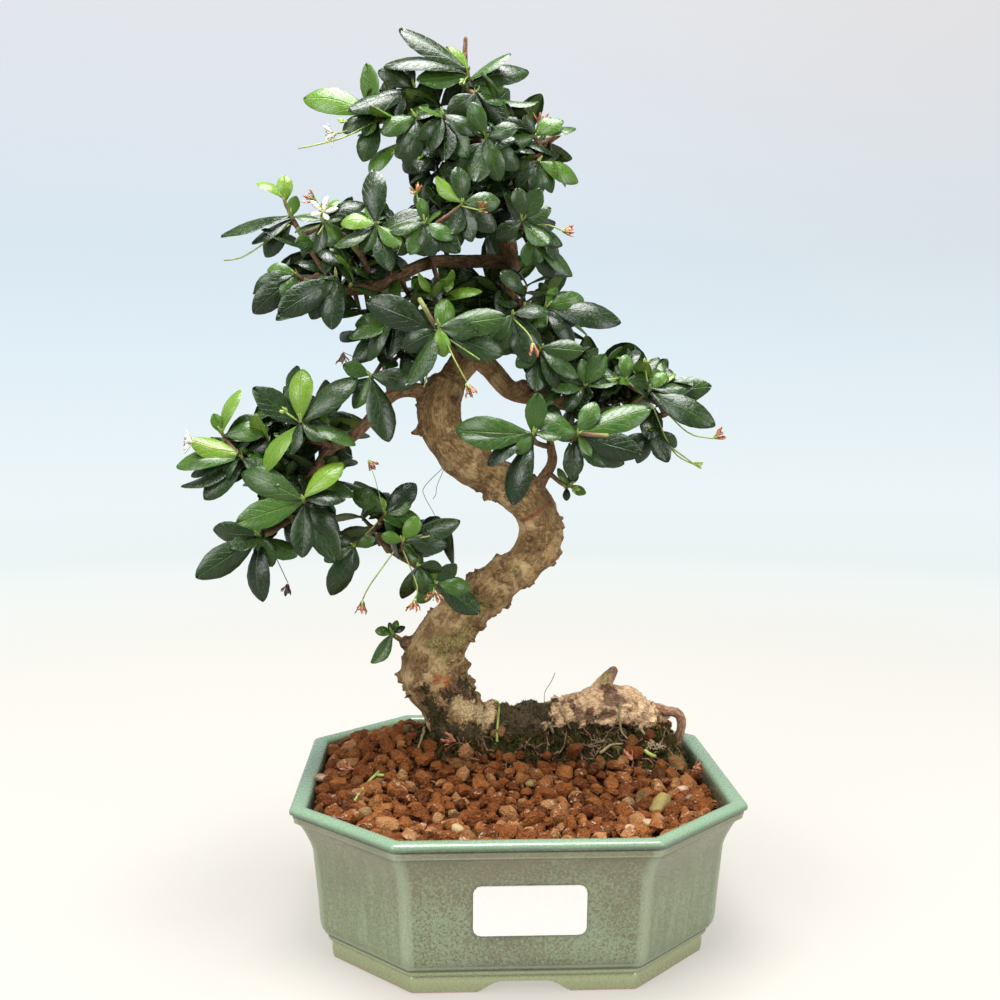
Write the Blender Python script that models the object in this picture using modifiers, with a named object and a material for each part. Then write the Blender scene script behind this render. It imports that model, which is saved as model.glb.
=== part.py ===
# A fukien tea bonsai in an eight-sided glazed pot.
# Lengths are in millimetres from the table under the pot's centre, with +Z up and the front at -Y.
# place() moves them to the part's own frame, whose origin is under the middle of the whole plant.

import math
import random

import bmesh
import bpy
from mathutils import Vector, noise
from mathutils.bvhtree import BVHTree

MM = 0.001
WELD = 0.00001
POT_CENTRE = Vector((24.85, 0.0, 0.0))
GAP = 0.3

# Pot, measured inwards from the rim's outline
RIM_HALF = 92.5
RIM_EDGE = 50.2
FLOOR_TOP = 12.0
FLOOR_UNDER = 5.0
POT_OUTSIDE = [
    (17.6, 0.0), (16.6, 1.4), (16.3, 5.6), (16.9, 6.6), (15.6, 7.4), (14.8, 9.4), (13.7, 10.8),
    (12.5, 12.6), (11.7, 15.6), (11.0, 24.0), (9.0, 46.5), (6.9, 52.0), (4.6, 56.4), (2.2, 58.4),
    (1.6, 59.6), (1.3, 61.0), (0.2, 62.0), (0.0, 63.2), (0.8, 64.5), (2.4, 65.0)]
POT_INSIDE = [
    (5.4, 64.8), (7.0, 63.6), (7.8, 61.0), (9.0, 54.0), (14.5, 46.0), (17.0, 24.0), (19.0, FLOOR_TOP)]
FOOT_RING = 8.0
ARCH_HALF_LOW = 17.5
ARCH_HALF_MIDDLE = 16.0
ARCH_HALF_HIGH = 9.0
ARCH_MIDDLE = 1.0
ARCH_HEIGHT = 4.7
PAST = 1.0
DRAIN_RADIUS = 7.0
DRAIN_X = 30.0
DRAIN_SIDES = 16

# Drainage mesh over each hole
MESH_SIZE = 25.0
MESH_CELLS = 5
MESH_THICK = 0.8

# Blank label on the front wall
LABEL_WIDTH = 43.0
LABEL_HEIGHT = 20.0
LABEL_CORNER = 3.0
LABEL_THICK = 0.6
LABEL_CENTRE = (1.5, 35.6)

# Soil
SOIL_LEVEL = 59.0
SOIL_BOTTOM = FLOOR_TOP + 1.6
SOIL_STEP = 7.7
GRAIN_RELIEF = 1.3
GRAIN_SIZE = 2.6
SOIL_GAP = GAP + 0.1
MOUND_HEIGHT = 12.0
MOUND_REACH = 20.0
MOUND_LINE = [Vector((-26.0, 24.0, 0.0)), Vector((66.0, 32.0, 0.0))]

# Wood: runs of (x, y, z, radius)
TRUNK = [
    (-20, 24, 44, 16.0), (-21, 24, 60, 16.5), (-24, 23, 76, 15.6), (-29, 22, 90, 14.0),
    (-34, 21, 102, 13.4), (-34, 20, 113, 12.6), (-28, 18, 124, 11.2), (-18, 16, 135, 10.2),
    (-6, 14, 146, 9.4), (6, 12, 155, 9.0), (12, 11, 165, 9.0), (11, 10, 176, 9.1),
    (3, 9, 186, 9.6), (-10, 8, 194, 9.0), (-23, 8, 202, 9.5), (-31, 8, 213, 9.2),
    (-33, 8, 224, 9.4), (-29, 9, 235, 7.6)]
LEADER = [
    (-31, 8.5, 229, 6.0), (-24, 10, 241, 6.2), (-17, 10, 251, 5.6), (-9, 10, 263, 5.0),
    (-3, 10, 274, 4.2), (-2, 10, 287, 3.7), (-4, 9, 300, 3.4), (-7, 8, 314, 3.0),
    (-11, 7, 330, 2.5), (-15, 6, 344, 2.1), (-19, 4, 357, 1.7), (-22, 4, 366, 1.4), (-22, 4, 380, 1.1)]
ROOT = [
    (-18, 23, 79, 9.0), (2, 22, 79, 8.4), (22, 24, 81, 8.2), (41, 26, 86, 9.6),
    (56, 29, 83, 9.8), (66, 32, 74, 7.6), (71, 34, 64, 5.0), (72, 35, 54, 3.6)]
ROOT_STUB = [(42, 25, 90, 5.0), (45, 25, 98, 4.2), (49, 25, 104, 2.8)]
CURLED_ROOT = [
    (64, 31, 76, 1.8), (69, 30, 82, 1.9), (75, 30, 82, 2.0), (79, 30, 79, 2.0),
    (80, 31, 73, 1.9), (79, 32, 66, 1.9), (77, 33, 55, 1.6)]
BRANCH_UPPER_LEFT = [
    (-2, 10, 287, 3.2), (-20, 10, 287, 3.0), (-37, 8, 286, 2.9), (-50, 4, 280, 2.7),
    (-60, 0, 275, 2.6), (-73, -4, 273, 2.0), (-82, -6, 280, 1.6)]
BRANCH_LEFT = [
    (-31, 8, 226, 5.2), (-43, 6, 231, 3.5), (-53, 4, 229, 3.0), (-63, 0, 218, 2.7),
    (-71, -4, 210, 2.5), (-79, -6, 206, 2.4), (-87, -8, 194, 2.2), (-92, -8, 184, 1.8), (-97, -9, 175, 1.4)]
BRANCH_LOW_LEFT = [
    (-27, 18, 126, 5.0), (-29, 16, 137, 3.4), (-35, 12, 148, 2.7), (-43, 8, 155, 2.5),
    (-51, 4, 160, 2.2), (-57, 1, 165, 1.8), (-60, -1, 171, 1.3)]
BRANCH_RIGHT = [
    (-19, 10, 249, 4.6), (-10, 8, 240, 4.6), (-3, 6, 232, 4.3), (9, 4, 228, 3.7),
    (24, 2, 225, 3.0), (37, 0, 221, 2.6), (48, -2, 219, 2.2), (60, -3, 220, 1.7), (69, -3, 223, 1.2)]
BRANCH_STUB = [(-2, 5, 231, 3.6), (2, 1, 232, 3.5), (4, -2, 233, 3.4)]
TWIG_RIGHT = [
    (8, 9, 183, 4.6), (12, 4, 192, 2.7), (16, 0, 200, 2.4), (15, -5, 207, 1.9), (14, -9, 211, 1.5)]
TOP_STUB = [(-11, 7, 330, 2.2), (-2, 4, 331, 1.9), (7, 2, 333, 1.8), (18, 0, 340, 1.5)]
SPROUT_STUB = [(-38, 19, 112, 5.0), (-45, 18, 117, 3.2), (-49, 17, 119, 2.2)]
LIMBS = {
    "trunk": (TRUNK, 8.5, 12),
    "leader": (LEADER, 12.0, 8),
    "root": (ROOT, 9.0, 10),
    "root_stub": (ROOT_STUB, 7.0, 8),
    "curled_root": (CURLED_ROOT, 5.0, 6),
    "branch_upper_left": (BRANCH_UPPER_LEFT, 13.0, 6),
    "branch_left": (BRANCH_LEFT, 11.0, 6),
    "branch_low_left": (BRANCH_LOW_LEFT, 9.0, 6),
    "branch_right": (BRANCH_RIGHT, 12.0, 6),
    "branch_stub": (BRANCH_STUB, 7.0, 8),
    "twig_right": (TWIG_RIGHT, 9.0, 6),
    "top_stub": (TOP_STUB, 9.0, 6),
    "sprout_stub": (SPROUT_STUB, 8.0, 6),
}
IN_SOIL = ("trunk", "root", "curled_root")
KNOB_HEIGHT = 1.5
KNOB_SIZE = 9.0
KNOB_FADE = (82.0, 96.0, 196.0, 215.0)

# Leaves
LEAF_THICK = 1.3
LEAF_ROWS = [(0.10, 0.28), (0.66, 1.0)]
LEAF_END = 0.42
SMALLEST_LEAF = 16
LEAF_ARCH = 0.07
LEAF_FOLD = 0.22
LEAF_STAGGER = 1.25
BUD_ABOVE = 2.6
STEM_STEP = 3.0
STEM_SKIP = 4
STALK_STEP = 12.0
TWIG_SIDES = 4
TOO_NEAR = 2.5
TWIG_OVERLAP = 0.47
BUD_FOOT = 1.6
BUD_TIP = 0.8
TWIG_RADIUS = 1.0
BUD_LOW_RADIUS = 1.1
BUD_TOP_RADIUS = 1.2
STALK_RADIUS = 0.55
STALK_END_RADIUS = 0.9
LEAF_BASE_WIDTH = 3.4
LEAF_WIDTH_RATE = 0.27
CLEARANCE = 0.45
ROOT_END = 0.4
ROOT_TAPER = 1.4
LEAN_STEP = 0.17
LEAN_UP = 0.16
LEAN_ALL = -0.10
LEAN_SPREAD = 0.34
SWINGS = (0.0, 0.10, -0.10, 0.20, -0.20)
BACK_LENGTH = (19.0, 27.0)
BACK_LIFT = (0.05, 0.45)
BACK_TURNS = (0.0, 0.25, -0.25, 0.5, -0.5)
LEAF_ROLL = 0.3
END_ON = 0.25
PRISM_SIDES = 12
KEEP_OFF = 0.7
KEEP_OFF_TIP = 1.03
SHEATH = 0.2
GOLDEN_ANGLE = math.radians(137.5)
GOLDEN_SHARE = 0.618
SHOOT_LEAN = 0.35
SHARP_TURN = 0.3
SEED = 11
FLAT_ANGLE = 0.01
SHARP_ANGLE = math.radians(40.0)
FRONT = Vector((0.0, -0.80, 0.50))
BACK = Vector((0.0, 0.72, 0.55))

# Sprays. A stem is a run of (x, y, z, radius) that starts in the wood. A shoot is the place of its
# bud and its leaves, each as (heading, length): 0 degrees points right and 90 up, seen from the
# front. A number in place of the leaves makes a rosette of that many round the bud.
# A stalk is a run of places from a bud to its bloom.
SPRAYS = {
    "spray_crown_top": {
        "stem": [(-17, 5, 350, 1.3), (-20, -1, 354, 1.3), (-21, -4, 359, 1.3)],
        "shoots": [
            ((-21, -5, 362), [(147, 33), (172, 34), (188, 21), (124, 16), (35, 21), (18, 27), (352, 16),
                              (338, 19)]),
            ((-18, -12, 352), [(265, 15), (215, 14), (310, 17), (238, 12), (340, 12)])],
    },
    "spray_crown_left": {
        "stem": [(-13, 6, 336, 1.5), (-32, 3, 338, 1.4), (-46, 0, 341, 1.2), (-57, -4, 343, 1.1)],
        "shoots": [
            ((-59, -5, 344), [(163, 32), (101, 23), (74, 20), (204, 15), (243, 10), (248, 18), (225, 9)]),
            ((-43, -3, 355), [(201, 28), (154, 15), (184, 17), (110, 12), (30, 14)]),
            ((-42, -10, 342), [(261, 22), (238, 16), (205, 15), (290, 14)])],
        "stalks": [[(-60, -6, 343), (-70, -9, 338), (-75, -11, 336)],
                   [(-60, -7, 342), (-72, -14, 334), (-84, -12, 331), (-91, -10, 330)]],
    },
    "spray_crown_middle": {
        "stem": [(-12, 7, 333, 1.5), (-19, -6, 338, 1.4), (-27, -16, 340, 1.2)],
        "shoots": [
            ((-31, -17, 341), [(248, 16), (272, 19), (215, 13), (300, 18), (335, 15), (160, 11)]),
            ((-14, -19, 333), [(285, 18), (255, 20), (320, 17), (225, 17), (20, 13), (120, 14)])],
    },
    "spray_crown_right": {
        "stem": [(6, 2, 333, 1.5), (9, -4, 333, 1.2), (10, -8, 332, 1.1)],
        "shoots": [
            ((7, -8, 336), [(14, 17), (52, 10), (30, 12), (160, 17), (195, 13), (125, 9)]),
            ((8, -11, 325), [(338, 19), (300, 13), (268, 13), (235, 14), (205, 13)])],
        "stalks": [[(8, -7, 338), (10, -4, 340), (9, -2, 342)]],
    },
    "spray_upper_left_tip": {
        "stem": [(-80, -6, 279, 1.4), (-86, -7, 288, 1.3), (-92, -8, 298, 1.2)],
        "shoots": [
            ((-94, -8, 301), [(196, 30), (206, 20), (228, 18), (75, 9), (10, 11)]),
            ((-97, -6, 308), [(140, 14), (92, 12)])],
        "stalks": [[(-95, -10, 299), (-105, -12, 291), (-115, -11, 285), (-122, -10, 284)]],
    },
    "spray_upper_left_low": {
        "stem": [(-74, -4, 272, 1.5), (-82, -12, 274, 1.4), (-89, -15, 276, 1.2)],
        "shoots": [
            ((-91, -16, 277), [(203, 19), (214, 22), (188, 11), (170, 12), (240, 12), (250, 15)]),
            ((-75, -22, 276), [(226, 13), (241, 20), (265, 21), (226, 25), (214, 29), (280, 15)])],
    },
    "spray_upper_left_front": {
        "stem": [(-62, -1, 275, 1.6), (-64, -14, 284, 1.4), (-70, -24, 292, 1.2)],
        "shoots": [
            ((-79, -28, 297), [(28, 18), (60, 10), (320, 11), (200, 12), (255, 14), (170, 11)]),
            ((-58, -31, 295), [(95, 24), (172, 14), (205, 19), (320, 13), (290, 17), (16, 22), (240, 12)])],
        "stalks": [[(-79, -29, 297), (-79, -33, 300)], [(-79, -30, 296), (-81, -34, 292)],
                   [(-76, -26, 299), (-82, -26, 306)]],
    },
    "spray_upper_middle": {
        "stem": [(-36, 6, 287, 1.5), (-38, -12, 292, 1.4), (-38, -24, 295, 1.2)],
        "shoots": [
            ((-39, -32, 296), [(285, 13), (322, 18), (335, 13), (245, 14), (190, 14), (95, 10)]),
            ((-24, -30, 304), [(328, 17), (285, 15), (250, 14), (140, 14), (95, 15), (5, 15)])],
        "stalks": [[(-39, -32, 298), (-42, -33, 308)], [(-24, -32, 304), (-17, -35, 302)]],
    },
    "spray_upper_right": {
        "stem": [(-4, 9, 297, 1.5), (-1, -4, 298, 1.4), (1, -14, 299, 1.2)],
        "shoots": [
            ((1, -18, 300), [(338, 20), (25, 13), (60, 14), (316, 15), (215, 13), (100, 12)]),
            ((6, -16, 294), [(315, 22), (322, 16), (298, 18), (283, 12), (255, 13)])],
        "stalks": [[(4, -17, 299), (12, -18, 299), (17, -18, 297)]],
    },
    "spray_middle_front": {
        "stem": [(-24, 8, 244, 1.7), (-28, -10, 250, 1.5), (-31, -26, 254, 1.3)],
        "shoots": [
            ((-33, -36, 255), [(8, 27), (248, 28), (205, 16), (163, 31), (330, 27), (280, 12), (78, 16),
                               (355, 15)])],
        "stalks": [[(-35, -37, 258), (-41, -37, 267)], [(-34, -38, 252), (-39, -42, 232)],
                   [(-31, -38, 252), (-27, -41, 243), (-22, -41, 234)],
                   [(-29, -38, 251), (-17, -40, 243)]],
    },
    "spray_middle_left": {
        "stem": [(-54, 3, 230, 1.6), (-56, -6, 244, 1.4), (-53, -12, 256, 1.2)],
        "shoots": [
            ((-51, -14, 260), [(233, 21), (262, 17), (214, 20), (222, 24), (172, 16), (290, 13), (140, 12)]),
            ((-61, -21, 236), [(352, 18), (281, 27), (200, 16), (240, 15), (160, 12)])],
    },
    "spray_middle_right": {
        "stem": [(-6, 9, 264, 1.6), (0, -4, 264, 1.4), (5, -14, 262, 1.2)],
        "shoots": [
            ((-3, -26, 261), [(314, 17), (290, 20), (10, 14), (250, 15), (225, 14)]),
            ((11, -16, 265), [(12, 16), (352, 31), (334, 14), (312, 19), (255, 12), (60, 9)]),
            ((8, -26, 248), [(355, 18), (335, 20), (300, 17), (265, 17), (220, 13)])],
        "stalks": [[(-3, -28, 260), (2, -38, 254), (4, -41, 250)]],
    },
    "spray_right_inner": {
        "stem": [(25, 2, 226, 1.5), (27, -8, 229, 1.3), (28, -14, 231, 1.2)],
        "shoots": [
            ((28, -15, 232), [(95, 12), (60, 15), (140, 16), (10, 14), (255, 14), (225, 13), (185, 15)])],
    },
    "spray_right_far": {
        "stem": [(47, -2, 220, 1.5), (50, -10, 226, 1.3), (53, -14, 230, 1.2)],
        "shoots": [
            ((45, -14, 234), [(85, 12), (5, 19), (335, 13), (168, 12), (120, 8), (210, 12)]),
            ((55, -16, 231), [(4, 20), (325, 22), (322, 29), (12, 27), (345, 21), (50, 10)])],
        "stalks": [[(44, -16, 236), (39, -22, 236)], [(57, -18, 228), (72, -14, 214), (84, -10, 211)],
                   [(56, -18, 226), (66, -14, 206), (78, -10, 199)]],
    },
    "spray_right_under": {
        "stem": [(57, -3, 219, 1.4), (57, -7, 215, 1.3), (56, -11, 214, 1.2)],
        "shoots": [((56, -13, 214), [(300, 15), (330, 14), (255, 14), (215, 13)])],
    },
    "spray_low_right_outer": {
        "stem": [(14, -8, 211, 1.3), (17, -20, 213, 1.3), (21, -31, 214, 1.2)],
        "shoots": [
            ((23, -34, 213), [(20, 33), (60, 15), (155, 18), (345, 27), (331, 23), (320, 17), (266, 17),
                              (185, 9), (300, 10)])],
        "stalks": [[(24, -36, 214), (33, -37, 213), (41, -37, 213)]],
    },
    "spray_low_right_inner": {
        "stem": [(15, -5, 207, 1.3), (8, -18, 209, 1.3), (5, -30, 212, 1.2)],
        "shoots": [
            ((5, -36, 213), [(172, 30), (183, 32), (86, 18), (352, 11), (205, 21), (248, 27), (230, 10)])],
    },
    "spray_low_right_twig": {
        "stem": [(14, 2, 196, 1.3), (19, -1, 192, 1.1), (22, -2, 190, 1.0)],
        "shoots": [((23, -2, 190), [(330, 8), (120, 9), (60, 8), (270, 6)])],
    },
    "spray_left_top": {
        "stem": [(-79, -6, 206, 1.5), (-83, -16, 211, 1.4), (-87, -22, 215, 1.2)],
        "shoots": [
            ((-89, -25, 217), [(90, 22), (42, 30), (224, 25), (148, 25), (348, 22), (252, 14), (325, 13)])],
    },
    "spray_left_far": {
        "stem": [(-93, -8, 184, 1.5), (-104, -12, 193, 1.3), (-113, -16, 200, 1.2)],
        "shoots": [
            ((-123, -10, 211), [(75, 20), (12, 19), (40, 17), (110, 9)]),
            ((-114, -18, 202), [(162, 23), (175, 28), (192, 23), (204, 27), (213, 22), (330, 14),
                                (225, 13)])],
        "stalks": [[(-116, -20, 205), (-126, -24, 207), (-132, -24, 209)]],
    },
    "spray_left_middle": {
        "stem": [(-91, -8, 185, 1.5), (-89, -18, 186, 1.4), (-88, -24, 186, 1.2)],
        "shoots": [
            ((-88, -28, 186), [(45, 21), (5, 17), (155, 29), (203, 28), (270, 22), (294, 27), (320, 19),
                               (180, 18)])],
    },
    "spray_left_low": {
        "stem": [(-96, -9, 176, 1.2), (-102, -14, 172, 1.2), (-106, -17, 170, 1.1)],
        "shoots": [
            ((-107, -19, 170), [(175, 19), (219, 30), (268, 26), (331, 17), (100, 14), (200, 13),
                                (292, 14)])],
    },
    "spray_low_left_tip": {
        "stem": [(-60, -1, 170, 1.2), (-58, -7, 175, 1.1)],
        "shoots": [
            ((-56, -9, 178), [(145, 17), (45, 18), (110, 8), (352, 15), (300, 12), (20, 12)]),
            ((-68, -13, 165), [(245, 22), (262, 11), (150, 12), (20, 9), (200, 14)])],
        "stalks": [[(-59, -11, 175), (-64, -14, 170)]],
    },
    "spray_low_left_middle": {
        "stem": [(-50, 4, 160, 1.3), (-49, -7, 163, 1.2), (-48, -13, 166, 1.1)],
        "shoots": [
            ((-48, -15, 167), [(355, 19), (16, 25), (312, 14), (60, 12), (165, 10)]),
            ((-42, -16, 157), [(250, 16), (283, 12), (350, 11)])],
        "stalks": [[(-48, -17, 164), (-42, -20, 149), (-43, -20, 144)], [(-47, -17, 168), (-37, -18, 170)],
                   [(-52, -15, 163), (-62, -16, 149), (-65, -16, 143)]],
    },
    "spray_low_left_inner": {
        "stem": [(-34, 12, 148, 1.3), (-34, -4, 149, 1.2), (-34, -12, 149, 1.1)],
        "shoots": [((-34, -14, 149), [(45, 12), (325, 23), (352, 14), (150, 11), (225, 11), (100, 9)])],
        "stalks": [[(-35, -16, 148), (-35, -21, 147)]],
    },
    "spray_sprout": {
        "stem": [(-48, 17, 118, 1.2), (-51, 15, 120, 1.2), (-53, 13, 122, 1.1)],
        "shoots": [((-53, 13, 122), [(235, 16), (165, 9), (75, 7), (32, 8), (200, 8)])],
    },
    "spray_back_crown": {
        "stem": [(-14, 6, 341, 1.5), (-15, 16, 345, 1.3), (-15, 24, 349, 1.2)],
        "shoots": [((-16, 26, 351), 5), ((-33, 24, 345), 4), ((2, 24, 341), 4)],
    },
    "spray_back_upper": {
        "stem": [(-7, 9, 314, 1.6), (-8, 22, 318, 1.4), (-9, 34, 321, 1.2)],
        "shoots": [((-9, 38, 322), 5), ((-29, 34, 315), 4)],
    },
    "spray_back_upper_left": {
        "stem": [(-50, 5, 280, 1.5), (-54, 18, 286, 1.4), (-60, 30, 291, 1.2)],
        "shoots": [((-62, 33, 292), 5), ((-83, 20, 291), 4)],
    },
    "spray_back_middle": {
        "stem": [(-6, 10, 269, 1.6), (-8, 26, 275, 1.4), (-10, 42, 280, 1.2)],
        "shoots": [((-11, 46, 281), 5), ((-34, 40, 268), 4), ((14, 38, 270), 4)],
    },
    "spray_back_right": {
        "stem": [(30, 2, 224, 1.5), (33, 14, 230, 1.4), (36, 26, 235, 1.2)],
        "shoots": [((37, 30, 236), 5), ((58, 20, 231), 4)],
    },
    "spray_back_left": {
        "stem": [(-73, -3, 209, 1.5), (-78, 10, 213, 1.4), (-84, 20, 215, 1.2)],
        "shoots": [((-86, 23, 215), 5), ((-108, 14, 206), 4)],
    },
    "spray_back_left_low": {
        "stem": [(-94, -8, 179, 1.4), (-97, 4, 181, 1.3), (-100, 14, 180, 1.2)],
        "shoots": [((-101, 16, 179), 4)],
    },
    "spray_back_low_left": {
        "stem": [(-46, 6, 157, 1.3), (-50, 16, 164, 1.2), (-53, 22, 168, 1.1)],
        "shoots": [((-54, 24, 169), 4)],
    },
}

# Blooms: place, direction, petal length, petals and how far they open
BLOOMS = {
    "bloom_open_crown": ((-75, -11, 336), (-1.0, -0.4, -0.3), 5.5, 5, 1.1),
    "bloom_open_left": ((-79, -33, 300), (0.1, -1.0, 0.5), 6.0, 5, 1.2),
    "bloom_open_pad": ((-132, -24, 209), (-1.0, -0.3, 0.1), 5.5, 5, 1.0),
    "bloom_spent_top": ((9, -2, 342), (0.1, -0.1, 1.0), 5.0, 4, 0.5),
    "bloom_spent_left": ((-82, -26, 306), (-0.7, -0.4, 0.4), 5.0, 4, 0.7),
    "bloom_spent_upper": ((-42, -33, 308), (-0.2, -0.7, 0.5), 4.5, 4, 0.7),
    "bloom_spent_middle": ((-17, -35, 302), (0.3, -1.0, 0.1), 4.5, 4, 0.7),
    "bloom_spent_right": ((17, -18, 297), (1.0, -0.2, -0.2), 5.0, 4, 0.5),
    "bloom_spent_front": ((-22, -41, 234), (0.4, -0.2, -1.0), 5.5, 4, 0.4),
    "bloom_spent_inner": ((4, -41, 250), (0.1, -0.3, -1.0), 5.0, 4, 0.5),
    "bloom_spent_low": ((-43, -20, 144), (-0.1, -0.2, -1.0), 5.5, 5, 0.6),
    "bloom_spent_low_left": ((-65, -16, 143), (-0.1, -0.1, -1.0), 5.5, 4, 0.35),
    "bloom_spent_low_inner": ((-35, -21, 147), (0.0, -1.0, -0.4), 5.5, 5, 0.8),
    "bloom_spent_far": ((84, -10, 211), (1.0, 0.0, 0.5), 5.5, 5, 0.5),
}
BLOOM_KEEP_OFF = 4.5
BLOOM_OFF = GAP + 0.2
THROAT_HEIGHT = 1.3
THROAT_RADIUS = 1.2

# Colour, roughness and metallic value of each finish
FINISHES = {
    "glaze": ((0.17, 0.32, 0.23), 0.28, 0.0),
    "paper": ((0.90, 0.90, 0.88), 0.55, 0.0),
    "net": ((0.05, 0.05, 0.05), 0.60, 0.0),
    "soil": ((0.27, 0.11, 0.05), 0.95, 0.0),
    "bark": ((0.42, 0.31, 0.19), 0.85, 0.0),
    "foliage": ((0.035, 0.10, 0.03), 0.30, 0.0),
    "petal": ((0.86, 0.82, 0.70), 0.60, 0.0),
    "spent": ((0.60, 0.24, 0.09), 0.75, 0.0),
}


def clear_scene():
    for item in list(bpy.data.objects):
        bpy.data.objects.remove(item, do_unlink=True)


def new_collection(name):
    collection = bpy.data.collections.new(name)
    bpy.context.scene.collection.children.link(collection)
    return collection


def place(point):
    return (Vector(point) + POT_CENTRE) * MM


def add_material(item, finish):
    colour, roughness, metallic = FINISHES[finish]
    material = bpy.data.materials.new(item.name)
    material.use_nodes = True
    shader = material.node_tree.nodes["Principled BSDF"]
    shader.inputs["Base Color"].default_value = (*colour, 1.0)
    shader.inputs["Roughness"].default_value = roughness
    shader.inputs["Metallic"].default_value = metallic
    item.data.materials.clear()
    item.data.materials.append(material)


def closed_object(name, verts, faces, collection, finish=None):
    mesh = bpy.data.meshes.new(name)
    mesh.from_pydata([place(v) for v in verts], [], faces)
    tidy = bmesh.new()
    tidy.from_mesh(mesh)
    bmesh.ops.recalc_face_normals(tidy, faces=tidy.faces)
    tidy.to_mesh(mesh)
    tidy.free()
    item = bpy.data.objects.new(name, mesh)
    collection.objects.link(item)
    if finish:
        add_material(item, finish)
    return item


def loft(name, loops, collection, finish=None):
    """A closed solid through loops of equal length, with a flat cap on the first and the last."""
    count = len(loops[0])
    verts = [v for loop in loops for v in loop]
    faces = [list(range(count)), list(range(len(verts) - count, len(verts)))]
    for row in range(len(loops) - 1):
        for k in range(count):
            a = row * count + k
            b = row * count + (k + 1) % count
            faces.append([a, b, b + count, a + count])
    return closed_object(name, verts, faces, collection, finish)


def add_boolean(item, operation, tool):
    modifier = item.modifiers.new(operation.title(), "BOOLEAN")
    modifier.operation = operation
    modifier.object = tool


def as_cutter(item):
    item.hide_render = True
    item.display_type = "WIRE"
    return item


def evaluated_mesh(item):
    graph = bpy.context.evaluated_depsgraph_get()
    return bpy.data.meshes.new_from_object(item.evaluated_get(graph))


def join_flat_faces(mesh):
    """Joins the faces of one plane, so that a union's extra edges go."""
    work = bmesh.new()
    work.from_mesh(mesh)
    bmesh.ops.dissolve_limit(work, angle_limit=FLAT_ANGLE, verts=work.verts, edges=work.edges)
    work.to_mesh(mesh)
    work.free()


def shade_round(mesh):
    mesh.shade_smooth()
    mesh.set_sharp_from_angle(angle=SHARP_ANGLE)


def keep_largest(mesh):
    """Drops any loose scrap that a union leaves beside the main body."""
    work = bmesh.new()
    work.from_mesh(mesh)
    left = set(work.verts)
    bodies = []
    while left:
        stack = [left.pop()]
        body = []
        while stack:
            vert = stack.pop()
            body.append(vert)
            for edge in vert.link_edges:
                other = edge.other_vert(vert)
                if other in left:
                    left.remove(other)
                    stack.append(other)
        bodies.append(body)
    bodies.sort(key=len)
    for body in bodies[:-1]:
        bmesh.ops.delete(work, geom=body, context="VERTS")
    work.to_mesh(mesh)
    work.free()


def fuse(name, pieces, collection, finish):
    """One solid from closed pieces that cross: a union on a collection, applied."""
    base = pieces[0]
    group = new_collection(name + " pieces")
    for piece in pieces[1:]:
        for owner in list(piece.users_collection):
            owner.objects.unlink(piece)
        group.objects.link(piece)
    modifier = base.modifiers.new("Union", "BOOLEAN")
    modifier.operation = "UNION"
    modifier.operand_type = "COLLECTION"
    modifier.collection = group
    modifier.solver = "MANIFOLD"
    mesh = evaluated_mesh(base)
    join_flat_faces(mesh)
    keep_largest(mesh)
    shade_round(mesh)
    for piece in pieces:
        bpy.data.objects.remove(piece, do_unlink=True)
    bpy.data.collections.remove(group)
    mesh.name = name
    item = bpy.data.objects.new(name, mesh)
    collection.objects.link(item)
    add_material(item, finish)
    return item


# Paths and tubes
def smooth_path(points, step):
    """Points about a step apart on a smooth curve through (x, y, z, radius) points."""
    rows = [Vector(p) for p in points]
    ends = [rows[0] * 2 - rows[1]] + rows + [rows[-1] * 2 - rows[-2]]
    path = []
    for i in range(len(rows) - 1):
        p0, p1, p2, p3 = ends[i:i + 4]
        count = max(1, round((p2.xyz - p1.xyz).length / step))
        for k in range(count):
            t = k / count
            path.append(0.5 * (2 * p1 + (p2 - p0) * t + (2 * p0 - 5 * p1 + 4 * p2 - p3) * t * t
                               + (3 * p1 - p0 - 3 * p2 + p3) * t * t * t))
    path.append(rows[-1])
    return path


def tube(name, path, sides, collection, grow=0.0):
    """A tapering tube with welded caps: a bevelled curve made a mesh."""
    curve = bpy.data.curves.new(name, "CURVE")
    curve.dimensions = "3D"
    curve.bevel_depth = MM
    curve.bevel_resolution = (sides - 4) // 2
    curve.use_fill_caps = True
    spline = curve.splines.new("POLY")
    spline.points.add(len(path) - 1)
    for point, row in zip(spline.points, path):
        point.co = (*place(row.xyz), 1.0)
        point.radius = row.w + grow
    drawn = bpy.data.objects.new(name, curve)
    collection.objects.link(drawn)
    mesh = evaluated_mesh(drawn)
    bpy.data.objects.remove(drawn, do_unlink=True)
    bpy.data.curves.remove(curve)
    weld = bmesh.new()
    weld.from_mesh(mesh)
    bmesh.ops.remove_doubles(weld, verts=weld.verts, dist=WELD)
    bmesh.ops.recalc_face_normals(weld, faces=weld.faces)
    weld.to_mesh(mesh)
    weld.free()
    item = bpy.data.objects.new(name, mesh)
    collection.objects.link(item)
    return item


def search_tree(verts, faces):
    return BVHTree.FromPolygons([Vector(v) for v in verts], faces)


def object_tree(item):
    mesh = item.data
    verts = [v.co / MM - POT_CENTRE for v in mesh.vertices]
    return BVHTree.FromPolygons(verts, [list(p.vertices) for p in mesh.polygons])


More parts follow.
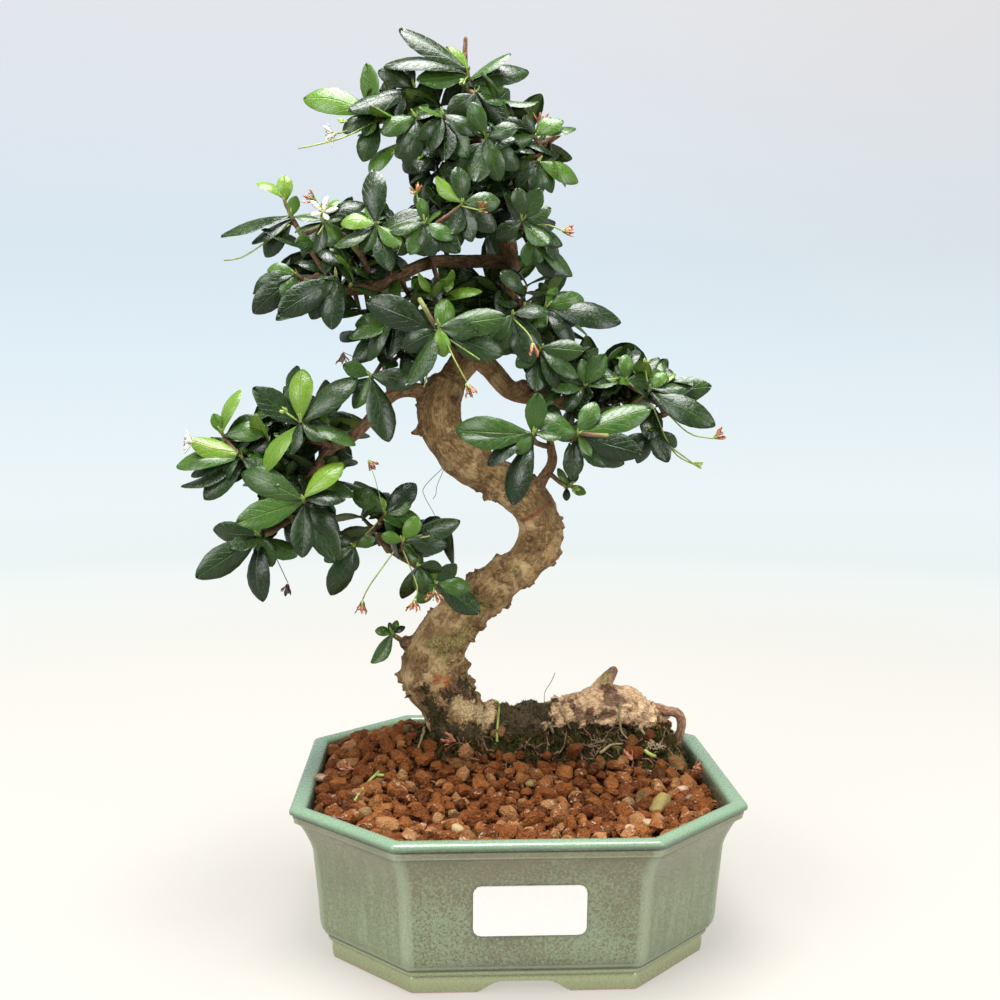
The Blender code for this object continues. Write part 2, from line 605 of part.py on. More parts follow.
def wood_distance(point):
    """Distance from a point to the nearest limb's surface, below zero inside it."""
    best = math.inf
    for start, end, is_last in LIMB_STRETCHES:
        along = end.xyz - start.xyz
        reach = (point - start.xyz).dot(along) / along.length_squared
        t = max(0.0, min(1.0, reach))
        radius = start.w + (end.w - start.w) * t
        off = point - start.xyz - along * t
        if is_last and reach > 1.0:
            beyond = (reach - 1.0) * along.length
            beside = math.sqrt(max(0.0, off.length_squared - beyond * beyond))
            best = min(best, math.hypot(beyond, max(0.0, beside - radius)))
        else:
            best = min(best, off.length - radius)
    return best


def trimmed(path):
    """The part of a stem that is outside the wood, with a small root end just off the bark."""
    gaps = [wood_distance(row.xyz) for row in path]
    first = next(i for i, gap in enumerate(gaps) if gap > CLEARANCE)
    share = (CLEARANCE - gaps[first - 1]) / (gaps[first] - gaps[first - 1])
    start = path[first - 1].lerp(path[first], share)
    start.w = ROOT_END
    return [start] + [row for row in path[first:] if (row.xyz - start.xyz).length > ROOT_TAPER]


# Pot, label, drainage net
def octagon(inset, z):
    wide = RIM_HALF - inset
    edge = RIM_EDGE - inset * math.tan(math.radians(22.5))
    corners = ((wide, -edge), (wide, edge), (edge, wide), (-edge, wide),
               (-wide, edge), (-wide, -edge), (-edge, -wide), (edge, -wide))
    return [(x, y, z) for x, y in corners]


def make_pot(model, cutters):
    loops = [octagon(inset, z) for inset, z in POT_OUTSIDE + POT_INSIDE]
    pot = loft("pot", loops, model, "glaze")
    shade_round(pot.data)
    foot_inset = POT_OUTSIDE[0][0] + FOOT_RING
    low = octagon(foot_inset, -PAST)
    recess = loft("pot_recess", [low, octagon(foot_inset + PAST, FLOOR_UNDER)], cutters)
    add_boolean(pot, "DIFFERENCE", as_cutter(recess))
    for side in range(4):
        turn = side * math.pi / 2
        arch = arch_cutter("pot_arch_%d" % side, turn, cutters)
        add_boolean(pot, "DIFFERENCE", as_cutter(arch))
    for side in (-1, 1):
        hole = round_cutter("pot_drain_%d" % side, side * DRAIN_X, DRAIN_RADIUS, cutters)
        add_boolean(pot, "DIFFERENCE", as_cutter(hole))


def arch_cutter(name, turn, cutters):
    """The low arch that is cut through the foot in the middle of a long side."""
    def ring(half, z):
        near = RIM_HALF - POT_OUTSIDE[0][0] - FOOT_RING - 2 * PAST
        far = RIM_HALF
        spots = ((-half, -far), (half, -far), (half, -near), (-half, -near))
        c = math.cos(turn)
        s = math.sin(turn)
        return [(x * c - y * s, x * s + y * c, z) for x, y in spots]
    rings = [ring(ARCH_HALF_LOW, -PAST), ring(ARCH_HALF_MIDDLE, ARCH_MIDDLE)]
    rings.append(ring(ARCH_HALF_HIGH, ARCH_HEIGHT))
    return loft(name, rings, cutters)


def round_cutter(name, x, radius, cutters):
    mesh = bpy.data.meshes.new(name)
    work = bmesh.new()
    bmesh.ops.create_cone(work, cap_ends=True, segments=DRAIN_SIDES, radius1=radius * MM, radius2=radius * MM,
                          depth=2 * (FLOOR_TOP - FLOOR_UNDER) * MM)
    bmesh.ops.translate(work, verts=work.verts, vec=place((x, 0.0, (FLOOR_TOP + FLOOR_UNDER) / 2)))
    work.to_mesh(mesh)
    work.free()
    hole = bpy.data.objects.new(name, mesh)
    cutters.objects.link(hole)
    return hole


def make_label(model):
    """A blank sticker, flat on the sloping front wall."""
    (inset_low, z_low), (inset_high, z_high) = POT_OUTSIDE[9:11]
    slope = math.atan2(inset_low - inset_high, z_high - z_low)
    x_mid, z_mid = LABEL_CENTRE
    inset = inset_low + (inset_high - inset_low) * (z_mid - z_low) / (z_high - z_low)
    outline = []
    for corner in range(4):
        sx = 1 if corner in (0, 3) else -1
        sz = 1 if corner in (0, 1) else -1
        for k in range(4):
            angle = (corner + k / 3) * math.pi / 2
            outline.append((sx * (LABEL_WIDTH / 2 - LABEL_CORNER) + LABEL_CORNER * math.cos(angle),
                            sz * (LABEL_HEIGHT / 2 - LABEL_CORNER) + LABEL_CORNER * math.sin(angle)))
    def sheet(off):
        loop = []
        for x, up in outline:
            z = z_mid + up * math.cos(slope) - off * math.sin(slope)
            y = -(RIM_HALF - inset) - up * math.sin(slope) - off * math.cos(slope)
            loop.append((x_mid + x, y, z))
        return loop
    loft("label", [sheet(GAP), sheet(GAP + LABEL_THICK)], model, "paper")


def make_net(name, x, model):
    """A square of drainage net over a hole, open in the four cells round its middle bars."""
    mesh = bpy.data.meshes.new(name)
    net = bmesh.new()
    bmesh.ops.create_grid(net, x_segments=MESH_CELLS, y_segments=MESH_CELLS, size=MESH_SIZE / 2 * MM)
    cell = MESH_SIZE / MESH_CELLS
    holes = []
    for face in net.faces:
        middle = face.calc_center_median().xy / MM
        if all(abs(abs(value) - cell) < cell / 4 for value in middle):
            holes.append(face)
    bmesh.ops.delete(net, geom=holes, context="FACES")
    bmesh.ops.translate(net, verts=net.verts, vec=place((x, 0, FLOOR_TOP + GAP)))
    net.to_mesh(mesh)
    net.free()
    item = bpy.data.objects.new(name, mesh)
    model.objects.link(item)
    solid = item.modifiers.new("Solidify", "SOLIDIFY")
    solid.thickness = MESH_THICK * MM
    solid.offset = 1.0
    add_material(item, "net")
    return item


# Soil
def soil_height(x, y):
    """The soil's level: grains, and a mound along the trunk's foot and the root."""
    start, end = MOUND_LINE
    spot = Vector((x, y, 0.0))
    along = end - start
    t = max(0.0, min(1.0, (spot - start).dot(along) / along.length_squared))
    off = (spot - start - along * t).length
    mound = MOUND_HEIGHT * math.exp(-((off / MOUND_REACH) ** 2))
    grain = GRAIN_RELIEF * noise.cell(Vector((x, y, 0.0)) / GRAIN_SIZE)
    return SOIL_LEVEL + mound + grain


def make_soil(model, cutters):
    reach = RIM_HALF
    count = round(2 * reach / SOIL_STEP)
    size = 2 * reach / count
    verts = []
    for row in range(count + 1):
        for col in range(count + 1):
            x = -reach + col * size
            y = -reach + row * size
            verts.append((x, y, soil_height(x, y)))
    faces = []
    for row in range(count):
        for col in range(count):
            a = row * (count + 1) + col
            faces.append([a, a + 1, a + count + 2, a + count + 1])
    edge = list(range(count + 1))
    edge += [row * (count + 1) + count for row in range(1, count + 1)]
    edge += [count * (count + 1) + col for col in range(count - 1, -1, -1)]
    edge += [row * (count + 1) for row in range(count - 1, 0, -1)]
    under = len(verts)
    verts += [(verts[i][0], verts[i][1], SOIL_BOTTOM) for i in edge]
    for k in range(len(edge)):
        n = (k + 1) % len(edge)
        faces.append([edge[k], under + k, under + n, edge[n]])
    faces.append([under + k for k in range(len(edge))][::-1])
    soil = closed_object("soil", verts, faces, model, "soil")
    shade_round(soil.data)
    inside = [octagon(inset + SOIL_GAP, z) for inset, z in reversed(POT_INSIDE[2:])]
    inside[0] = octagon(POT_INSIDE[-1][0] + SOIL_GAP, SOIL_BOTTOM)
    inside.append(octagon(POT_INSIDE[2][0] + SOIL_GAP, 2 * SOIL_LEVEL))
    room = loft("soil_room", inside, cutters)
    add_boolean(soil, "INTERSECT", as_cutter(room))
    for name in IN_SOIL:
        points, step, sides = LIMBS[name]
        hole = tube("soil_hole_" + name, smooth_path(points, step), sides, cutters, grow=SOIL_GAP)
        add_boolean(soil, "DIFFERENCE", as_cutter(hole))
    return soil


# Wood
def add_knobs(item):
    """Rounded knobs and hollows on the old part of the trunk, clear of the soil and the twigs."""
    low, full_low, full_high, high = KNOB_FADE
    for vert in item.data.vertices:
        at = vert.co / MM - POT_CENTRE
        fade = min(1.0, max(0.0, (at.z - low) / (full_low - low)))
        fade *= min(1.0, max(0.0, (high - at.z) / (high - full_high)))
        lift = noise.noise(at / KNOB_SIZE) * KNOB_HEIGHT * fade
        vert.co += vert.normal * lift * MM


def make_wood(model):
    pieces = []
    for name, (points, step, sides) in LIMBS.items():
        limb = tube("limb_" + name, smooth_path(points, step), sides, model)
        if name == "trunk":
            add_knobs(limb)
        pieces.append(limb)
    return fuse("wood", pieces, model, "bark")


# Leaves
def blade(base, chord, normal, width, thick, rows=LEAF_ROWS):
    """An arched, blunt-ended blade with a lens section: a rib above, a keel below, an edge either side."""
    along = chord.normalized()
    side = along.cross(normal).normalized()
    up = side.cross(along)
    verts = [base]
    for s, share in rows:
        half = share * width / 2
        centre = base + chord * s + up * (LEAF_ARCH * chord.length * 4 * s * (1 - s))
        margin = centre - up * (LEAF_FOLD * half)
        lift = up * thick / 2
        verts += [margin - side * half, centre + lift, margin + side * half, centre - lift]
    end = base + chord
    half = LEAF_END * width / 2
    verts += [end - side * half, end + side * half]
    faces = [[0, 1, 2], [0, 2, 3], [0, 3, 4], [0, 4, 1]]
    for row in range(len(rows) - 1):
        left, rib, right, keel = range(1 + 4 * row, 5 + 4 * row)
        for spine in (rib, keel):
            for edge in (left, right):
                faces.append([spine, edge, edge + 4])
                faces.append([spine, edge + 4, spine + 4])
    end_right = len(verts) - 1
    end_left = end_right - 1
    left, rib, right, keel = range(end_left - 4, end_left)
    for spine in (rib, keel):
        faces += [[spine, left, end_left], [spine, end_left, end_right], [spine, end_right, right]]
    return verts, faces


def leaf_width(length):
    return LEAF_BASE_WIDTH + LEAF_WIDTH_RATE * length


def leaf_normal(axis, chord, roll):
    """The upper side of a leaf: towards the shoot's tip, turned a little about the leaf."""
    along = chord.normalized()
    normal = axis - along * axis.dot(along)
    if normal.length < END_ON:
        normal += FRONT
        normal -= along * normal.dot(along)
    normal.normalize()
    return normal * math.cos(roll) + along.cross(normal) * math.sin(roll)


def wanted_leaves(shoot, axis, draw):
    """Each leaf of a shoot as the chords to try, best first."""
    hub, leaves = shoot
    wishes = []
    if isinstance(leaves, int):
        across = axis.orthogonal().normalized()
        other = axis.cross(across)
        start = draw.uniform(0.0, math.tau)
        for k in range(leaves):
            angle = start + k * GOLDEN_ANGLE
            length = draw.uniform(*BACK_LENGTH)
            lift = draw.uniform(*BACK_LIFT)
            tries = []
            for turn in BACK_TURNS:
                for rise in BACK_TURNS[:3]:
                    flat = across * math.cos(angle + turn) + other * math.sin(angle + turn)
                    tries.append((flat + axis * (lift + rise)).normalized() * length)
            wishes.append(tries)
        return wishes
    for k, (heading, length) in enumerate(grown_leaves(leaves)):
        angle = math.radians(heading)
        share = ((k + 1) * GOLDEN_SHARE + draw.uniform(0.0, 0.3)) % 1.0 - 0.5
        lean = LEAN_UP * math.sin(angle) + LEAN_ALL + LEAN_SPREAD * share
        tries = []
        for off in (0, 1, -1, 2, -2, 3, -3, 4, -4, 5, -5):
            for swing in SWINGS:
                flat = Vector((math.cos(angle + swing), lean + off * LEAN_STEP, math.sin(angle + swing)))
                tries.append(flat * length)
        wishes.append(tries)
    return wishes


def grown_leaves(leaves):
    """The leaves of a shoot that are large enough to model, or all of them on a shoot with none."""
    return [row for row in leaves if row[1] >= SMALLEST_LEAF] or leaves


def leaf_count(shoot):
    leaves = shoot[1]
    return leaves if isinstance(leaves, int) else len(grown_leaves(leaves))


def shoot_axis(name, hub, start):
    outward = (hub - start).normalized()
    side = BACK if name.startswith("spray_back") else FRONT
    return (side + outward * SHOOT_LEAN).normalized()


def nearest_on(runs, point):
    """The place on the middle line of the nearest tube."""
    spots = []
    for run in runs:
        for start, end in zip(run[:-1], run[1:]):
            along = end.xyz - start.xyz
            t = max(0.0, min(1.0, (point - start.xyz).dot(along) / along.length_squared))
            spots.append(start.xyz + along * t)
    return min(spots, key=lambda spot: (spot - point).length)


def twig_runs(shoot, axis, stem):
    """A bud along its axis, and the twig from the stem to the bud's foot, in one run where they line up."""
    hub = Vector(shoot[0])
    below = LEAF_STAGGER * (leaf_count(shoot) - 1) - BUD_ABOVE + BUD_FOOT
    low = hub - axis * below
    top = hub + axis * BUD_ABOVE
    near = min((row.xyz for row in stem), key=lambda spot: (spot - low).length)
    reach = low - near
    if reach.length < TWIG_RADIUS:
        low = near
    bud = [Vector((*(low - axis * TWIG_OVERLAP), BUD_LOW_RADIUS)), Vector((*top, BUD_TOP_RADIUS))]
    if reach.length < TWIG_RADIUS:
        return [bud]
    along = reach.normalized()
    twig = [Vector((*(near - along * TWIG_OVERLAP), TWIG_RADIUS)), Vector((*low, BUD_LOW_RADIUS))]
    if along.dot(axis) > SHARP_TURN:
        return [twig + bud[1:]]
    twig[1].xyz += along * TWIG_OVERLAP
    return [twig, bud]


def plan_sprays(collection):
    """Every stem, twig, stalk and leaf, with each leaf clear of the wood and of other sprays."""
    draw = random.Random(SEED)
    plans = {}
    for name, spray in SPRAYS.items():
        stem = trimmed(smooth_path(spray["stem"], STEM_STEP))
        tubes = [("stem", stem[:-1:STEM_SKIP] + [stem[-1]], TWIG_SIDES)]
        for shoot in spray["shoots"]:
            axis = shoot_axis(name, Vector(shoot[0]), stem[0].xyz)
            tubes += [("twig", run, TWIG_SIDES) for run in twig_runs(shoot, axis, stem[1:])]
        twigs = [run for _, run, _ in tubes]
        for stalk in spray.get("stalks", []):
            spots = [nearest_on(twigs, Vector(stalk[0]))] + [Vector(p) for p in stalk]
            if (spots[1] - spots[0]).length < TOO_NEAR:
                spots.pop(1)
            run = [(*p, STALK_RADIUS) for p in spots[:-1]] + [(*spots[-1], STALK_END_RADIUS)]
            tubes.append(("stalk", smooth_path(run, STALK_STEP), TWIG_SIDES))
        made = [tube("%s_%s" % (name, kind), path, sides, collection) for kind, path, sides in tubes]
        trees = [object_tree(item) for item in made]
        plans[name] = {"tubes": made, "trees": trees, "blades": [], "start": stem[0].xyz}
    fixed = [("wood", search_tree(*limb_prism(points, step))) for points, step, sides in LIMBS.values()]
    for spot, direction, length, _, _ in BLOOMS.values():
        middle = Vector(spot) + Vector(direction).normalized() * length / 2
        fixed.append(("bloom", search_tree(*ball(middle))))
    for name, plan in plans.items():
        fixed += [(name, tree) for tree in plan["trees"]]
    grown = []
    skipped = 0
    for name, spray in SPRAYS.items():
        plan = plans[name]
        for shoot in spray["shoots"]:
            hub = Vector(shoot[0])
            axis = shoot_axis(name, hub, plan["start"])
            for k, tries in enumerate(wanted_leaves(shoot, axis, draw)):
                base = hub + axis * (BUD_ABOVE - BUD_TIP - LEAF_STAGGER * k)
                roll = draw.uniform(-LEAF_ROLL, LEAF_ROLL)
                found = first_clear(name, base, tries, axis, roll, fixed, grown)
                if found is None:
                    skipped += 1
                    continue
                chord, normal, full, outer = found
                grown.append((name, base + chord * 0.5, chord.length, full, outer))
                plan["blades"].append((base, chord, normal, leaf_width(chord.length)))
    print("leaves", sum(len(plan["blades"]) for plan in plans.values()), "left out", skipped)
    return plans


def first_clear(name, base, tries, axis, roll, fixed, grown):
    """The first chord whose leaf is clear of all else, or else clear of all but its own spray."""
    spare = None
    for chord in tries:
        normal = leaf_normal(axis, chord, roll)
        width = leaf_width(chord.length)
        full = search_tree(*blade(base, chord, normal, width, LEAF_THICK))
        wide_width = width + 2 * KEEP_OFF
        wide_thick = LEAF_THICK + 2 * KEEP_OFF
        wide = search_tree(*blade(base, chord * KEEP_OFF_TIP, normal, wide_width, wide_thick))
        if any(owner != name and wide.overlap(tree) for owner, tree in fixed):
            continue
        centre = base + chord * 0.5
        near = [row for row in grown if (row[1] - centre).length < (row[2] + chord.length) / 2 + 3.0]
        if any(owner != name and wide.overlap(tree) for owner, _, _, tree, _ in near):
            continue
        rows = [((s - SHEATH) / (1 - SHEATH), share) for s, share in LEAF_ROWS if s > SHEATH]
        start = base + chord * SHEATH
        outer = search_tree(*blade(start, chord * (1 - SHEATH), normal, width, LEAF_THICK, rows))
        found = (chord, normal, full, outer)
        own = [row[4] for row in near if row[0] == name] + [tree for owner, tree in fixed if owner == name]
        if not any(outer.overlap(tree) for tree in own):
            return found
        if spare is None:
            spare = found
    return spare


def limb_prism(points, step):
    """A prism round a limb, for the leaves to keep off."""
    path = smooth_path(points, step)
    verts = []
    for i, row in enumerate(path):
        ahead = (path[min(i + 1, len(path) - 1)].xyz - path[max(i - 1, 0)].xyz).normalized()
        across = ahead.orthogonal().normalized()
        other = ahead.cross(across)
        radius = row.w + GAP
        for k in range(PRISM_SIDES):
            angle = k * math.tau / PRISM_SIDES
            verts.append(row.xyz + (across * math.cos(angle) + other * math.sin(angle)) * radius)
    faces = [list(range(PRISM_SIDES)), list(range(len(verts) - PRISM_SIDES, len(verts)))]
    for i in range(len(path) - 1):
        for k in range(PRISM_SIDES):
            a = i * PRISM_SIDES + k
            b = i * PRISM_SIDES + (k + 1) % PRISM_SIDES
            faces.append([a, b, b + PRISM_SIDES, a + PRISM_SIDES])
    return verts, faces


def ball(centre):
    """An eight-sided ball round a bloom, for the leaves to keep off."""
    ways = ((1, 0, 0), (-1, 0, 0), (0, 1, 0), (0, -1, 0), (0, 0, 1), (0, 0, -1))
    verts = [centre + Vector(way) * BLOOM_KEEP_OFF for way in ways]
    faces = [[0, 2, 4], [2, 1, 4], [1, 3, 4], [3, 0, 4], [2, 0, 5], [1, 2, 5], [3, 1, 5], [0, 3, 5]]
    return verts, faces


def make_sprays(model):
    for name, plan in plan_sprays(model).items():
        pieces = list(plan["tubes"])
        for base, chord, normal, width in plan["blades"]:
            verts, faces = blade(base, chord, normal, width, LEAF_THICK)
            pieces.append(closed_object("leaf", verts, faces, model))
        fuse(name, pieces, model, "foliage")


# Blooms
def make_bloom(name, row, model):
    """A star of narrow petals round a small throat, at the end of its stalk."""
    spot, direction, length, count, opening = row
    axis = Vector(direction).normalized()
    base = Vector(spot) + axis * BLOOM_OFF
    across = axis.orthogonal().normalized()
    other = axis.cross(across)
    rise = length / math.hypot(1.0, opening)
    spread = rise * opening
    ring = 2 * count
    tips = [(THROAT_HEIGHT, THROAT_RADIUS), (THROAT_HEIGHT + rise, spread)]
    notches = [(THROAT_HEIGHT, 0.8 * THROAT_RADIUS), (THROAT_HEIGHT + 0.4 * rise, 0.4 * spread + 0.5)]
    verts = [base]
    for tip, notch in zip(tips, notches):
        for k in range(ring):
            angle = (k + 0.4) * math.tau / ring
            height, radius = notch if k % 2 else tip
            outward = across * math.cos(angle) + other * math.sin(angle)
            verts.append(base + axis * height + outward * radius)
    verts.append(base + axis * (THROAT_HEIGHT + 0.9))
    inner = len(verts) - 1
    faces = []
    for k in range(ring):
        a = 1 + k
        b = 1 + (k + 1) % ring
        faces += [[0, b, a], [a, b, b + ring, a + ring], [inner, a + ring, b + ring]]
    closed_object(name, verts, faces, model, "petal" if "open" in name else "spent")


def limb_stretches():
    """Each straight stretch of each limb: its two ends, and whether it is the limb's last."""
    stretches = []
    for points, step, _ in LIMBS.values():
        path = smooth_path(points, step)
        last = len(path) - 2
        stretches += [(path[i], path[i + 1], i == last) for i in range(last + 1)]
    return stretches


LIMB_STRETCHES = limb_stretches()


def main():
    clear_scene()
    model = new_collection("fukien_tea_bonsai")
    cutters = new_collection("cutters")
    make_pot(model, cutters)
    make_label(model)
    make_net("drain_net_left", -DRAIN_X, model)
    make_net("drain_net_right", DRAIN_X, model)
    make_soil(model, cutters)
    make_wood(model)
    make_sprays(model)
    for name, row in BLOOMS.items():
        make_bloom(name, row, model)


main()
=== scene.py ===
# The looks of a fukien tea bonsai in an eight-sided glazed pot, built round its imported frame.
# Lengths are in millimetres from the table under the pot's centre, with +Z up and the front at -Y.
# place() turns them into the frame's metres.

import math
import random

import bmesh
import bpy
import numpy as np
from mathutils import Matrix, Vector, noise
from mathutils.bvhtree import BVHTree


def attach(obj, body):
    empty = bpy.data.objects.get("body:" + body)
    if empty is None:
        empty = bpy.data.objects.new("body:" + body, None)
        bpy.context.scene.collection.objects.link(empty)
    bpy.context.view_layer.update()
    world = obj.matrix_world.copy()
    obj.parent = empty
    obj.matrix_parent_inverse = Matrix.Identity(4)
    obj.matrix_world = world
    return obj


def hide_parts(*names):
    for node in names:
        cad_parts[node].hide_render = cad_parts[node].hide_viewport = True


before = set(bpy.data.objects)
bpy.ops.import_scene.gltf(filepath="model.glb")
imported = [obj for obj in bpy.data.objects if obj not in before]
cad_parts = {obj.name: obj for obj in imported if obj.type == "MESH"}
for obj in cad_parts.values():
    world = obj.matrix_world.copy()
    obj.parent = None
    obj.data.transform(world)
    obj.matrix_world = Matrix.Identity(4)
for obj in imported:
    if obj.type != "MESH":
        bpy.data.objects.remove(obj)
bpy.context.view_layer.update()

scene = bpy.context.scene
mm = 0.001
potCentre = Vector((24.85, 0.0, 0.0))


def place(point):
    return (Vector(point) + potCentre) * mm


def smoothStep(value):
    value = max(0.0, min(1.0, value))
    return value * value * (3 - 2 * value)


# Camera, at the photograph's viewing angle
photoView = {
    "position": (-33.3, -523.8, 227.5),
    "heading": 2.929,  # degrees to the right of the pot's front
    "tilt": 4.773,  # degrees below the horizon
    "roll": 0.323,
    "focal": 1212.0,  # in pixels of the photograph
    "pixels": 1000.0,
    "sensor": 36.0,
}


def viewAxes(view):
    heading, tilt, roll = (math.radians(view[key]) for key in ("heading", "tilt", "roll"))
    level = Vector((math.sin(heading), math.cos(heading), 0.0))
    right = Vector((math.cos(heading), -math.sin(heading), 0.0))
    ahead = level * math.cos(tilt) - Vector((0.0, 0.0, math.sin(tilt)))
    up = right.cross(ahead)
    turnedRight = right * math.cos(roll) + up * math.sin(roll)
    turnedUp = up * math.cos(roll) - right * math.sin(roll)
    return turnedRight, turnedUp, ahead


viewRight, viewUp, viewAhead = viewAxes(photoView)


def makeCamera(view):
    data = bpy.data.cameras.new("photo_camera")
    data.sensor_width = view["sensor"]
    data.lens = view["focal"] * view["sensor"] / view["pixels"]
    data.clip_start = 0.01
    data.clip_end = 20.0
    camera = bpy.data.objects.new("photo_camera", data)
    scene.collection.objects.link(camera)
    turn = Matrix((viewRight, viewUp, -viewAhead)).transposed().to_4x4()
    camera.matrix_world = Matrix.Translation(place(view["position"])) @ turn
    scene.camera = camera


def sightLine(spot):
    # The direction from the camera through a pixel of the photograph
    across, down = ((value - photoView["pixels"] / 2) / photoView["focal"] for value in spot)
    return (viewAhead + viewRight * across - viewUp * down).normalized()


makeCamera(photoView)
print("camera made")


# Node trees
class Wiring:
    # Adds nodes to one tree, and gives sockets to pass on
    def __init__(self, tree):
        self.tree = tree
        self.count = 0

    def node(self, kind, inputs=None, **settings):
        made = self.tree.nodes.new(kind)
        made.location = (220 * (self.count % 12), -320 * (self.count // 12))
        self.count += 1
        for key, value in settings.items():
            setattr(made, key, value)
        for key, value in (inputs or {}).items():
            self.put(made.inputs[key], value)
        return made

    def put(self, socket, value):
        if isinstance(value, bpy.types.NodeSocket):
            self.tree.links.new(value, socket)
        elif socket.type == "RGBA" and len(value) == 3:
            socket.default_value = (*value, 1.0)
        else:
            socket.default_value = value

    def math(self, operation, first, second=0.0, clamp=False):
        made = self.node("ShaderNodeMath", {0: first, 1: second}, operation=operation, use_clamp=clamp)
        return made.outputs[0]

    def mix(self, share, first, second, blend="MIX"):
        made = self.node("ShaderNodeMix", data_type="RGBA", blend_type=blend, clamp_factor=True)
        self.put(made.inputs[0], share)
        self.put(made.inputs[6], first)
        self.put(made.inputs[7], second)
        return made.outputs[2]

    def band(self, value, low, high, start=0.0, end=1.0):
        made = self.node("ShaderNodeMapRange", interpolation_type="SMOOTHSTEP", clamp=True)
        for index, entry in enumerate((value, low, high, start, end)):
            self.put(made.inputs[index], entry)
        return made.outputs[0]

    def ramp(self, value, stops):
        made = self.node("ShaderNodeValToRGB", {0: value})
        spots = made.color_ramp.elements
        while len(spots) < len(stops):
            spots.new(0.5)
        for spot, (position, colour) in zip(spots, stops):
            spot.position = position
            spot.color = (*colour, 1.0)
        return made.outputs[0]

    def attribute(self, name, output="Fac"):
        return self.node("ShaderNodeAttribute", attribute_name=name).outputs[output]

    def position(self):
        return self.node("ShaderNodeTexCoord").outputs["Object"]

    def noise(self, vector, scale, detail=3.0, roughness=0.55, distortion=0.0):
        made = self.node("ShaderNodeTexNoise", {"Vector": vector, "Scale": scale, "Detail": detail,
                                                "Roughness": roughness, "Distortion": distortion})
        return made.outputs[0]

    def part(self, vector, axis):
        return self.node("ShaderNodeSeparateXYZ", {0: vector}).outputs[axis]

    def group(self, tree, inputs):
        return self.node("ShaderNodeGroup", inputs, node_tree=tree)


def newGroup(name, inputs, outputs):
    tree = bpy.data.node_groups.new(name, "ShaderNodeTree")
    for title, kind, value in inputs:
        socket = tree.interface.new_socket(title, in_out="INPUT", socket_type=kind)
        if value is not None:
            socket.default_value = value
    for title, kind in outputs:
        tree.interface.new_socket(title, in_out="OUTPUT", socket_type=kind)
    wiring = Wiring(tree)
    start = wiring.node("NodeGroupInput")
    end = wiring.node("NodeGroupOutput")
    return tree, wiring, start, end


def newMaterial(name):
    material = bpy.data.materials.new(name)
    material.use_nodes = True
    material.node_tree.nodes.clear()
    wiring = Wiring(material.node_tree)
    shader = wiring.node("ShaderNodeBsdfPrincipled")
    output = wiring.node("ShaderNodeOutputMaterial")
    material.node_tree.links.new(shader.outputs[0], output.inputs[0])
    return material, wiring, shader


def addBump(wiring, shader, height, distance, strength=1.0):
    bump = wiring.node("ShaderNodeBump", {"Height": height, "Distance": distance, "Strength": strength})
    wiring.put(shader.inputs["Normal"], bump.outputs[0])


# Soft-edged patches, used by the glaze, soil, bark and paper
def makePatches():
    tree, wiring, start, end = newGroup(
        "patches",
        [("Vector", "NodeSocketVector", None), ("Scale", "NodeSocketFloat", 300.0),
         ("Level", "NodeSocketFloat", 0.5), ("Softness", "NodeSocketFloat", 0.08)],
        [("Mask", "NodeSocketFloat"), ("Height", "NodeSocketFloat")])
    cloud = wiring.noise(start.outputs["Vector"], start.outputs["Scale"], 4.0, 0.6)
    low = wiring.math("SUBTRACT", start.outputs["Level"], start.outputs["Softness"])
    high = wiring.math("ADD", start.outputs["Level"], start.outputs["Softness"])
    wiring.put(end.inputs["Mask"], wiring.band(cloud, low, high))
    wiring.put(end.inputs["Height"], cloud)
    return tree


# Scattered dots, such as spots of lime on leaves and pits in a glaze
def makeDots():
    tree, wiring, start, end = newGroup(
        "dots",
        [("Vector", "NodeSocketVector", None), ("Scale", "NodeSocketFloat", 900.0),
         ("Size", "NodeSocketFloat", 0.16), ("Amount", "NodeSocketFloat", 0.4)],
        [("Mask", "NodeSocketFloat")])
    cells = wiring.node("ShaderNodeTexVoronoi", {"Vector": start.outputs["Vector"],
                                                 "Scale": start.outputs["Scale"]})
    dot = wiring.band(cells.outputs["Distance"], start.outputs["Size"], 0.0)
    chance = wiring.part(cells.outputs["Color"], 0)
    chosen = wiring.math("LESS_THAN", chance, start.outputs["Amount"])
    wiring.put(end.inputs["Mask"], wiring.math("MULTIPLY", dot, chosen))
    return tree


patches = makePatches()
dots = makeDots()


# Meshes
class Builder:
    # Gathers vertices, faces and named values for one mesh
    def __init__(self, *marks):
        self.verts = []
        self.faces = []
        self.marks = {name: [] for name in marks}

    def add(self, verts, faces, **marks):
        first = len(self.verts)
        self.verts += [Vector(v) for v in verts]
        self.faces += [[first + k for k in face] for face in faces]
        for name, values in self.marks.items():
            given = marks.get(name, 0.0)
            values += list(given) if hasattr(given, "__len__") else [given] * len(verts)

    def mesh(self, name, placed=True, outward=True):
        data = bpy.data.meshes.new(name)
        data.from_pydata([place(v) if placed else v for v in self.verts], [], self.faces)
        for title, values in self.marks.items():
            layer = data.attributes.new(title, "FLOAT", "POINT")
            layer.data.foreach_set("value", values)
        if outward:
            faceOutward(data)
        data.shade_smooth()
        return data


def faceOutward(data):
    work = bmesh.new()
    work.from_mesh(data)
    bmesh.ops.recalc_face_normals(work, faces=work.faces)
    work.to_mesh(data)
    work.free()


def addPiece(name, data, material, slot, *replaced):
    piece = bpy.data.objects.new(name, data)
    scene.collection.objects.link(piece)
    if material:
        data.materials.clear()
        data.materials.append(material)
    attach(piece, "root")
    if replaced:
        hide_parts(*replaced)
    return piece


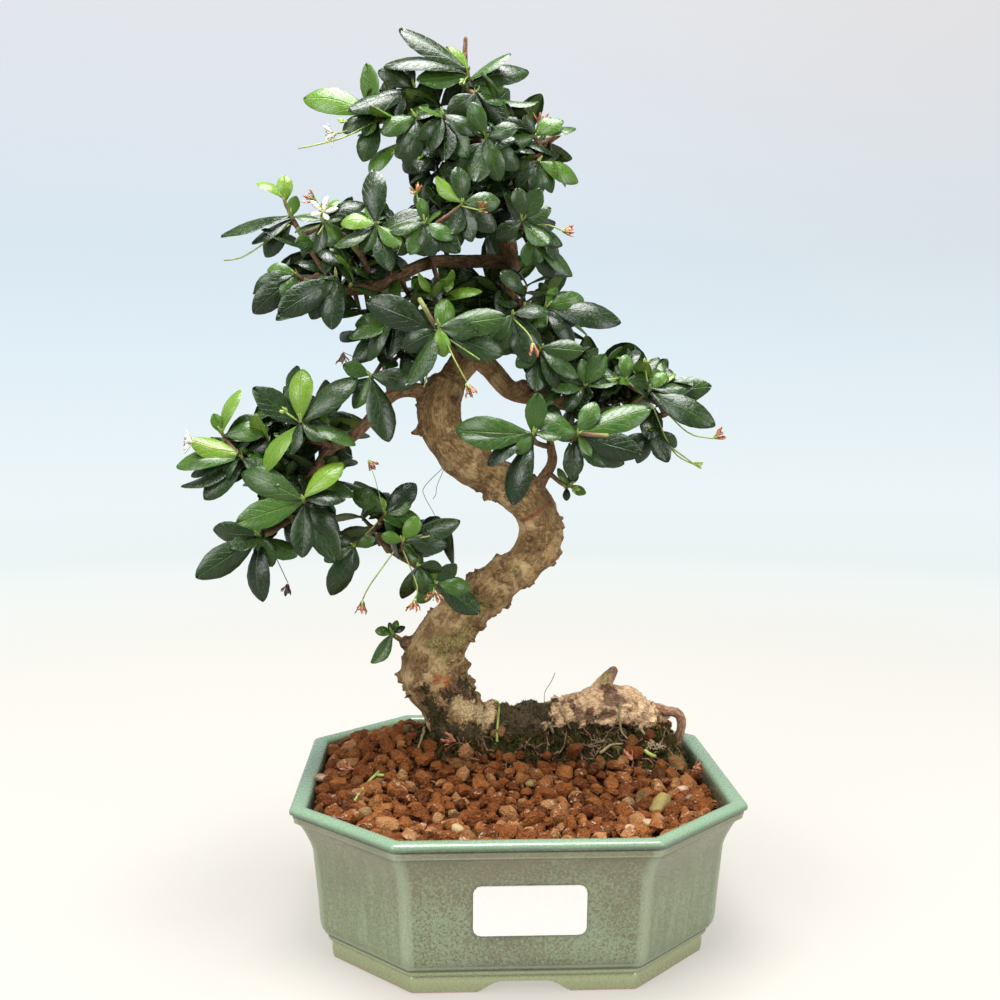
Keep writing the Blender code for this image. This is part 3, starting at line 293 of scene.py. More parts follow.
def evaluatedMesh(item):
    graph = bpy.context.evaluated_depsgraph_get()
    return bpy.data.meshes.new_from_object(item.evaluated_get(graph), preserve_all_data_layers=True,
                                           depsgraph=graph)


def appliedMesh(data, modifiers):
    # The mesh that a list of (kind, settings) modifiers makes of data
    item = bpy.data.objects.new("work", data)
    scene.collection.objects.link(item)
    for kind, settings in modifiers:
        modifier = item.modifiers.new(kind, kind)
        for key, value in settings.items():
            setattr(modifier, key, value)
    made = evaluatedMesh(item)
    bpy.data.objects.remove(item, do_unlink=True)
    return made


def smoothPath(points, step):
    # Points about a step apart on a smooth curve through points of any size
    rows = [Vector(p) for p in points]
    ends = [rows[0] * 2 - rows[1]] + rows + [rows[-1] * 2 - rows[-2]]
    path = []
    for i in range(len(rows) - 1):
        p0, p1, p2, p3 = ends[i:i + 4]
        count = max(1, round((p2 - p1).length / step))
        for k in range(count):
            t = k / count
            path.append(0.5 * (2 * p1 + (p2 - p0) * t + (2 * p0 - 5 * p1 + 4 * p2 - p3) * t * t
                               + (3 * p1 - p0 - 3 * p2 + p3) * t * t * t))
    path.append(rows[-1])
    return path


def pathFrames(spots):
    # A side and an up direction at each spot, carried along without twist
    frames = []
    side = None
    for i in range(len(spots)):
        ahead = (spots[min(i + 1, len(spots) - 1)] - spots[max(i - 1, 0)]).normalized()
        if side is None:
            side = ahead.orthogonal()
        side = (side - ahead * side.dot(ahead)).normalized()
        frames.append((side, ahead.cross(side), ahead))
    return frames


def addTube(builder, path, sides, **marks):
    # A round tube with pointed caps through (x, y, z, radius) rows
    spots = [Vector(row[:3]) for row in path]
    frames = pathFrames(spots)
    verts = [spots[0] - frames[0][2] * path[0][3] * 0.5]
    for spot, row, (side, up, _) in zip(spots, path, frames):
        for k in range(sides):
            angle = k * math.tau / sides
            verts.append(spot + (side * math.cos(angle) + up * math.sin(angle)) * row[3])
    verts.append(spots[-1] + frames[-1][2] * path[-1][3] * 0.6)
    last = len(verts) - 1
    faces = []
    for k in range(sides):
        n = (k + 1) % sides
        faces.append([0, 1 + n, 1 + k])
        faces.append([last, last - sides + k, last - sides + n])
        for i in range(len(spots) - 1):
            a = 1 + i * sides
            faces.append([a + k, a + n, a + n + sides, a + k + sides])
    builder.add(verts, faces, **marks)


# Scatter tree: puts one of several shapes on each point, at its own turn and size
def makeScatter():
    tree = bpy.data.node_groups.new("scatter", "GeometryNodeTree")
    face = tree.interface
    face.new_socket("Points", in_out="INPUT", socket_type="NodeSocketGeometry")
    face.new_socket("Shapes", in_out="INPUT", socket_type="NodeSocketCollection")
    face.new_socket("Size", in_out="INPUT", socket_type="NodeSocketFloat")
    face.new_socket("Jitter", in_out="INPUT", socket_type="NodeSocketFloat")
    face.new_socket("Seed", in_out="INPUT", socket_type="NodeSocketInt")
    face.new_socket("Finish", in_out="INPUT", socket_type="NodeSocketMaterial")
    face.new_socket("Pieces", in_out="OUTPUT", socket_type="NodeSocketGeometry")
    wiring = Wiring(tree)
    start = wiring.node("NodeGroupInput")
    end = wiring.node("NodeGroupOutput")
    shapes = wiring.node("GeometryNodeCollectionInfo", {"Collection": start.outputs["Shapes"],
                                                        "Separate Children": True, "Reset Children": True})
    turn = wiring.node("GeometryNodeInputNamedAttribute", {"Name": "turn"}, data_type="FLOAT_VECTOR")
    size = wiring.node("GeometryNodeInputNamedAttribute", {"Name": "size"}, data_type="FLOAT_VECTOR")
    kind = wiring.node("GeometryNodeInputNamedAttribute", {"Name": "kind"}, data_type="INT")
    rotation = wiring.node("FunctionNodeEulerToRotation", {0: turn.outputs[0]})
    low = wiring.math("SUBTRACT", 1.0, start.outputs["Jitter"])
    high = wiring.math("ADD", 1.0, start.outputs["Jitter"])
    spread = wiring.node("FunctionNodeRandomValue", {"Seed": start.outputs["Seed"]}, data_type="FLOAT")
    wiring.put(spread.inputs[2], low)
    wiring.put(spread.inputs[3], high)
    scale = wiring.math("MULTIPLY", start.outputs["Size"], spread.outputs[1])
    scaled = wiring.node("ShaderNodeVectorMath", {0: size.outputs[0], "Scale": scale}, operation="SCALE")
    copies = wiring.node("GeometryNodeInstanceOnPoints", {
        "Points": start.outputs["Points"], "Instance": shapes.outputs[0], "Pick Instance": True,
        "Instance Index": kind.outputs[0], "Rotation": rotation.outputs[0], "Scale": scaled.outputs[0]})
    real = wiring.node("GeometryNodeRealizeInstances", {0: copies.outputs[0]})
    finish = wiring.node("GeometryNodeSetMaterial", {"Geometry": real.outputs[0],
                                                     "Material": start.outputs["Finish"]})
    wiring.put(end.inputs[0], finish.outputs[0])
    return tree


scatterTree = makeScatter()


def shapeCollection(name, meshes):
    group = bpy.data.collections.new(name)
    for k, data in enumerate(meshes):
        group.objects.link(bpy.data.objects.new("%s_%02d" % (name, k), data))
    return group


def scatter(name, rows, shapes, material, seed, jitter=0.0, crease=75):
    # rows hold (place, (side, along, up), (width, length, height), kind, tint, shade)
    points = bpy.data.meshes.new(name)
    points.from_pydata([place(row[0]) for row in rows], [], [])
    turns = []
    for row in rows:
        turns += list(Matrix(row[1]).transposed().to_euler())
    for title, kind, values in (
            ("turn", "FLOAT_VECTOR", turns), ("size", "FLOAT_VECTOR", [s * mm for row in rows for s in row[2]]),
            ("kind", "INT", [row[3] for row in rows]), ("tint", "FLOAT", [row[4] for row in rows]),
            ("shade", "FLOAT", [row[5] for row in rows])):
        layer = points.attributes.new(title, kind, "POINT")
        layer.data.foreach_set("vector" if kind == "FLOAT_VECTOR" else "value", values)
    item = bpy.data.objects.new(name, points)
    scene.collection.objects.link(item)
    modifier = item.modifiers.new("Scatter", "NODES")
    modifier.node_group = scatterTree
    given = {"Shapes": shapes, "Size": 1.0, "Jitter": jitter, "Seed": seed, "Finish": material}
    for socket in scatterTree.interface.items_tree:
        if socket.in_out == "INPUT" and socket.name in given:
            modifier[socket.identifier] = given[socket.name]
    made = evaluatedMesh(item)
    bpy.data.objects.remove(item, do_unlink=True)
    made.name = name
    made.shade_smooth()
    made.set_sharp_from_angle(angle=math.radians(crease))
    return made


# Stage: a pale floor that sweeps up to a pale wall all round, open above
stageLooks = {
    "floorReach": 1300.0,
    "curve": 500.0,
    "height": 2200.0,
    "seen": 0.640,  # glow of the paper that the camera sees
    "thrown": (0.35, 0.04),  # glow that it throws on the tree, from the back and from the front
    "paint": 0.25,
    "stops": [(0.0, (0.79, 0.755, 0.69)), (0.25, (0.85, 0.835, 0.785)), (0.42, (0.92, 0.965, 0.945)),
              (0.62, (0.885, 0.965, 0.985)), (0.73, (0.80, 0.915, 0.99)), (0.80, (0.755, 0.865, 0.95)),
              (0.92, (0.83, 0.87, 0.93)), (1.0, (0.88, 0.90, 0.93))],
    "stopReach": 2600.0,  # where the last colour is, along the sweep
    "overhead": (47.0, 0.9, (-100.0, -120.0, 1450.0)),  # watts, metres across, place
    "fillLeft": (12.8, 0.8, (-900.0, -950.0, 800.0)),
    "fillRight": (11.0, 0.8, (1000.0, -900.0, 700.0)),
    "sky": ((0.98, 0.985, 1.0), 0.16),
    "rightShade": (1.0, 0.955, 0.92),  # painted shade: the paper is painted a little greyer on the right
}


def makeStage(looks):
    outline = [(r, 0.0) for r in range(0, int(looks["floorReach"]) + 1, 130)]
    for k in range(1, 13):
        angle = k / 12 * math.pi / 2
        outline.append((looks["floorReach"] + looks["curve"] * math.sin(angle),
                        looks["curve"] * (1 - math.cos(angle))))
    outline += [(looks["floorReach"] + looks["curve"], z) for z in range(700, int(looks["height"]) + 1, 250)]
    sides = 96
    verts = [(0.0, 0.0, 0.0)]
    reach = [0.0]
    front = [0.0]
    side = [0.0]
    along = 0.0
    for before, row in zip(outline[:-1], outline[1:]):
        along += math.dist(before, row)
        for k in range(sides):
            angle = k * math.tau / sides
            verts.append((row[0] * math.cos(angle), row[0] * math.sin(angle), row[1]))
            reach.append(along / looks["stopReach"])
            front.append(smoothStep((-verts[-1][1] - 150.0) / 800.0))
            side.append(smoothStep(verts[-1][0] / 1000.0) * smoothStep(row[1] / 600.0))
    faces = [[0, 1 + k, 1 + (k + 1) % sides] for k in range(sides)]
    for ring in range(len(outline) - 2):
        for k in range(sides):
            a = 1 + ring * sides + k
            b = 1 + ring * sides + (k + 1) % sides
            faces.append([a, a + sides, b + sides, b])
    builder = Builder("reach", "front", "side")
    builder.add(verts, faces, reach=reach, front=front, side=side)
    data = builder.mesh("studio_sweep", outward=False)
    material, wiring, shader = newMaterial("studio_paper")
    colour = wiring.ramp(wiring.attribute("reach"), looks["stops"])
    colour = wiring.mix(wiring.attribute("side"), colour, looks["rightShade"], "MULTIPLY")
    dimmed = wiring.mix(1.0, colour, (looks["paint"],) * 3, "MULTIPLY")
    wiring.put(shader.inputs["Base Color"], dimmed)
    back, near = looks["thrown"]
    thrown = wiring.mix(wiring.attribute("front"), (back,) * 3, (near,) * 3)
    thrown = wiring.mix(1.0, colour, thrown, "MULTIPLY")
    seen = wiring.mix(1.0, colour, (looks["seen"],) * 3, "MULTIPLY")
    watched = wiring.node("ShaderNodeLightPath").outputs["Is Camera Ray"]
    wiring.put(shader.inputs["Emission Color"], wiring.mix(watched, thrown, seen))
    shader.inputs["Emission Strength"].default_value = 1.0
    material.cycles.emission_sampling = "NONE"
    shader.inputs["Roughness"].default_value = 0.9
    shader.inputs["Specular IOR Level"].default_value = 0.0
    data.materials.append(material)
    sweep = bpy.data.objects.new("studio_sweep", data)
    scene.collection.objects.link(sweep)
    for name in ("overhead", "fillLeft", "fillRight"):
        power, size, spot = looks[name]
        lamp = bpy.data.lights.new(name, "AREA")
        lamp.energy = power
        lamp.size = size
        light = bpy.data.objects.new(name, lamp)
        scene.collection.objects.link(light)
        light.location = place(spot)
        light.rotation_euler = (place((0, 0, 180)) - light.location).to_track_quat("-Z", "Y").to_euler()
    world = bpy.data.worlds.new("studio_sky")
    world.use_nodes = True
    sky = world.node_tree.nodes["Background"]
    colour, strength = looks["sky"]
    sky.inputs[0].default_value = (*colour, 1.0)
    sky.inputs[1].default_value = strength
    scene.world = world
    scene.view_settings.view_transform = "Standard"


makeStage(stageLooks)
print("stage made")


# Pot
potShape = {
    "rimHalf": 92.5,
    "rimEdge": 50.2,
    "cornerRadius": 3.4,
    "cornerSteps": 6,
    "highlightEdge": (1.2, 2.9, 8.0),  # how far from a corner the painted highlight on the pale edge fades out
    "floorTop": 12.0,
    "floorUnder": 5.0,
    "footRing": 8.0,
    "drainRadius": 7.0,
    "drainX": 30.0,
    "arch": [(19.5, -1.0), (17.8, 0.4), (15.6, 1.6), (13.4, 3.1), (11.2, 4.2), (9.0, 4.7)],
    "waver": 0.18,
    # (inset from the rim's outline, height), up the outside and down the inside
    "outside": [(17.6, 0.0), (16.9, 0.3), (16.6, 1.4), (16.35, 3.4), (16.3, 5.4), (16.7, 6.2), (16.9, 6.7),
                (16.3, 7.1), (15.5, 7.5), (14.9, 8.4), (14.75, 9.3), (14.9, 9.9), (14.0, 10.5),
                (13.5, 11.1), (13.3, 11.7), (12.9, 12.2), (12.3, 13.2), (11.7, 15.6), (11.3, 19.0),
                (11.0, 24.0), (10.0, 35.0), (9.0, 46.5), (8.0, 49.6), (6.9, 52.0), (5.7, 54.5),
                (4.6, 56.4), (3.4, 57.6), (2.3, 58.3), (1.75, 58.6), (1.9, 59.1), (1.55, 59.9),
                (1.3, 60.9), (1.5, 61.4), (0.9, 61.8), (0.2, 62.2), (0.0, 63.0), (0.2, 63.9), (0.9, 64.6),
                (2.2, 65.0)],
    "inside": [(3.8, 65.0), (5.4, 64.7), (6.5, 64.1), (7.1, 63.2), (7.8, 61.0), (8.4, 57.5), (9.0, 54.0),
               (11.2, 50.4), (14.5, 46.0), (15.9, 35.0), (17.0, 24.0), (18.0, 14.0), (19.0, 12.0)],
}


def octagonCorners(inset):
    wide = potShape["rimHalf"] - inset
    edge = potShape["rimEdge"] - inset * math.tan(math.radians(22.5))
    return [Vector(c) for c in ((wide, -edge), (wide, edge), (edge, wide), (-edge, wide),
                                (-wide, edge), (-wide, -edge), (-edge, -wide), (edge, -wide))]


def potRing(inset, z, radius):
    # One level of the pot: rounded corners, with how close each point is to a corner, which sets the painted highlight
    # on the arrises
    corners = octagonCorners(inset)
    reach = radius * math.tan(math.radians(22.5))
    steps = potShape["cornerSteps"]
    ring = []
    for k, corner in enumerate(corners):
        before = (corners[k - 1] - corner).normalized()
        after = (corners[(k + 1) % 8] - corner).normalized()
        for i in range(steps + 1):
            t = i / steps
            spot = corner + before * (reach * (1 - t) ** 2) + after * (reach * t * t)
            ring.append((spot, 1.0 - 0.35 * abs(2 * t - 1)))
        length = (corners[(k + 1) % 8] - corner).length - 2 * reach
        near, fade, clear = potShape["highlightEdge"]
        clear = min(clear, 0.2 * length)
        offs = [near, fade, clear] + [length * s for s in (0.28, 0.39, 0.5, 0.61, 0.72)]
        offs += [length - clear, length - fade, length - near]
        for off in offs:
            close = 1 - smoothStep((min(off, length - off) - 0.8) / (fade - 0.8))
            ring.append((corner + after * (reach + off), 0.6 * close))
    return [((*spot, z), mark) for spot, mark in ring]


def waver(point, size, height):
    at = Vector(point)
    return noise.noise_vector(at / size) * height


def makePotMesh():
    profile = [(Vector(row), potShape["cornerRadius"]) for row in potShape["outside"]]
    profile += [(Vector(row), 2.2) for row in potShape["inside"]]
    verts = []
    edge = []
    inner = []
    split = len(potShape["outside"])
    for index, (row, radius) in enumerate(profile):
        for point, mark in potRing(row.x, row.y, radius):
            spread = waver(point, 26.0, potShape["waver"]) + waver(point, 9.0, potShape["waver"] * 0.35)
            spread.z *= 0.6 if 2.0 < row.y < 64.8 else 0.0
            verts.append(Vector(point) + spread)
            edge.append(mark)
            inner.append(smoothStep((index - split - 1) / 4))
    count = len(verts) // len(profile)
    faces = [list(range(count)), list(range(len(verts) - count, len(verts)))]
    for row in range(len(profile) - 1):
        for k in range(count):
            a = row * count + k
            b = row * count + (k + 1) % count
            faces.append([a, b, b + count, a + count])
    builder = Builder("edge", "inner")
    builder.add(verts, faces, edge=edge, inner=inner)
    return builder.mesh("pot_glazed")


def cutterObject(name, loops):
    count = len(loops[0])
    verts = [v for loop in loops for v in loop]
    faces = [list(range(count)), list(range(len(verts) - count, len(verts)))]
    for row in range(len(loops) - 1):
        for k in range(count):
            a = row * count + k
            b = row * count + (k + 1) % count
            faces.append([a, b, b + count, a + count])
    builder = Builder()
    builder.add(verts, faces)
    item = bpy.data.objects.new(name, builder.mesh(name))
    scene.collection.objects.link(item)
    return item


def potCutters():
    foot = potShape["outside"][0][0] + potShape["footRing"]
    under = potShape["floorUnder"]
    recess = [[(*c, z) for c in octagonCorners(inset)] for inset, z in ((foot, -1.0), (foot + 1.0, under))]
    items = [cutterObject("recess", recess)]
    near = potShape["rimHalf"] - foot - 2.0
    for side in range(4):
        c, s = round(math.cos(side * math.pi / 2)), round(math.sin(side * math.pi / 2))
        loops = []
        for half, z in potShape["arch"]:
            spots = ((-half, -potShape["rimHalf"]), (half, -potShape["rimHalf"]), (half, -near), (-half, -near))
            loops.append([(x * c - y * s, x * s + y * c, z) for x, y in spots])
        items.append(cutterObject("arch_%d" % side, loops))
    for side in (-1, 1):
        ring = []
        for k in range(32):
            angle = k * math.tau / 32
            ring.append((side * potShape["drainX"] + potShape["drainRadius"] * math.cos(angle),
                         potShape["drainRadius"] * math.sin(angle)))
        items.append(cutterObject("drain_%d" % side, [[(*p, z) for p in ring] for z in (3.0, 14.0)]))
    return items


def makeGlaze():
    material, wiring, shader = newMaterial("celadon_glaze")
    at = wiring.position()
    height = wiring.part(at, 2)
    facing = wiring.node("ShaderNodeNewGeometry").outputs["Normal"]
    edge = wiring.attribute("edge")
    inner = wiring.attribute("inner")
    # Mottle: green flecks on taupe on the long faces, smoother and greener on the corner faces
    coarse = wiring.group(patches, {"Vector": at, "Scale": 1050.0, "Level": 0.50, "Softness": 0.07})
    fine = wiring.group(patches, {"Vector": at, "Scale": 2300.0, "Level": 0.50, "Softness": 0.10})
    cloud = wiring.group(patches, {"Vector": at, "Scale": 34.0, "Level": 0.50, "Softness": 0.16})
    long = wiring.node("ShaderNodeMapping", {"Vector": at, "Scale": (1.0, 1.0, 0.12)}).outputs[0]
    streak = wiring.group(patches, {"Vector": long, "Scale": 330.0, "Level": 0.50, "Softness": 0.20})
    green = wiring.mix(fine.outputs[0], (0.212, 0.278, 0.166), (0.306, 0.366, 0.228))
    brown = wiring.mix(fine.outputs[0], (0.100, 0.098, 0.056), (0.215, 0.174, 0.104))
    under = wiring.band(height, 0.026, 0.058)
    fleck = wiring.math("ADD", wiring.math("MULTIPLY", coarse.outputs[1], 0.62),
                        wiring.math("MULTIPLY", fine.outputs[1], 0.38))
    level = wiring.band(height, 0.015, 0.058, 0.515, 0.470)
    level = wiring.math("ADD", level, wiring.math("MULTIPLY", wiring.math("SUBTRACT", cloud.outputs[1], 0.5), -0.22))
    fleck = wiring.band(wiring.math("SUBTRACT", fleck, level), -0.045, 0.045)
    body = wiring.mix(wiring.math("MULTIPLY", fleck, 0.9), green, brown)
    x, y = wiring.part(facing, 0), wiring.part(facing, 1)
    corner = wiring.band(wiring.math("MULTIPLY", wiring.math("ABSOLUTE", x), wiring.math("ABSOLUTE", y)),
                         0.25, 0.42)
    smooth = wiring.mix(streak.outputs[0], (0.205, 0.275, 0.145), (0.295, 0.360, 0.205))
    smooth = wiring.mix(wiring.math("MULTIPLY", fleck, 0.55), smooth, brown)
    body = wiring.mix(wiring.math("MULTIPLY", corner, 0.8), body, smooth)
    body = wiring.mix(wiring.math("MULTIPLY", cloud.outputs[0], 0.12), body, (0.200, 0.240, 0.150))
    # Browner just under the rim, lighter towards the foot
    body = wiring.mix(wiring.math("MULTIPLY", under, 0.30), body, (0.285, 0.235, 0.155))
    # Painted highlight: the rounded corners are painted a paler mint along the arrises
    highlightMint = wiring.mix(fine.outputs[0], (0.300, 0.350, 0.225), (0.400, 0.450, 0.310))
    celadon = wiring.mix(fine.outputs[0], (0.300, 0.330, 0.170), (0.400, 0.425, 0.235))
    pale = wiring.mix(wiring.band(edge, 0.20, 0.85, 0.0, 0.80), body, highlightMint)
    foot = wiring.band(height, 0.0105, 0.0085)
    pale = wiring.mix(foot, pale, celadon)
    # Painted highlights: pale lines on the ridges over the foot and along the rim
    for level, width, share in ((0.0078, 0.0009, 0.6), (0.0116, 0.0008, 0.6), (0.0586, 0.0007, 0.45)):
        off = wiring.math("ABSOLUTE", wiring.math("SUBTRACT", height, level))
        pale = wiring.mix(wiring.band(off, width, width * 0.3, 0.0, share), pale, highlightMint)
    # Painted shade: dark lines in the grooves over the foot and on the rim's lip
    for level, width, share in ((0.0097, 0.0007, 0.7), (0.0614, 0.0006, 0.75)):
        off = wiring.math("ABSOLUTE", wiring.math("SUBTRACT", height, level))
        pale = wiring.mix(wiring.band(off, width, width * 0.3, 0.0, share), pale, (0.045, 0.08, 0.05))
    rim = wiring.band(height, 0.0615, 0.0625)
    roll = wiring.mix(fleck, (0.190, 0.255, 0.165), (0.100, 0.130, 0.080))
    rimTone = wiring.mix(fine.outputs[0], (0.134, 0.222, 0.133), (0.205, 0.303, 0.190))
    rimTone = wiring.mix(wiring.math("MULTIPLY", cloud.outputs[0], 0.35), rimTone, (0.150, 0.230, 0.150))
    rimTone = wiring.mix(wiring.band(height, 0.0622, 0.0640), roll, rimTone)
    pale = wiring.mix(rim, pale, rimTone)
    # Painted shade: the inside wall darkens down into the pot
    insideShade = wiring.mix(fine.outputs[0], (0.019, 0.026, 0.014), (0.036, 0.046, 0.026))
    pale = wiring.mix(inner, pale, insideShade)
    bare = wiring.band(height, 0.0011, 0.0004)
    clay = wiring.mix(fine.outputs[0], (0.42, 0.24, 0.17), (0.55, 0.36, 0.27))
    colour = wiring.mix(bare, pale, clay)
    pits = wiring.group(dots, {"Vector": at, "Scale": 420.0, "Size": 0.14, "Amount": 0.10})
    colour = wiring.mix(wiring.math("MULTIPLY", pits.outputs[0], 0.6), colour, (0.05, 0.06, 0.05))
    wiring.put(shader.inputs["Base Color"], colour)
    rough = wiring.band(coarse.outputs[0], 0.0, 1.0, 0.24, 0.38)
    wiring.put(shader.inputs["Roughness"], wiring.math("MAXIMUM", rough, wiring.math("MULTIPLY", bare, 0.85)))
    shader.inputs["Coat Weight"].default_value = 0.35
    shader.inputs["Coat Roughness"].default_value = 0.12
    relief = wiring.math("ADD", wiring.math("MULTIPLY", coarse.outputs[1], 0.6),
                         wiring.math("MULTIPLY", cloud.outputs[1], 1.5))
    addBump(wiring, shader, relief, 0.00022, 0.5)
    return material


def makePot():
    rough = bpy.data.objects.new("pot_work", makePotMesh())
    scene.collection.objects.link(rough)
    cutters = potCutters()
    for cutter in cutters:
        modifier = rough.modifiers.new(cutter.name, "BOOLEAN")
        modifier.operation = "DIFFERENCE"
        modifier.solver = "EXACT"
        modifier.object = cutter
    data = evaluatedMesh(rough)
    for item in cutters + [rough]:
        bpy.data.objects.remove(item, do_unlink=True)
    data.shade_smooth()
    data.set_sharp_from_angle(angle=math.radians(50))
    data.name = "pot_glazed"
    addPiece("pot_glazed", data, makeGlaze(), "glaze", "pot")


makePot()
print("pot made")


# Label and drainage net keep their CAD shape
def makePaper():
    material, wiring, shader = newMaterial("blank_paper")
    at = wiring.position()
    fibre = wiring.group(patches, {"Vector": at, "Scale": 900.0, "Level": 0.5, "Softness": 0.25})
    stain = wiring.group(patches, {"Vector": at, "Scale": 60.0, "Level": 0.56, "Softness": 0.2})
    white = wiring.mix(fibre.outputs[0], (0.93, 0.885, 0.85), (0.96, 0.92, 0.885))
    wiring.put(shader.inputs["Base Color"], wiring.mix(wiring.math("MULTIPLY", stain.outputs[0], 0.25), white,
                                                       (0.92, 0.885, 0.84)))
    wiring.put(shader.inputs["Roughness"], wiring.band(fibre.outputs[0], 0.0, 1.0, 0.32, 0.44))
    addBump(wiring, shader, fibre.outputs[1], 0.00005, 0.4)
    return material


def makeNetPlastic():
    material, wiring, shader = newMaterial("net_plastic")
    at = wiring.position()
    scuff = wiring.group(patches, {"Vector": at, "Scale": 700.0, "Level": 0.55, "Softness": 0.15})
    wiring.put(shader.inputs["Base Color"], wiring.mix(scuff.outputs[0], (0.02, 0.021, 0.02), (0.09, 0.075, 0.06)))
    wiring.put(shader.inputs["Roughness"], wiring.band(scuff.outputs[0], 0.0, 1.0, 0.35, 0.7))
    addBump(wiring, shader, scuff.outputs[1], 0.0001, 0.5)
    return material


def dressNode(name, material):
    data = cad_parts[name].data
    data.materials.clear()
    data.materials.append(material)


dressNode("label", makePaper())
netPlastic = makeNetPlastic()
for name in ("drain_net_left", "drain_net_right"):
    dressNode(name, netPlastic)


# Wood: runs of (x, y, z, radius)
trunkLine = [
    (-18, 24, 44, 16.0), (-19, 24, 60, 16.0), (-22.6, 23, 76, 14.4), (-28.4, 22, 90, 13.4),
    (-35, 21, 102, 14.6), (-34.5, 20, 113, 13.0), (-28, 18, 124, 11.2), (-18, 16, 135, 10.2),
    (-6, 14, 146, 9.4), (6, 12, 155, 9.0), (12, 11, 165, 9.0), (11, 10, 176, 9.1),
    (3, 9, 186, 9.6), (-10, 8, 194, 9.0), (-23, 8, 202, 9.5), (-31, 8, 213, 9.2),
    (-33, 8, 224, 9.4), (-29, 9, 235, 7.6)]
leaderLine = [
    (-31, 8.5, 229, 6.0), (-24, 10, 241, 6.2), (-17, 10, 251, 5.6), (-9, 10, 263, 5.0),
    (-3, 10, 274, 4.2), (-2, 10, 287, 3.7), (-4, 9, 300, 3.4), (-7, 8, 314, 3.0),
    (-11, 7, 330, 2.5), (-15, 6, 344, 2.1), (-19, 4, 357, 1.7), (-22, 4, 366, 1.4), (-22, 4, 380, 1.1)]
rootLine = [
    (-18, 23, 79, 9.0), (2, 22, 79, 8.4), (22, 24, 81, 8.2), (41, 26, 86, 9.6),
    (56, 29, 83, 9.8), (66, 32, 74, 7.6), (71, 34, 64, 5.0), (72, 35, 54, 3.6)]
rootStubLine = [(40, 25, 89, 5.6), (44, 25, 97, 3.9), (48.5, 25, 103.6, 2.0)]
curledRootLine = [
    (66, 30, 80, 1.8), (68.8, 29.5, 84.2, 1.9), (74, 29.5, 82, 2.3), (78.5, 30, 81.4, 2.4),
    (81, 30.5, 78, 2.4), (81, 31, 73, 2.2), (79.6, 32, 67, 2.4), (77.5, 33, 56, 2.6)]
upperLeftLine = [
    (-2, 10, 287, 3.2), (-20, 10, 287, 3.0), (-37, 8, 286, 2.9), (-50, 4, 280, 2.7),
    (-60, 0, 275, 2.6), (-73, -4, 273, 2.0), (-82, -6, 280, 1.6)]
leftLine = [
    (-31, 8, 226, 5.2), (-43, 6, 231, 3.5), (-53, 4, 229, 3.0), (-63, 0, 218, 2.7),
    (-71, -4, 210, 2.5), (-79, -6, 206, 2.4), (-87, -8, 194, 2.2), (-92, -8, 184, 1.8), (-97, -9, 175, 1.4)]
lowLeftLine = [
    (-27, 18, 126, 5.0), (-29, 16, 137, 3.4), (-35, 12, 148, 2.7), (-43, 8, 155, 2.5),
    (-51, 4, 160, 2.2), (-57, 1, 165, 1.8), (-60, -1, 171, 1.3)]
rightLine = [
    (-19, 10, 249, 4.6), (-10, 8, 240, 4.6), (-3, 6, 232, 4.3), (9, 4, 228, 3.7),
    (24, 2, 225, 3.0), (37, 0, 221, 2.6), (48, -2, 219, 2.2), (60, -3, 220, 1.7), (69, -3, 223, 1.2)]
branchStubLine = [(-2, 5, 231, 3.6), (2, 1, 232, 3.5), (4, -2, 233, 3.4)]
twigRightLine = [
    (8, 9, 183, 4.6), (12, 4, 192, 2.7), (16, 0, 200, 2.4), (15, -5, 207, 1.9), (14, -9, 211, 1.5)]
topStubLine = [(-11, 7, 330, 2.2), (-2, 4, 331, 1.9), (7, 2, 333, 1.8), (18, 0, 340, 1.5)]
sproutStubLine = [(-38, 19, 112, 5.0), (-45, 18, 117, 3.2), (-49, 17, 119, 2.2)]
limbs = {
    "trunk": (trunkLine, 8.5, 12),
    "leader": (leaderLine, 12.0, 8),
    "root": (rootLine, 9.0, 10),
    "root_stub": (rootStubLine, 7.0, 8),
    "curled_root": (curledRootLine, 5.0, 6),
    "branch_upper_left": (upperLeftLine, 13.0, 6),
    "branch_left": (leftLine, 11.0, 6),
    "branch_low_left": (lowLeftLine, 9.0, 6),
    "branch_right": (rightLine, 12.0, 6),
    "branch_stub": (branchStubLine, 7.0, 8),
    "twig_right": (twigRightLine, 9.0, 6),
    "top_stub": (topStubLine, 9.0, 6),
    "sprout_stub": (sproutStubLine, 8.0, 6),
}
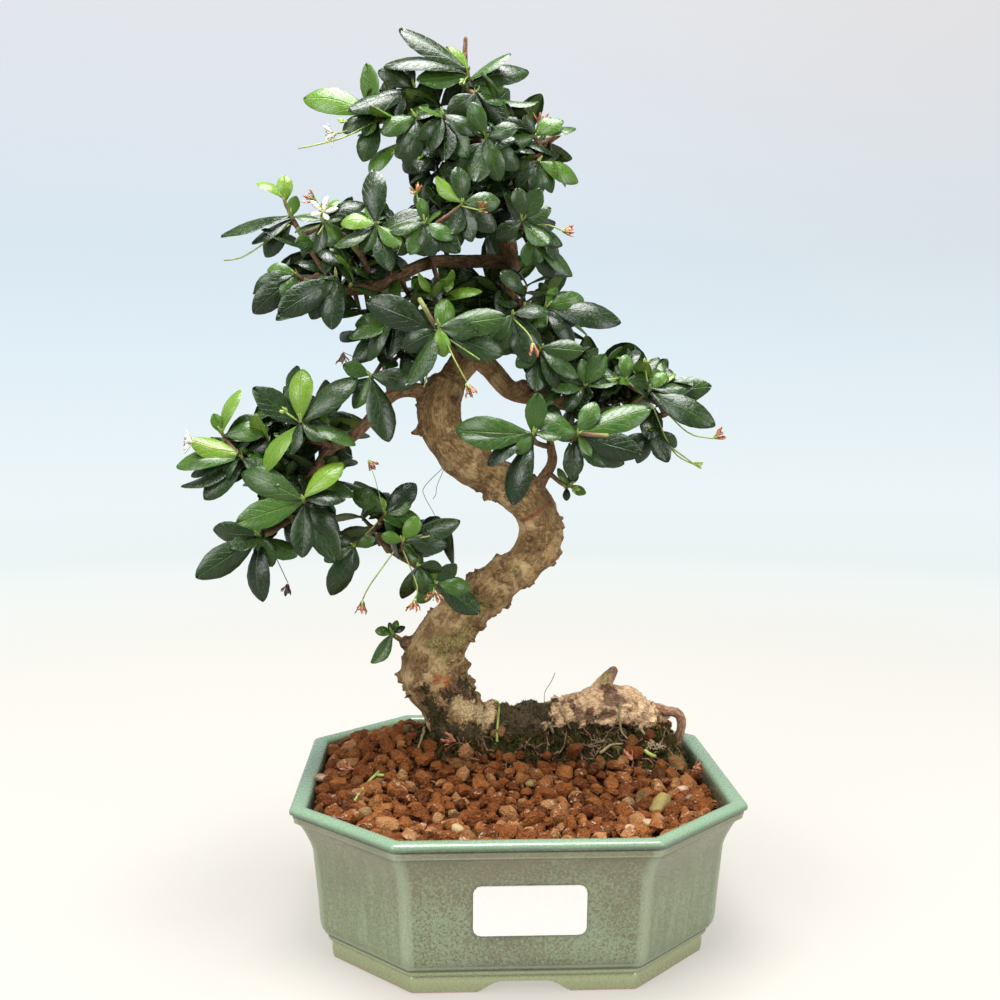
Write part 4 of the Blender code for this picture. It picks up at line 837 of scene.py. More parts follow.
woodLooks = {
    "voxel": 0.8,
    "step": 2.0,
    "lump": (9.0, 1.5),  # size and height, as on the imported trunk
    "lumpFade": (82.0, 96.0, 196.0, 215.0),
    "ridge": (4.2, 12.0, 0.60),  # width, length and height of the long ridges
    "fibre": (1.2, 5.0, 0.30),
    "fold": (4.6, 9.0, 2.4),  # length, width and height of the folds round the root
    "clusters": 95,
    "clusterReach": 4.2,
    "knobs": 5,  # in a cluster
    "knobSize": (0.75, 1.6),
    "knobHeight": (1.1, 2.3),
    "knobWarp": (1.7, 1.5),  # size and reach of what makes their outlines uneven
    "mossLine": (77.0, 80.0),
    "mossStart": -7.0,  # height of the moss on the trunk and on the root
    "mossEnd": 17.0,  # the root is mossy all round up to this x
    "seed": 5,
    # Places in the photograph: across, down and reach in millimetres
    "marks": {
        "lichen": [(447, 655, 9), (455, 640, 7), (440, 668, 6), (470, 600, 6), (500, 585, 5), (436, 645, 6),
                   (464, 630, 7), (483, 608, 6), (520, 570, 5), (604, 677, 4), (610, 669, 4), (600, 683, 3)],
        "rust": [(437, 679, 4.0), (447, 681, 3.5)],
        "fibrous": [(606, 688, 3.5), (613, 691, 3.5), (618, 698, 3), (619, 706, 2.5), (455, 690, 4), (466, 696, 3.5),
                    (446, 690, 3.5), (474, 701, 3), (455, 400, 3.5), (486, 493, 3), (590, 712, 3), (572, 706, 2.5)],
        "cream": [(470, 708, 9), (483, 715, 8), (460, 702, 6)],
        "mossy": [(437, 718, 9), (430, 705, 7), (452, 734, 10), (463, 686, 7), (472, 694, 6), (448, 693, 6),
                  (472, 735, 9), (425, 690, 4.5), (470, 662, 5), (440, 735, 9)],
    },
    "scar": [(521, 521), (530, 517), (541, 510), (551, 501)],
    "scarLow": [(486, 494), (494, 501), (502, 505)],
    "darkKnot": [(449, 470, 3), (504, 562, 3), (521, 582, 2.5), (487, 600, 4), (478, 622, 4), (494, 605, 3),
                 (538, 548, 3), (538, 533, 3), (549, 515, 3), (466, 652, 4), (517, 571, 2.5), (540, 521, 3),
                 (540, 567, 3), (470, 575, 2.5), (488, 640, 3.5), (526, 547, 3), (509, 581, 3), (513, 590, 2.5),
                 (454, 632, 3), (459, 645, 3), (405, 658, 3), (426, 659, 3), (433, 644, 2.5), (479, 590, 2.5),
                 (551, 536, 2.5), (530, 560, 2.5), (497, 574, 2.5), (443, 616, 2.5), (419, 676, 3), (462, 612, 2.5)],
}


class Stretches:
    # Straight stretches of all the limbs, to find the nearest one to many points at once
    def __init__(self, lines, step):
        starts, ends, marks = [], [], []
        self.frames = []
        for name, (points, _, _) in lines.items():
            path = smoothPath(points, step)
            frames = pathFrames([row.xyz for row in path])
            along = 0.0
            for i in range(len(path) - 1):
                starts.append(path[i])
                ends.append(path[i + 1])
                marks.append((name, along))
                self.frames.append(frames[i])
                along += (path[i + 1].xyz - path[i].xyz).length
        self.marks = marks
        self.a = np.array([tuple(row) for row in starts])
        self.b = np.array([tuple(row) for row in ends])

    def nearest(self, points):
        axis = self.b[:, :3] - self.a[:, :3]
        size = (axis * axis).sum(1)
        best = np.full(len(points), 1e9)
        which = np.zeros(len(points), int)
        share = np.zeros(len(points))
        for k in range(len(self.a)):
            off = points - self.a[k, :3]
            t = np.clip(off @ axis[k] / size[k], 0.0, 1.0)
            radius = self.a[k, 3] + (self.b[k, 3] - self.a[k, 3]) * t
            gap = np.linalg.norm(off - t[:, None] * axis[k], axis=1) - radius
            closer = gap < best
            best[closer] = gap[closer]
            which[closer] = k
            share[closer] = t[closer]
        return which, share, best


stretches = Stretches(limbs, woodLooks["step"])


def meshPoints(data):
    values = np.zeros(len(data.vertices) * 3)
    data.vertices.foreach_get("co", values)
    return values.reshape(-1, 3) / mm - np.array(potCentre)


def meshNormals(data):
    values = np.zeros(len(data.vertices) * 3)
    data.vertex_normals.foreach_get("vector", values)
    return values.reshape(-1, 3)


def bodyTree(data):
    return BVHTree.FromPolygons([Vector(p) for p in meshPoints(data)], [list(f.vertices) for f in data.polygons])


def sightHit(tree, spot):
    # Where the line of sight through a pixel meets a surface
    start = Vector(photoView["position"])
    hit = tree.ray_cast(start, sightLine(spot))
    return hit[0], hit[1]


def closeness(points, spots, reach):
    # 1 at the spots, falling to 0 at the reach
    near = np.full(len(points), 1e9)
    for spot in spots:
        near = np.minimum(near, np.linalg.norm(points - np.array(spot), axis=1))
    return np.clip(1 - near / reach, 0, 1)


def makeWoodMesh(looks):
    draw = random.Random(looks["seed"])
    builder = Builder()
    for name, (points, _, _) in limbs.items():
        path = smoothPath(points, looks["step"])
        addTube(builder, path, 28 if max(row[3] for row in points) > 6 else 14)
    rough = builder.mesh("wood_work")
    data = appliedMesh(rough, [("REMESH", {"mode": "VOXEL", "voxel_size": looks["voxel"] * mm}),
                               ("SMOOTH", {"factor": 0.5, "iterations": 3})])
    points = meshPoints(data)
    normals = meshNormals(data)
    which, share, _ = stretches.nearest(points)
    count = len(points)
    grain = np.zeros((count, 3))
    lift = np.zeros(count)
    thick = np.zeros(count)
    lumpSize, lumpHeight = looks["lump"]
    low, fullLow, fullHigh, high = looks["lumpFade"]
    ridgeWide, ridgeLong, ridgeHigh = looks["ridge"]
    fibreWide, fibreLong, fibreHigh = looks["fibre"]
    foldLong, foldWide, foldHigh = looks["fold"]
    for i in range(count):
        k = which[i]
        name, along = stretches.marks[k]
        a, b = stretches.a[k], stretches.b[k]
        radius = a[3] + (b[3] - a[3]) * share[i]
        side, up, ahead = stretches.frames[k]
        spot = Vector(points[i])
        off = spot - Vector(a[:3]).lerp(Vector(b[:3]), share[i])
        length = along + share[i] * float(np.linalg.norm(b[:3] - a[:3]))
        across = Vector((off.dot(side), off.dot(up), length))
        grain[i] = across
        thick[i] = radius
        strength = min(1.0, radius / 7.0)
        fade = min(1.0, max(0.0, (spot.z - low) / (fullLow - low)))
        fade *= min(1.0, max(0.0, (high - spot.z) / (high - fullHigh)))
        value = 0.0
        if name == "trunk":
            value += noise.noise(spot / lumpSize) * lumpHeight * fade
        ridge = noise.noise(Vector((across.x / ridgeWide, across.y / ridgeWide, length / ridgeLong)))
        fibre = noise.noise(Vector((across.x / fibreWide, across.y / fibreWide, length / fibreLong)))
        grit = noise.noise(spot / 1.3) + 0.6 * noise.noise(spot / 2.9)
        rough = 1.8 if name in ("root", "root_stub", "leader") or spot.z < 84 else 1.0
        if name == "root":
            value += noise.noise(Vector((length / foldLong, across.x / foldWide, across.y / foldWide))) * foldHigh
        value += (ridge * ridgeHigh * rough + fibre * fibreHigh) * strength + grit * 0.22 * strength * rough
        lift[i] = value
    old = np.array([stretches.marks[k][0] in ("trunk", "root") for k in which]) & (points[:, 2] > 66)
    candidates = np.flatnonzero(old)
    knobs = np.zeros(count)
    tree = bodyTree(data)
    spots = []
    for _ in range(looks["clusters"]):
        middle = Vector(points[draw.choice(candidates)])
        for _ in range(looks["knobs"]):
            off = Vector([draw.gauss(0, 0.5) for _ in range(3)]) * looks["clusterReach"]
            size = draw.uniform(*looks["knobSize"])
            spots.append((tree.find_nearest(middle + off)[0], size, draw.uniform(*looks["knobHeight"])))
    for u, v, size in looks["darkKnot"]:
        hit, _ = sightHit(tree, (u, v))
        if hit:
            spots.append((hit, size * 0.55, 1.9))
    warpSize, warpReach = looks["knobWarp"]
    warped = points + np.array([noise.noise_vector(Vector(p) / warpSize) for p in points]) * warpReach
    for spot, size, tall in spots:
        off = np.linalg.norm(warped - np.array(spot), axis=1) / size
        bump = np.exp(-off ** 2)
        lift += tall * bump * (1 - 0.35 * np.exp(-(off / 0.42) ** 2))
        knobs = np.maximum(knobs, bump)
    scar = np.zeros(count)
    for line in (looks["scar"], looks["scarLow"]):
        hits = [hit for hit in (sightHit(tree, spot)[0] for spot in line) if hit]
        dense = []
        for a, b in zip(hits[:-1], hits[1:]):
            dense += [a.lerp(b, t / 6) for t in range(6)]
        mark = closeness(points, dense + hits[-1:], 1.7)
        lift -= 0.55 * mark
        scar = np.maximum(scar, mark)
    points = points + normals * lift[:, None]
    data.vertices.foreach_set("co", ((points + np.array(potCentre)) * mm).ravel())
    marks = {}
    for title, places in looks["marks"].items():
        marks[title] = np.zeros(count)
        for u, v, size in places:
            hit, _ = sightHit(tree, (u, v))
            if hit:
                marks[title] = np.maximum(marks[title], closeness(points, [hit], size))
    height = points[:, 2]
    names = [stretches.marks[k][0] for k in which]
    isRoot = np.array([name in ("root", "root_stub") for name in names])
    isCurled = np.array([name == "curled_root" for name in names])
    trunkLine, rootLine = looks["mossLine"]
    torn = np.array([noise.noise(Vector(p) / 6.0) * 5.0 for p in points])
    rootLow = np.maximum(rootLine + torn - 0.15 * np.clip(points[:, 0] - 35, 0, 40) - height,
                         np.minimum(looks["mossEnd"] + torn * 1.5 - points[:, 0],
                                    points[:, 0] - looks["mossStart"] + torn))
    trunkLow = trunkLine + torn - height
    moss = np.clip(np.where(isRoot, rootLow, trunkLow) / 5.0 + 0.5, 0, 1)
    moss = np.maximum(moss, marks["mossy"] * 1.1) * (1 - 0.85 * isCurled)
    thin = np.clip((4.5 - thick) / 2.0, 0, 1) * ~isCurled
    for title, values in (("moss", moss), ("lichen", marks["lichen"]), ("rust", marks["rust"]),
                          ("cream", marks["cream"]), ("fibrous", marks["fibrous"]), ("scar", scar), ("knob", knobs),
                          ("thin", thin), ("pale", isRoot.astype(float)), ("curled", isCurled.astype(float)),
                          ("lift", np.clip(lift / 2 + 0.5, 0, 1))):
        layer = data.attributes.new(title, "FLOAT", "POINT")
        layer.data.foreach_set("value", values)
    layer = data.attributes.new("grain", "FLOAT_VECTOR", "POINT")
    layer.data.foreach_set("vector", (grain * mm).ravel())
    data.name = "wood_barked"
    return data


# Long fibres along a limb, used by the bark and the twigs
def makeFibres():
    tree, wiring, start, end = newGroup(
        "fibres",
        [("Grain", "NodeSocketVector", None), ("Scale", "NodeSocketFloat", 900.0),
         ("Stretch", "NodeSocketFloat", 0.2)],
        [("Mask", "NodeSocketFloat"), ("Flecks", "NodeSocketFloat"), ("Height", "NodeSocketFloat")])
    squeeze = wiring.node("ShaderNodeCombineXYZ", {0: 1.0, 1: 1.0, 2: start.outputs["Stretch"]})
    along = wiring.node("ShaderNodeVectorMath", {0: start.outputs["Grain"], 1: squeeze.outputs[0]},
                        operation="MULTIPLY").outputs[0]
    fibre = wiring.noise(along, start.outputs["Scale"], 4.0, 0.65)
    fleck = wiring.noise(along, wiring.math("MULTIPLY", start.outputs["Scale"], 1.7), 2.0, 0.5)
    wiring.put(end.inputs["Mask"], wiring.band(fibre, 0.36, 0.64))
    wiring.put(end.inputs["Flecks"], wiring.band(fleck, 0.60, 0.68))
    wiring.put(end.inputs["Height"], wiring.math("ADD", fibre, wiring.math("MULTIPLY", fleck, -0.4)))
    return tree


fibres = makeFibres()


def makeBark():
    material, wiring, shader = newMaterial("old_bark")
    at = wiring.position()
    grain = wiring.attribute("grain", "Vector")
    fibre = wiring.group(fibres, {"Grain": grain, "Scale": 1350.0, "Stretch": 0.30})
    patch = wiring.group(patches, {"Vector": at, "Scale": 95.0, "Level": 0.5, "Softness": 0.16})
    spots = wiring.group(patches, {"Vector": at, "Scale": 420.0, "Level": 0.57, "Softness": 0.05})
    grit = wiring.group(patches, {"Vector": at, "Scale": 1100.0, "Level": 0.5, "Softness": 0.15})
    lift = wiring.attribute("lift")
    tan = wiring.mix(fibre.outputs[0], (0.170, 0.090, 0.030), (0.430, 0.268, 0.112))
    tan = wiring.mix(wiring.math("MULTIPLY", patch.outputs[0], 0.25), tan, (0.270, 0.180, 0.072))
    tan = wiring.mix(wiring.band(patch.outputs[1], 0.50, 0.40, 0.0, 0.60), tan, (0.640, 0.445, 0.215))
    tan = wiring.mix(wiring.math("MULTIPLY", fibre.outputs[1], 0.45), tan, (0.120, 0.070, 0.034))
    # Painted shade: the bark is darker in the hollows of its relief
    hollowShade = wiring.band(lift, 0.46, 0.20)
    tan = wiring.mix(wiring.math("MULTIPLY", hollowShade, 0.60), tan, (0.150, 0.090, 0.044))
    knob = wiring.attribute("knob")
    # Painted highlight: the raised bark between the knobs is lighter
    raisedHighlight = wiring.math("MULTIPLY", wiring.band(lift, 0.55, 0.85), wiring.band(knob, 0.35, 0.10))
    tan = wiring.mix(wiring.math("MULTIPLY", raisedHighlight, 0.50), tan, (0.600, 0.430, 0.225))
    # A knob is a darker brown, with painted shade in a crease round it and in its pit
    wart = wiring.mix(grit.outputs[0], (0.105, 0.060, 0.026), (0.330, 0.210, 0.100))
    tan = wiring.mix(wiring.band(knob, 0.16, 0.50, 0.0, 0.50), tan, wart)
    crease = wiring.math("MULTIPLY", wiring.band(knob, 0.06, 0.20), wiring.band(knob, 0.50, 0.28))
    tan = wiring.mix(wiring.math("MULTIPLY", crease, 0.40), tan, (0.090, 0.050, 0.022))
    pitShade = wiring.mix(grit.outputs[0], (0.045, 0.024, 0.011), (0.170, 0.098, 0.046))
    tan = wiring.mix(wiring.math("MULTIPLY", wiring.band(knob, 0.62, 0.92), 0.65), tan, pitShade)
    tan = wiring.mix(wiring.math("MULTIPLY", spots.outputs[0], 0.50), tan, (0.120, 0.068, 0.028))
    beige = wiring.mix(fibre.outputs[0], (0.460, 0.280, 0.150), (0.860, 0.610, 0.365))
    beige = wiring.mix(wiring.math("MULTIPLY", spots.outputs[0], 0.55), beige, (0.250, 0.120, 0.060))
    # Painted shade: the root is darker in the hollows of its folds
    beige = wiring.mix(wiring.math("MULTIPLY", wiring.band(lift, 0.44, 0.10), 0.80), beige, (0.105, 0.052, 0.027))
    colour = wiring.mix(wiring.math("MULTIPLY", wiring.attribute("pale"), 0.9), tan, beige)
    twig = wiring.mix(fibre.outputs[0], (0.11, 0.055, 0.03), (0.32, 0.185, 0.10))
    colour = wiring.mix(wiring.math("MULTIPLY", wiring.attribute("thin"), 0.9), colour, twig)
    curled = wiring.mix(fibre.outputs[0], (0.16, 0.075, 0.040), (0.48, 0.28, 0.17))
    colour = wiring.mix(wiring.attribute("curled"), colour, curled)
    olive = wiring.mix(grit.outputs[0], (0.120, 0.100, 0.026), (0.400, 0.345, 0.125))
    growth = wiring.math("MULTIPLY", wiring.band(wiring.attribute("lichen"), 0.05, 0.6),
                         wiring.band(patch.outputs[1], 0.40, 0.60))
    colour = wiring.mix(wiring.math("MULTIPLY", growth, 0.75), colour, olive)
    cream = wiring.band(wiring.math("ADD", wiring.attribute("cream"), wiring.math(
        "SUBTRACT", grit.outputs[1], 0.5)), 0.2, 0.6, 0.0, 0.8)
    colour = wiring.mix(cream, colour, wiring.mix(grit.outputs[0], (0.36, 0.25, 0.11), (0.72, 0.58, 0.33)))
    black = wiring.mix(grit.outputs[0], (0.016, 0.011, 0.006), (0.085, 0.064, 0.026))
    wet = wiring.math("ADD", wiring.attribute("moss"), wiring.math("MULTIPLY", wiring.math(
        "SUBTRACT", spots.outputs[1], 0.5), 1.9))
    colour = wiring.mix(wiring.math("MULTIPLY", wiring.band(wet, 0.34, 0.56), 0.95), colour, black)
    rust = wiring.math("ADD", wiring.attribute("fibrous"), wiring.math("SUBTRACT", spots.outputs[1], 0.5))
    colour = wiring.mix(wiring.band(rust, 0.2, 0.5, 0.0, 0.9), colour,
                        wiring.mix(fibre.outputs[0], (0.045, 0.020, 0.012), (0.240, 0.105, 0.062)))
    rust = wiring.math("ADD", wiring.attribute("rust"), wiring.math("SUBTRACT", grit.outputs[1], 0.5))
    colour = wiring.mix(wiring.band(rust, 0.2, 0.6, 0.0, 0.85), colour,
                        wiring.mix(grit.outputs[0], (0.20, 0.055, 0.022), (0.56, 0.20, 0.065)))
    colour = wiring.mix(wiring.band(wiring.attribute("scar"), 0.25, 0.75, 0.0, 0.9), colour,
                        wiring.mix(grit.outputs[0], (0.16, 0.035, 0.015), (0.33, 0.10, 0.04)))
    wiring.put(shader.inputs["Base Color"], colour)
    wiring.put(shader.inputs["Roughness"], wiring.band(fibre.outputs[0], 0.0, 1.0, 0.9, 0.68))
    shader.inputs["Specular IOR Level"].default_value = 0.3
    relief = wiring.math("ADD", fibre.outputs[2], wiring.math("MULTIPLY", grit.outputs[1], 0.5))
    addBump(wiring, shader, relief, 0.0008, 0.8)
    return material


bark = makeBark()
woodMesh = makeWoodMesh(woodLooks)
addPiece("wood_barked", woodMesh, bark, "bark", "wood")
woodTree = bodyTree(woodMesh)
print("wood made", len(woodMesh.polygons))


# Soil
soilLooks = {
    "level": 58.0,
    "leftRise": 4.6,  # how much higher it lies at the left wall
    # The soil is heaped along a line under the trunk and root: height, reach and reach of its moss,
    # each at the line's left and right end
    "moundLine": ((-26.0, 24.0), (66.0, 32.0)),
    "moundTall": (21.0, 22.0),
    "moundReach": (37.0, 26.0),
    "moundClear": 17.0,  # from the pot's wall, where the heap ends
    "mossReach": (23.0, 29.0),
    "inset": 8.7,
    "granules": 1120,
    "size": (5.0, 9.6),
    "under": 330,  # granules lower down, seen between the others, with darker tints as painted shade in the gaps
    "crumbs": 1500,
    "seed": 21,
}


def moundSpot(x, y):
    # How far along the heap's line and how far off it a place is
    (ax, ay), (bx, by) = soilLooks["moundLine"]
    along = Vector((bx - ax, by - ay))
    spot = Vector((x - ax, y - ay))
    t = max(0.0, min(1.0, spot.dot(along) / along.length_squared))
    return t, (spot - along * t).length


def between(ends, t):
    return ends[0] + (ends[1] - ends[0]) * t


def soilLevel(x, y):
    t, off = moundSpot(x, y)
    tall, reach = between(soilLooks["moundTall"], t), between(soilLooks["moundReach"], t)
    soft = noise.noise(Vector((x, y, 3.0)) / 17.0) * 1.1 + noise.noise(Vector((x, y, 5.0)) / 4.5) * 0.6
    wide = potShape["rimHalf"] - soilLooks["inset"] - max(abs(x), abs(y))
    slope = (potShape["rimHalf"] + potShape["rimEdge"] - abs(x) - abs(y)) / math.sqrt(2) - soilLooks["inset"]
    clear = smoothStep((min(wide, slope) + 4.0) / soilLooks["moundClear"])
    level = soilLooks["level"] + soilLooks["leftRise"] * smoothStep((-x - 20.0) / 60.0)
    return level + tall * clear * math.exp(-((off / reach) ** 2)) + soft


def mossShare(x, y):
    t, off = moundSpot(x, y)
    torn = noise.noise(Vector((x, y, 9.0)) / 9.0) * 5.0
    return 1 - smoothStep((off + torn - between(soilLooks["mossReach"], t) + 3.5) / 7.0)


def insideSoil(x, y, margin):
    wide = potShape["rimHalf"] - soilLooks["inset"] - margin
    slope = (potShape["rimHalf"] + potShape["rimEdge"]) - (soilLooks["inset"] + margin) * math.sqrt(2)
    return max(abs(x), abs(y)) < wide and abs(x) + abs(y) < slope


def makeSoilBed():
    rings = 34
    verts = [(0.0, 0.0, soilLevel(0, 0))]
    moss = [mossShare(0, 0)]
    outer = [spot for (x, y, _), _ in potRing(soilLooks["inset"], 0.0, 2.2) for spot in [(x, y)]]
    count = len(outer)
    for ring in range(1, rings + 1):
        share = ring / rings
        for x, y in outer:
            rough = noise.noise(Vector((x * share, y * share, 0.0)) / 2.6) * 0.9
            verts.append((x * share, y * share, soilLevel(x * share, y * share) - 2.8 + rough))
            moss.append(mossShare(x * share, y * share))
    for inset, z in ((14.9, 46.0), (17.4, 24.0), (19.2, 14.0)):
        verts += [(x, y, z) for (x, y, _), _ in potRing(inset, z, 2.2)]
        moss += [0.0] * count
    faces = [[0, 1 + k, 1 + (k + 1) % count] for k in range(count)]
    total = rings + 3
    for ring in range(total - 1):
        for k in range(count):
            a = 1 + ring * count + k
            b = 1 + ring * count + (k + 1) % count
            faces.append([a, a + count, b + count, b])
    faces.append([len(verts) - count + k for k in range(count)][::-1])
    builder = Builder("moss")
    builder.add(verts, faces, moss=moss)
    return builder.mesh("soil_bed")


def lumpShape(name, seed, stretch, chip):
    # A rounded, chipped lump from a divided cube
    data = bpy.data.meshes.new(name)
    work = bmesh.new()
    bmesh.ops.create_cube(work, size=1.0)
    bmesh.ops.subdivide_edges(work, edges=work.edges, cuts=2, use_grid_fill=True)
    draw = random.Random(seed)
    cuts = [Vector((draw.uniform(-1, 1), draw.uniform(-1, 1), draw.uniform(-1, 1))).normalized() for _ in range(7)]
    for vert in work.verts:
        way = vert.co.normalized()
        size = 0.5 * (1 + 0.34 * noise.noise(way * 1.6 + Vector((seed * 3.1, 0, 0)))
                      + 0.24 * noise.noise(way * 3.9 + Vector((0, seed * 1.7, 0))))
        spot = way * size
        for cut in cuts:
            over = spot.dot(cut) - 0.5 * chip
            if over > 0:
                spot -= cut * over * 0.85
        vert.co = Vector((spot.x * stretch[0], spot.y * stretch[1], spot.z * stretch[2]))
    bmesh.ops.recalc_face_normals(work, faces=work.faces)
    work.to_mesh(data)
    work.free()
    return data


def anyTurn(draw, tilt):
    axis = Vector((draw.uniform(-tilt, tilt), draw.uniform(-tilt, tilt), 1.0)).normalized()
    side = axis.orthogonal().normalized()
    side.rotate(Matrix.Rotation(draw.uniform(0, math.tau), 3, axis))
    return side, axis.cross(side), axis


def makeGranuleClay():
    material, wiring, shader = newMaterial("baked_clay_granules")
    at = wiring.position()
    tint = wiring.attribute("tint")
    shade = wiring.attribute("shade")
    coarse = wiring.group(patches, {"Vector": at, "Scale": 260.0, "Level": 0.5, "Softness": 0.16})
    fine = wiring.group(patches, {"Vector": at, "Scale": 1100.0, "Level": 0.5, "Softness": 0.15})
    crust = wiring.group(patches, {"Vector": at, "Scale": 400.0, "Level": 0.60, "Softness": 0.04})
    up = wiring.part(wiring.node("ShaderNodeNewGeometry").outputs["Normal"], 2)
    colour = wiring.ramp(tint, [(0.0, (0.058, 0.012, 0.003)), (0.22, (0.128, 0.031, 0.007)),
                                (0.5, (0.212, 0.063, 0.014)), (0.78, (0.340, 0.128, 0.036)),
                                (0.93, (0.430, 0.225, 0.095)), (1.0, (0.300, 0.220, 0.100))])
    colour = wiring.mix(wiring.math("MULTIPLY", coarse.outputs[0], 0.45), colour, (0.095, 0.028, 0.008))
    colour = wiring.mix(wiring.math("MULTIPLY", fine.outputs[0], 0.25), colour, (0.460, 0.175, 0.050))
    pores = wiring.group(dots, {"Vector": at, "Scale": 800.0, "Size": 0.34, "Amount": 0.5})
    colour = wiring.mix(wiring.math("MULTIPLY", pores.outputs[0], 0.7), colour, (0.060, 0.018, 0.006))
    white = wiring.math("MULTIPLY", wiring.math("MULTIPLY", crust.outputs[0], wiring.band(up, 0.2, 0.8)),
                        wiring.band(shade, 0.40, 0.75))
    white = wiring.math("MULTIPLY", white, wiring.band(fine.outputs[1], 0.42, 0.56))
    colour = wiring.mix(wiring.math("MULTIPLY", white, 0.75), colour, (0.66, 0.52, 0.38))
    damp = wiring.band(shade, 0.10, 0.02)
    colour = wiring.mix(wiring.math("MULTIPLY", damp, 0.45), colour, (0.04, 0.034, 0.012))
    wiring.put(shader.inputs["Base Color"], colour)
    wiring.put(shader.inputs["Roughness"], wiring.band(fine.outputs[0], 0.0, 1.0, 0.84, 0.95))
    shader.inputs["Specular IOR Level"].default_value = 0.15
    relief = wiring.math("ADD", fine.outputs[1], wiring.math("MULTIPLY", crust.outputs[1], 3.0))
    relief = wiring.math("SUBTRACT", relief, wiring.math("MULTIPLY", pores.outputs[0], 0.5))
    addBump(wiring, shader, relief, 0.0016, 0.9)
    return material


def makeHumus():
    material, wiring, shader = newMaterial("dark_humus")
    at = wiring.position()
    coarse = wiring.group(patches, {"Vector": at, "Scale": 210.0, "Level": 0.5, "Softness": 0.12})
    fine = wiring.group(patches, {"Vector": at, "Scale": 1000.0, "Level": 0.5, "Softness": 0.12})
    colour = wiring.mix(coarse.outputs[0], (0.018, 0.010, 0.005), (0.060, 0.026, 0.011))
    colour = wiring.mix(wiring.math("MULTIPLY", fine.outputs[0], 0.3), colour, (0.10, 0.045, 0.020))
    green = wiring.mix(fine.outputs[0], (0.008, 0.008, 0.004), (0.045, 0.050, 0.012))
    colour = wiring.mix(wiring.attribute("moss"), colour, green)
    wiring.put(shader.inputs["Base Color"], colour)
    wiring.put(shader.inputs["Roughness"], wiring.band(fine.outputs[0], 0.0, 1.0, 0.75, 0.95))
    shader.inputs["Specular IOR Level"].default_value = 0.08
    addBump(wiring, shader, wiring.math("ADD", coarse.outputs[1], fine.outputs[1]), 0.0012, 0.9)
    return material


def granuleRows(looks):
    draw = random.Random(looks["seed"])
    rows = []
    cells = {}
    reach = potShape["rimHalf"]
    tries = 0
    while len(rows) < looks["granules"] and tries < 60000:
        tries += 1
        x, y = draw.uniform(-reach, reach), draw.uniform(-reach, reach)
        layer = len(rows) > 0.62 * looks["granules"]
        low, high = looks["size"]
        size = low + (high - low) * draw.random() ** 1.3
        if layer:
            size *= 0.8
        if not insideSoil(x, y, size * 0.36):
            continue
        near = []
        col, row = int(x // 10), int(y // 10)
        for i in (-1, 0, 1):
            for j in (-1, 0, 1):
                near += cells.get((col + i, row + j), [])
        room = 0.37 if layer else 0.40
        if any(math.hypot(x - a, y - b) < room * (size + s) * (0.78 if layer else 1.0) for a, b, s in near):
            continue
        cells.setdefault((col, row), []).append((x, y, size))
        mossy = mossShare(x, y)
        if draw.random() < mossy * 0.96:
            continue
        z = soilLevel(x, y) - 1.6 + (0.0 if layer else 1.2) + draw.uniform(-1.0, 1.0)
        tint = min(0.90, max(0.0, draw.gauss(0.50, 0.26)))
        if draw.random() < 0.05:
            tint = draw.uniform(0.92, 1.0)
        shade = draw.random() * (1 - 0.8 * mossy)
        rows.append(((x, y, z), anyTurn(draw, 0.9), (size, size, size), draw.randrange(6), tint, shade))
    while len(rows) < looks["granules"] + looks["under"] and tries < 90000:
        tries += 1
        x, y = draw.uniform(-reach, reach), draw.uniform(-reach, reach)
        if insideSoil(x, y, 3.5) and mossShare(x, y) < 0.4:
            size = draw.uniform(5.5, 8.0)
            # Painted shade: the lower granules get darker tints
            rows.append(((x, y, soilLevel(x, y) - 4.4), anyTurn(draw, 0.9), (size, size, size),
                         draw.randrange(6), draw.uniform(0.0, 0.4), draw.uniform(0.1, 0.5)))
    return rows


def makeSoil(looks):
    addPiece("soil_bed", makeSoilBed(), makeHumus(), "soil", "soil")
    lumps = [lumpShape("lump_%d" % k, k + 1, stretch, chip) for k, (stretch, chip) in enumerate((
        ((1.20, 1.00, 0.95), 0.72), ((1.0, 1.2, 0.90), 0.66), ((1.35, 0.9, 0.85), 0.70),
        ((1.05, 1.0, 1.1), 0.68), ((1.15, 1.2, 0.8), 0.64), ((1.45, 0.9, 0.85), 0.74)))]
    shapes = shapeCollection("granule_shapes", lumps)
    clay = makeGranuleClay()
    rows = granuleRows(looks)
    addPiece("granules", scatter("granules", rows, shapes, clay, 3, 0.06, 32), clay, "soil")
    draw = random.Random(looks["seed"] + 1)
    crumbs = []
    while len(crumbs) < looks["crumbs"]:
        x, y = draw.uniform(-84, 84), draw.uniform(-84, 84)
        if insideSoil(x, y, 1.0) and draw.random() > mossShare(x, y) * 0.9:
            size = draw.uniform(0.9, 2.6)
            z = soilLevel(x, y) + draw.uniform(-1.8, 0.4)
            crumbs.append(((x, y, z), anyTurn(draw, 1.0), (size, size, size), draw.randrange(2),
                           draw.uniform(0.1, 0.75), draw.random()))
    small = [lumpShape("crumb_%d" % k, 20 + k, (1.2, 0.9, 0.8), 0.8) for k in range(2)]
    for data in small:
        work = bmesh.new()
        work.from_mesh(data)
        bmesh.ops.dissolve_limit(work, angle_limit=math.radians(24), verts=work.verts, edges=work.edges)
        work.to_mesh(data)
        work.free()
    addPiece("crumbs", scatter("crumbs", crumbs, shapeCollection("crumb_shapes", small), clay, 4, 0.1, 32),
             clay, "soil")
    return rows


granules = makeSoil(soilLooks)
print("soil made", len(granules))


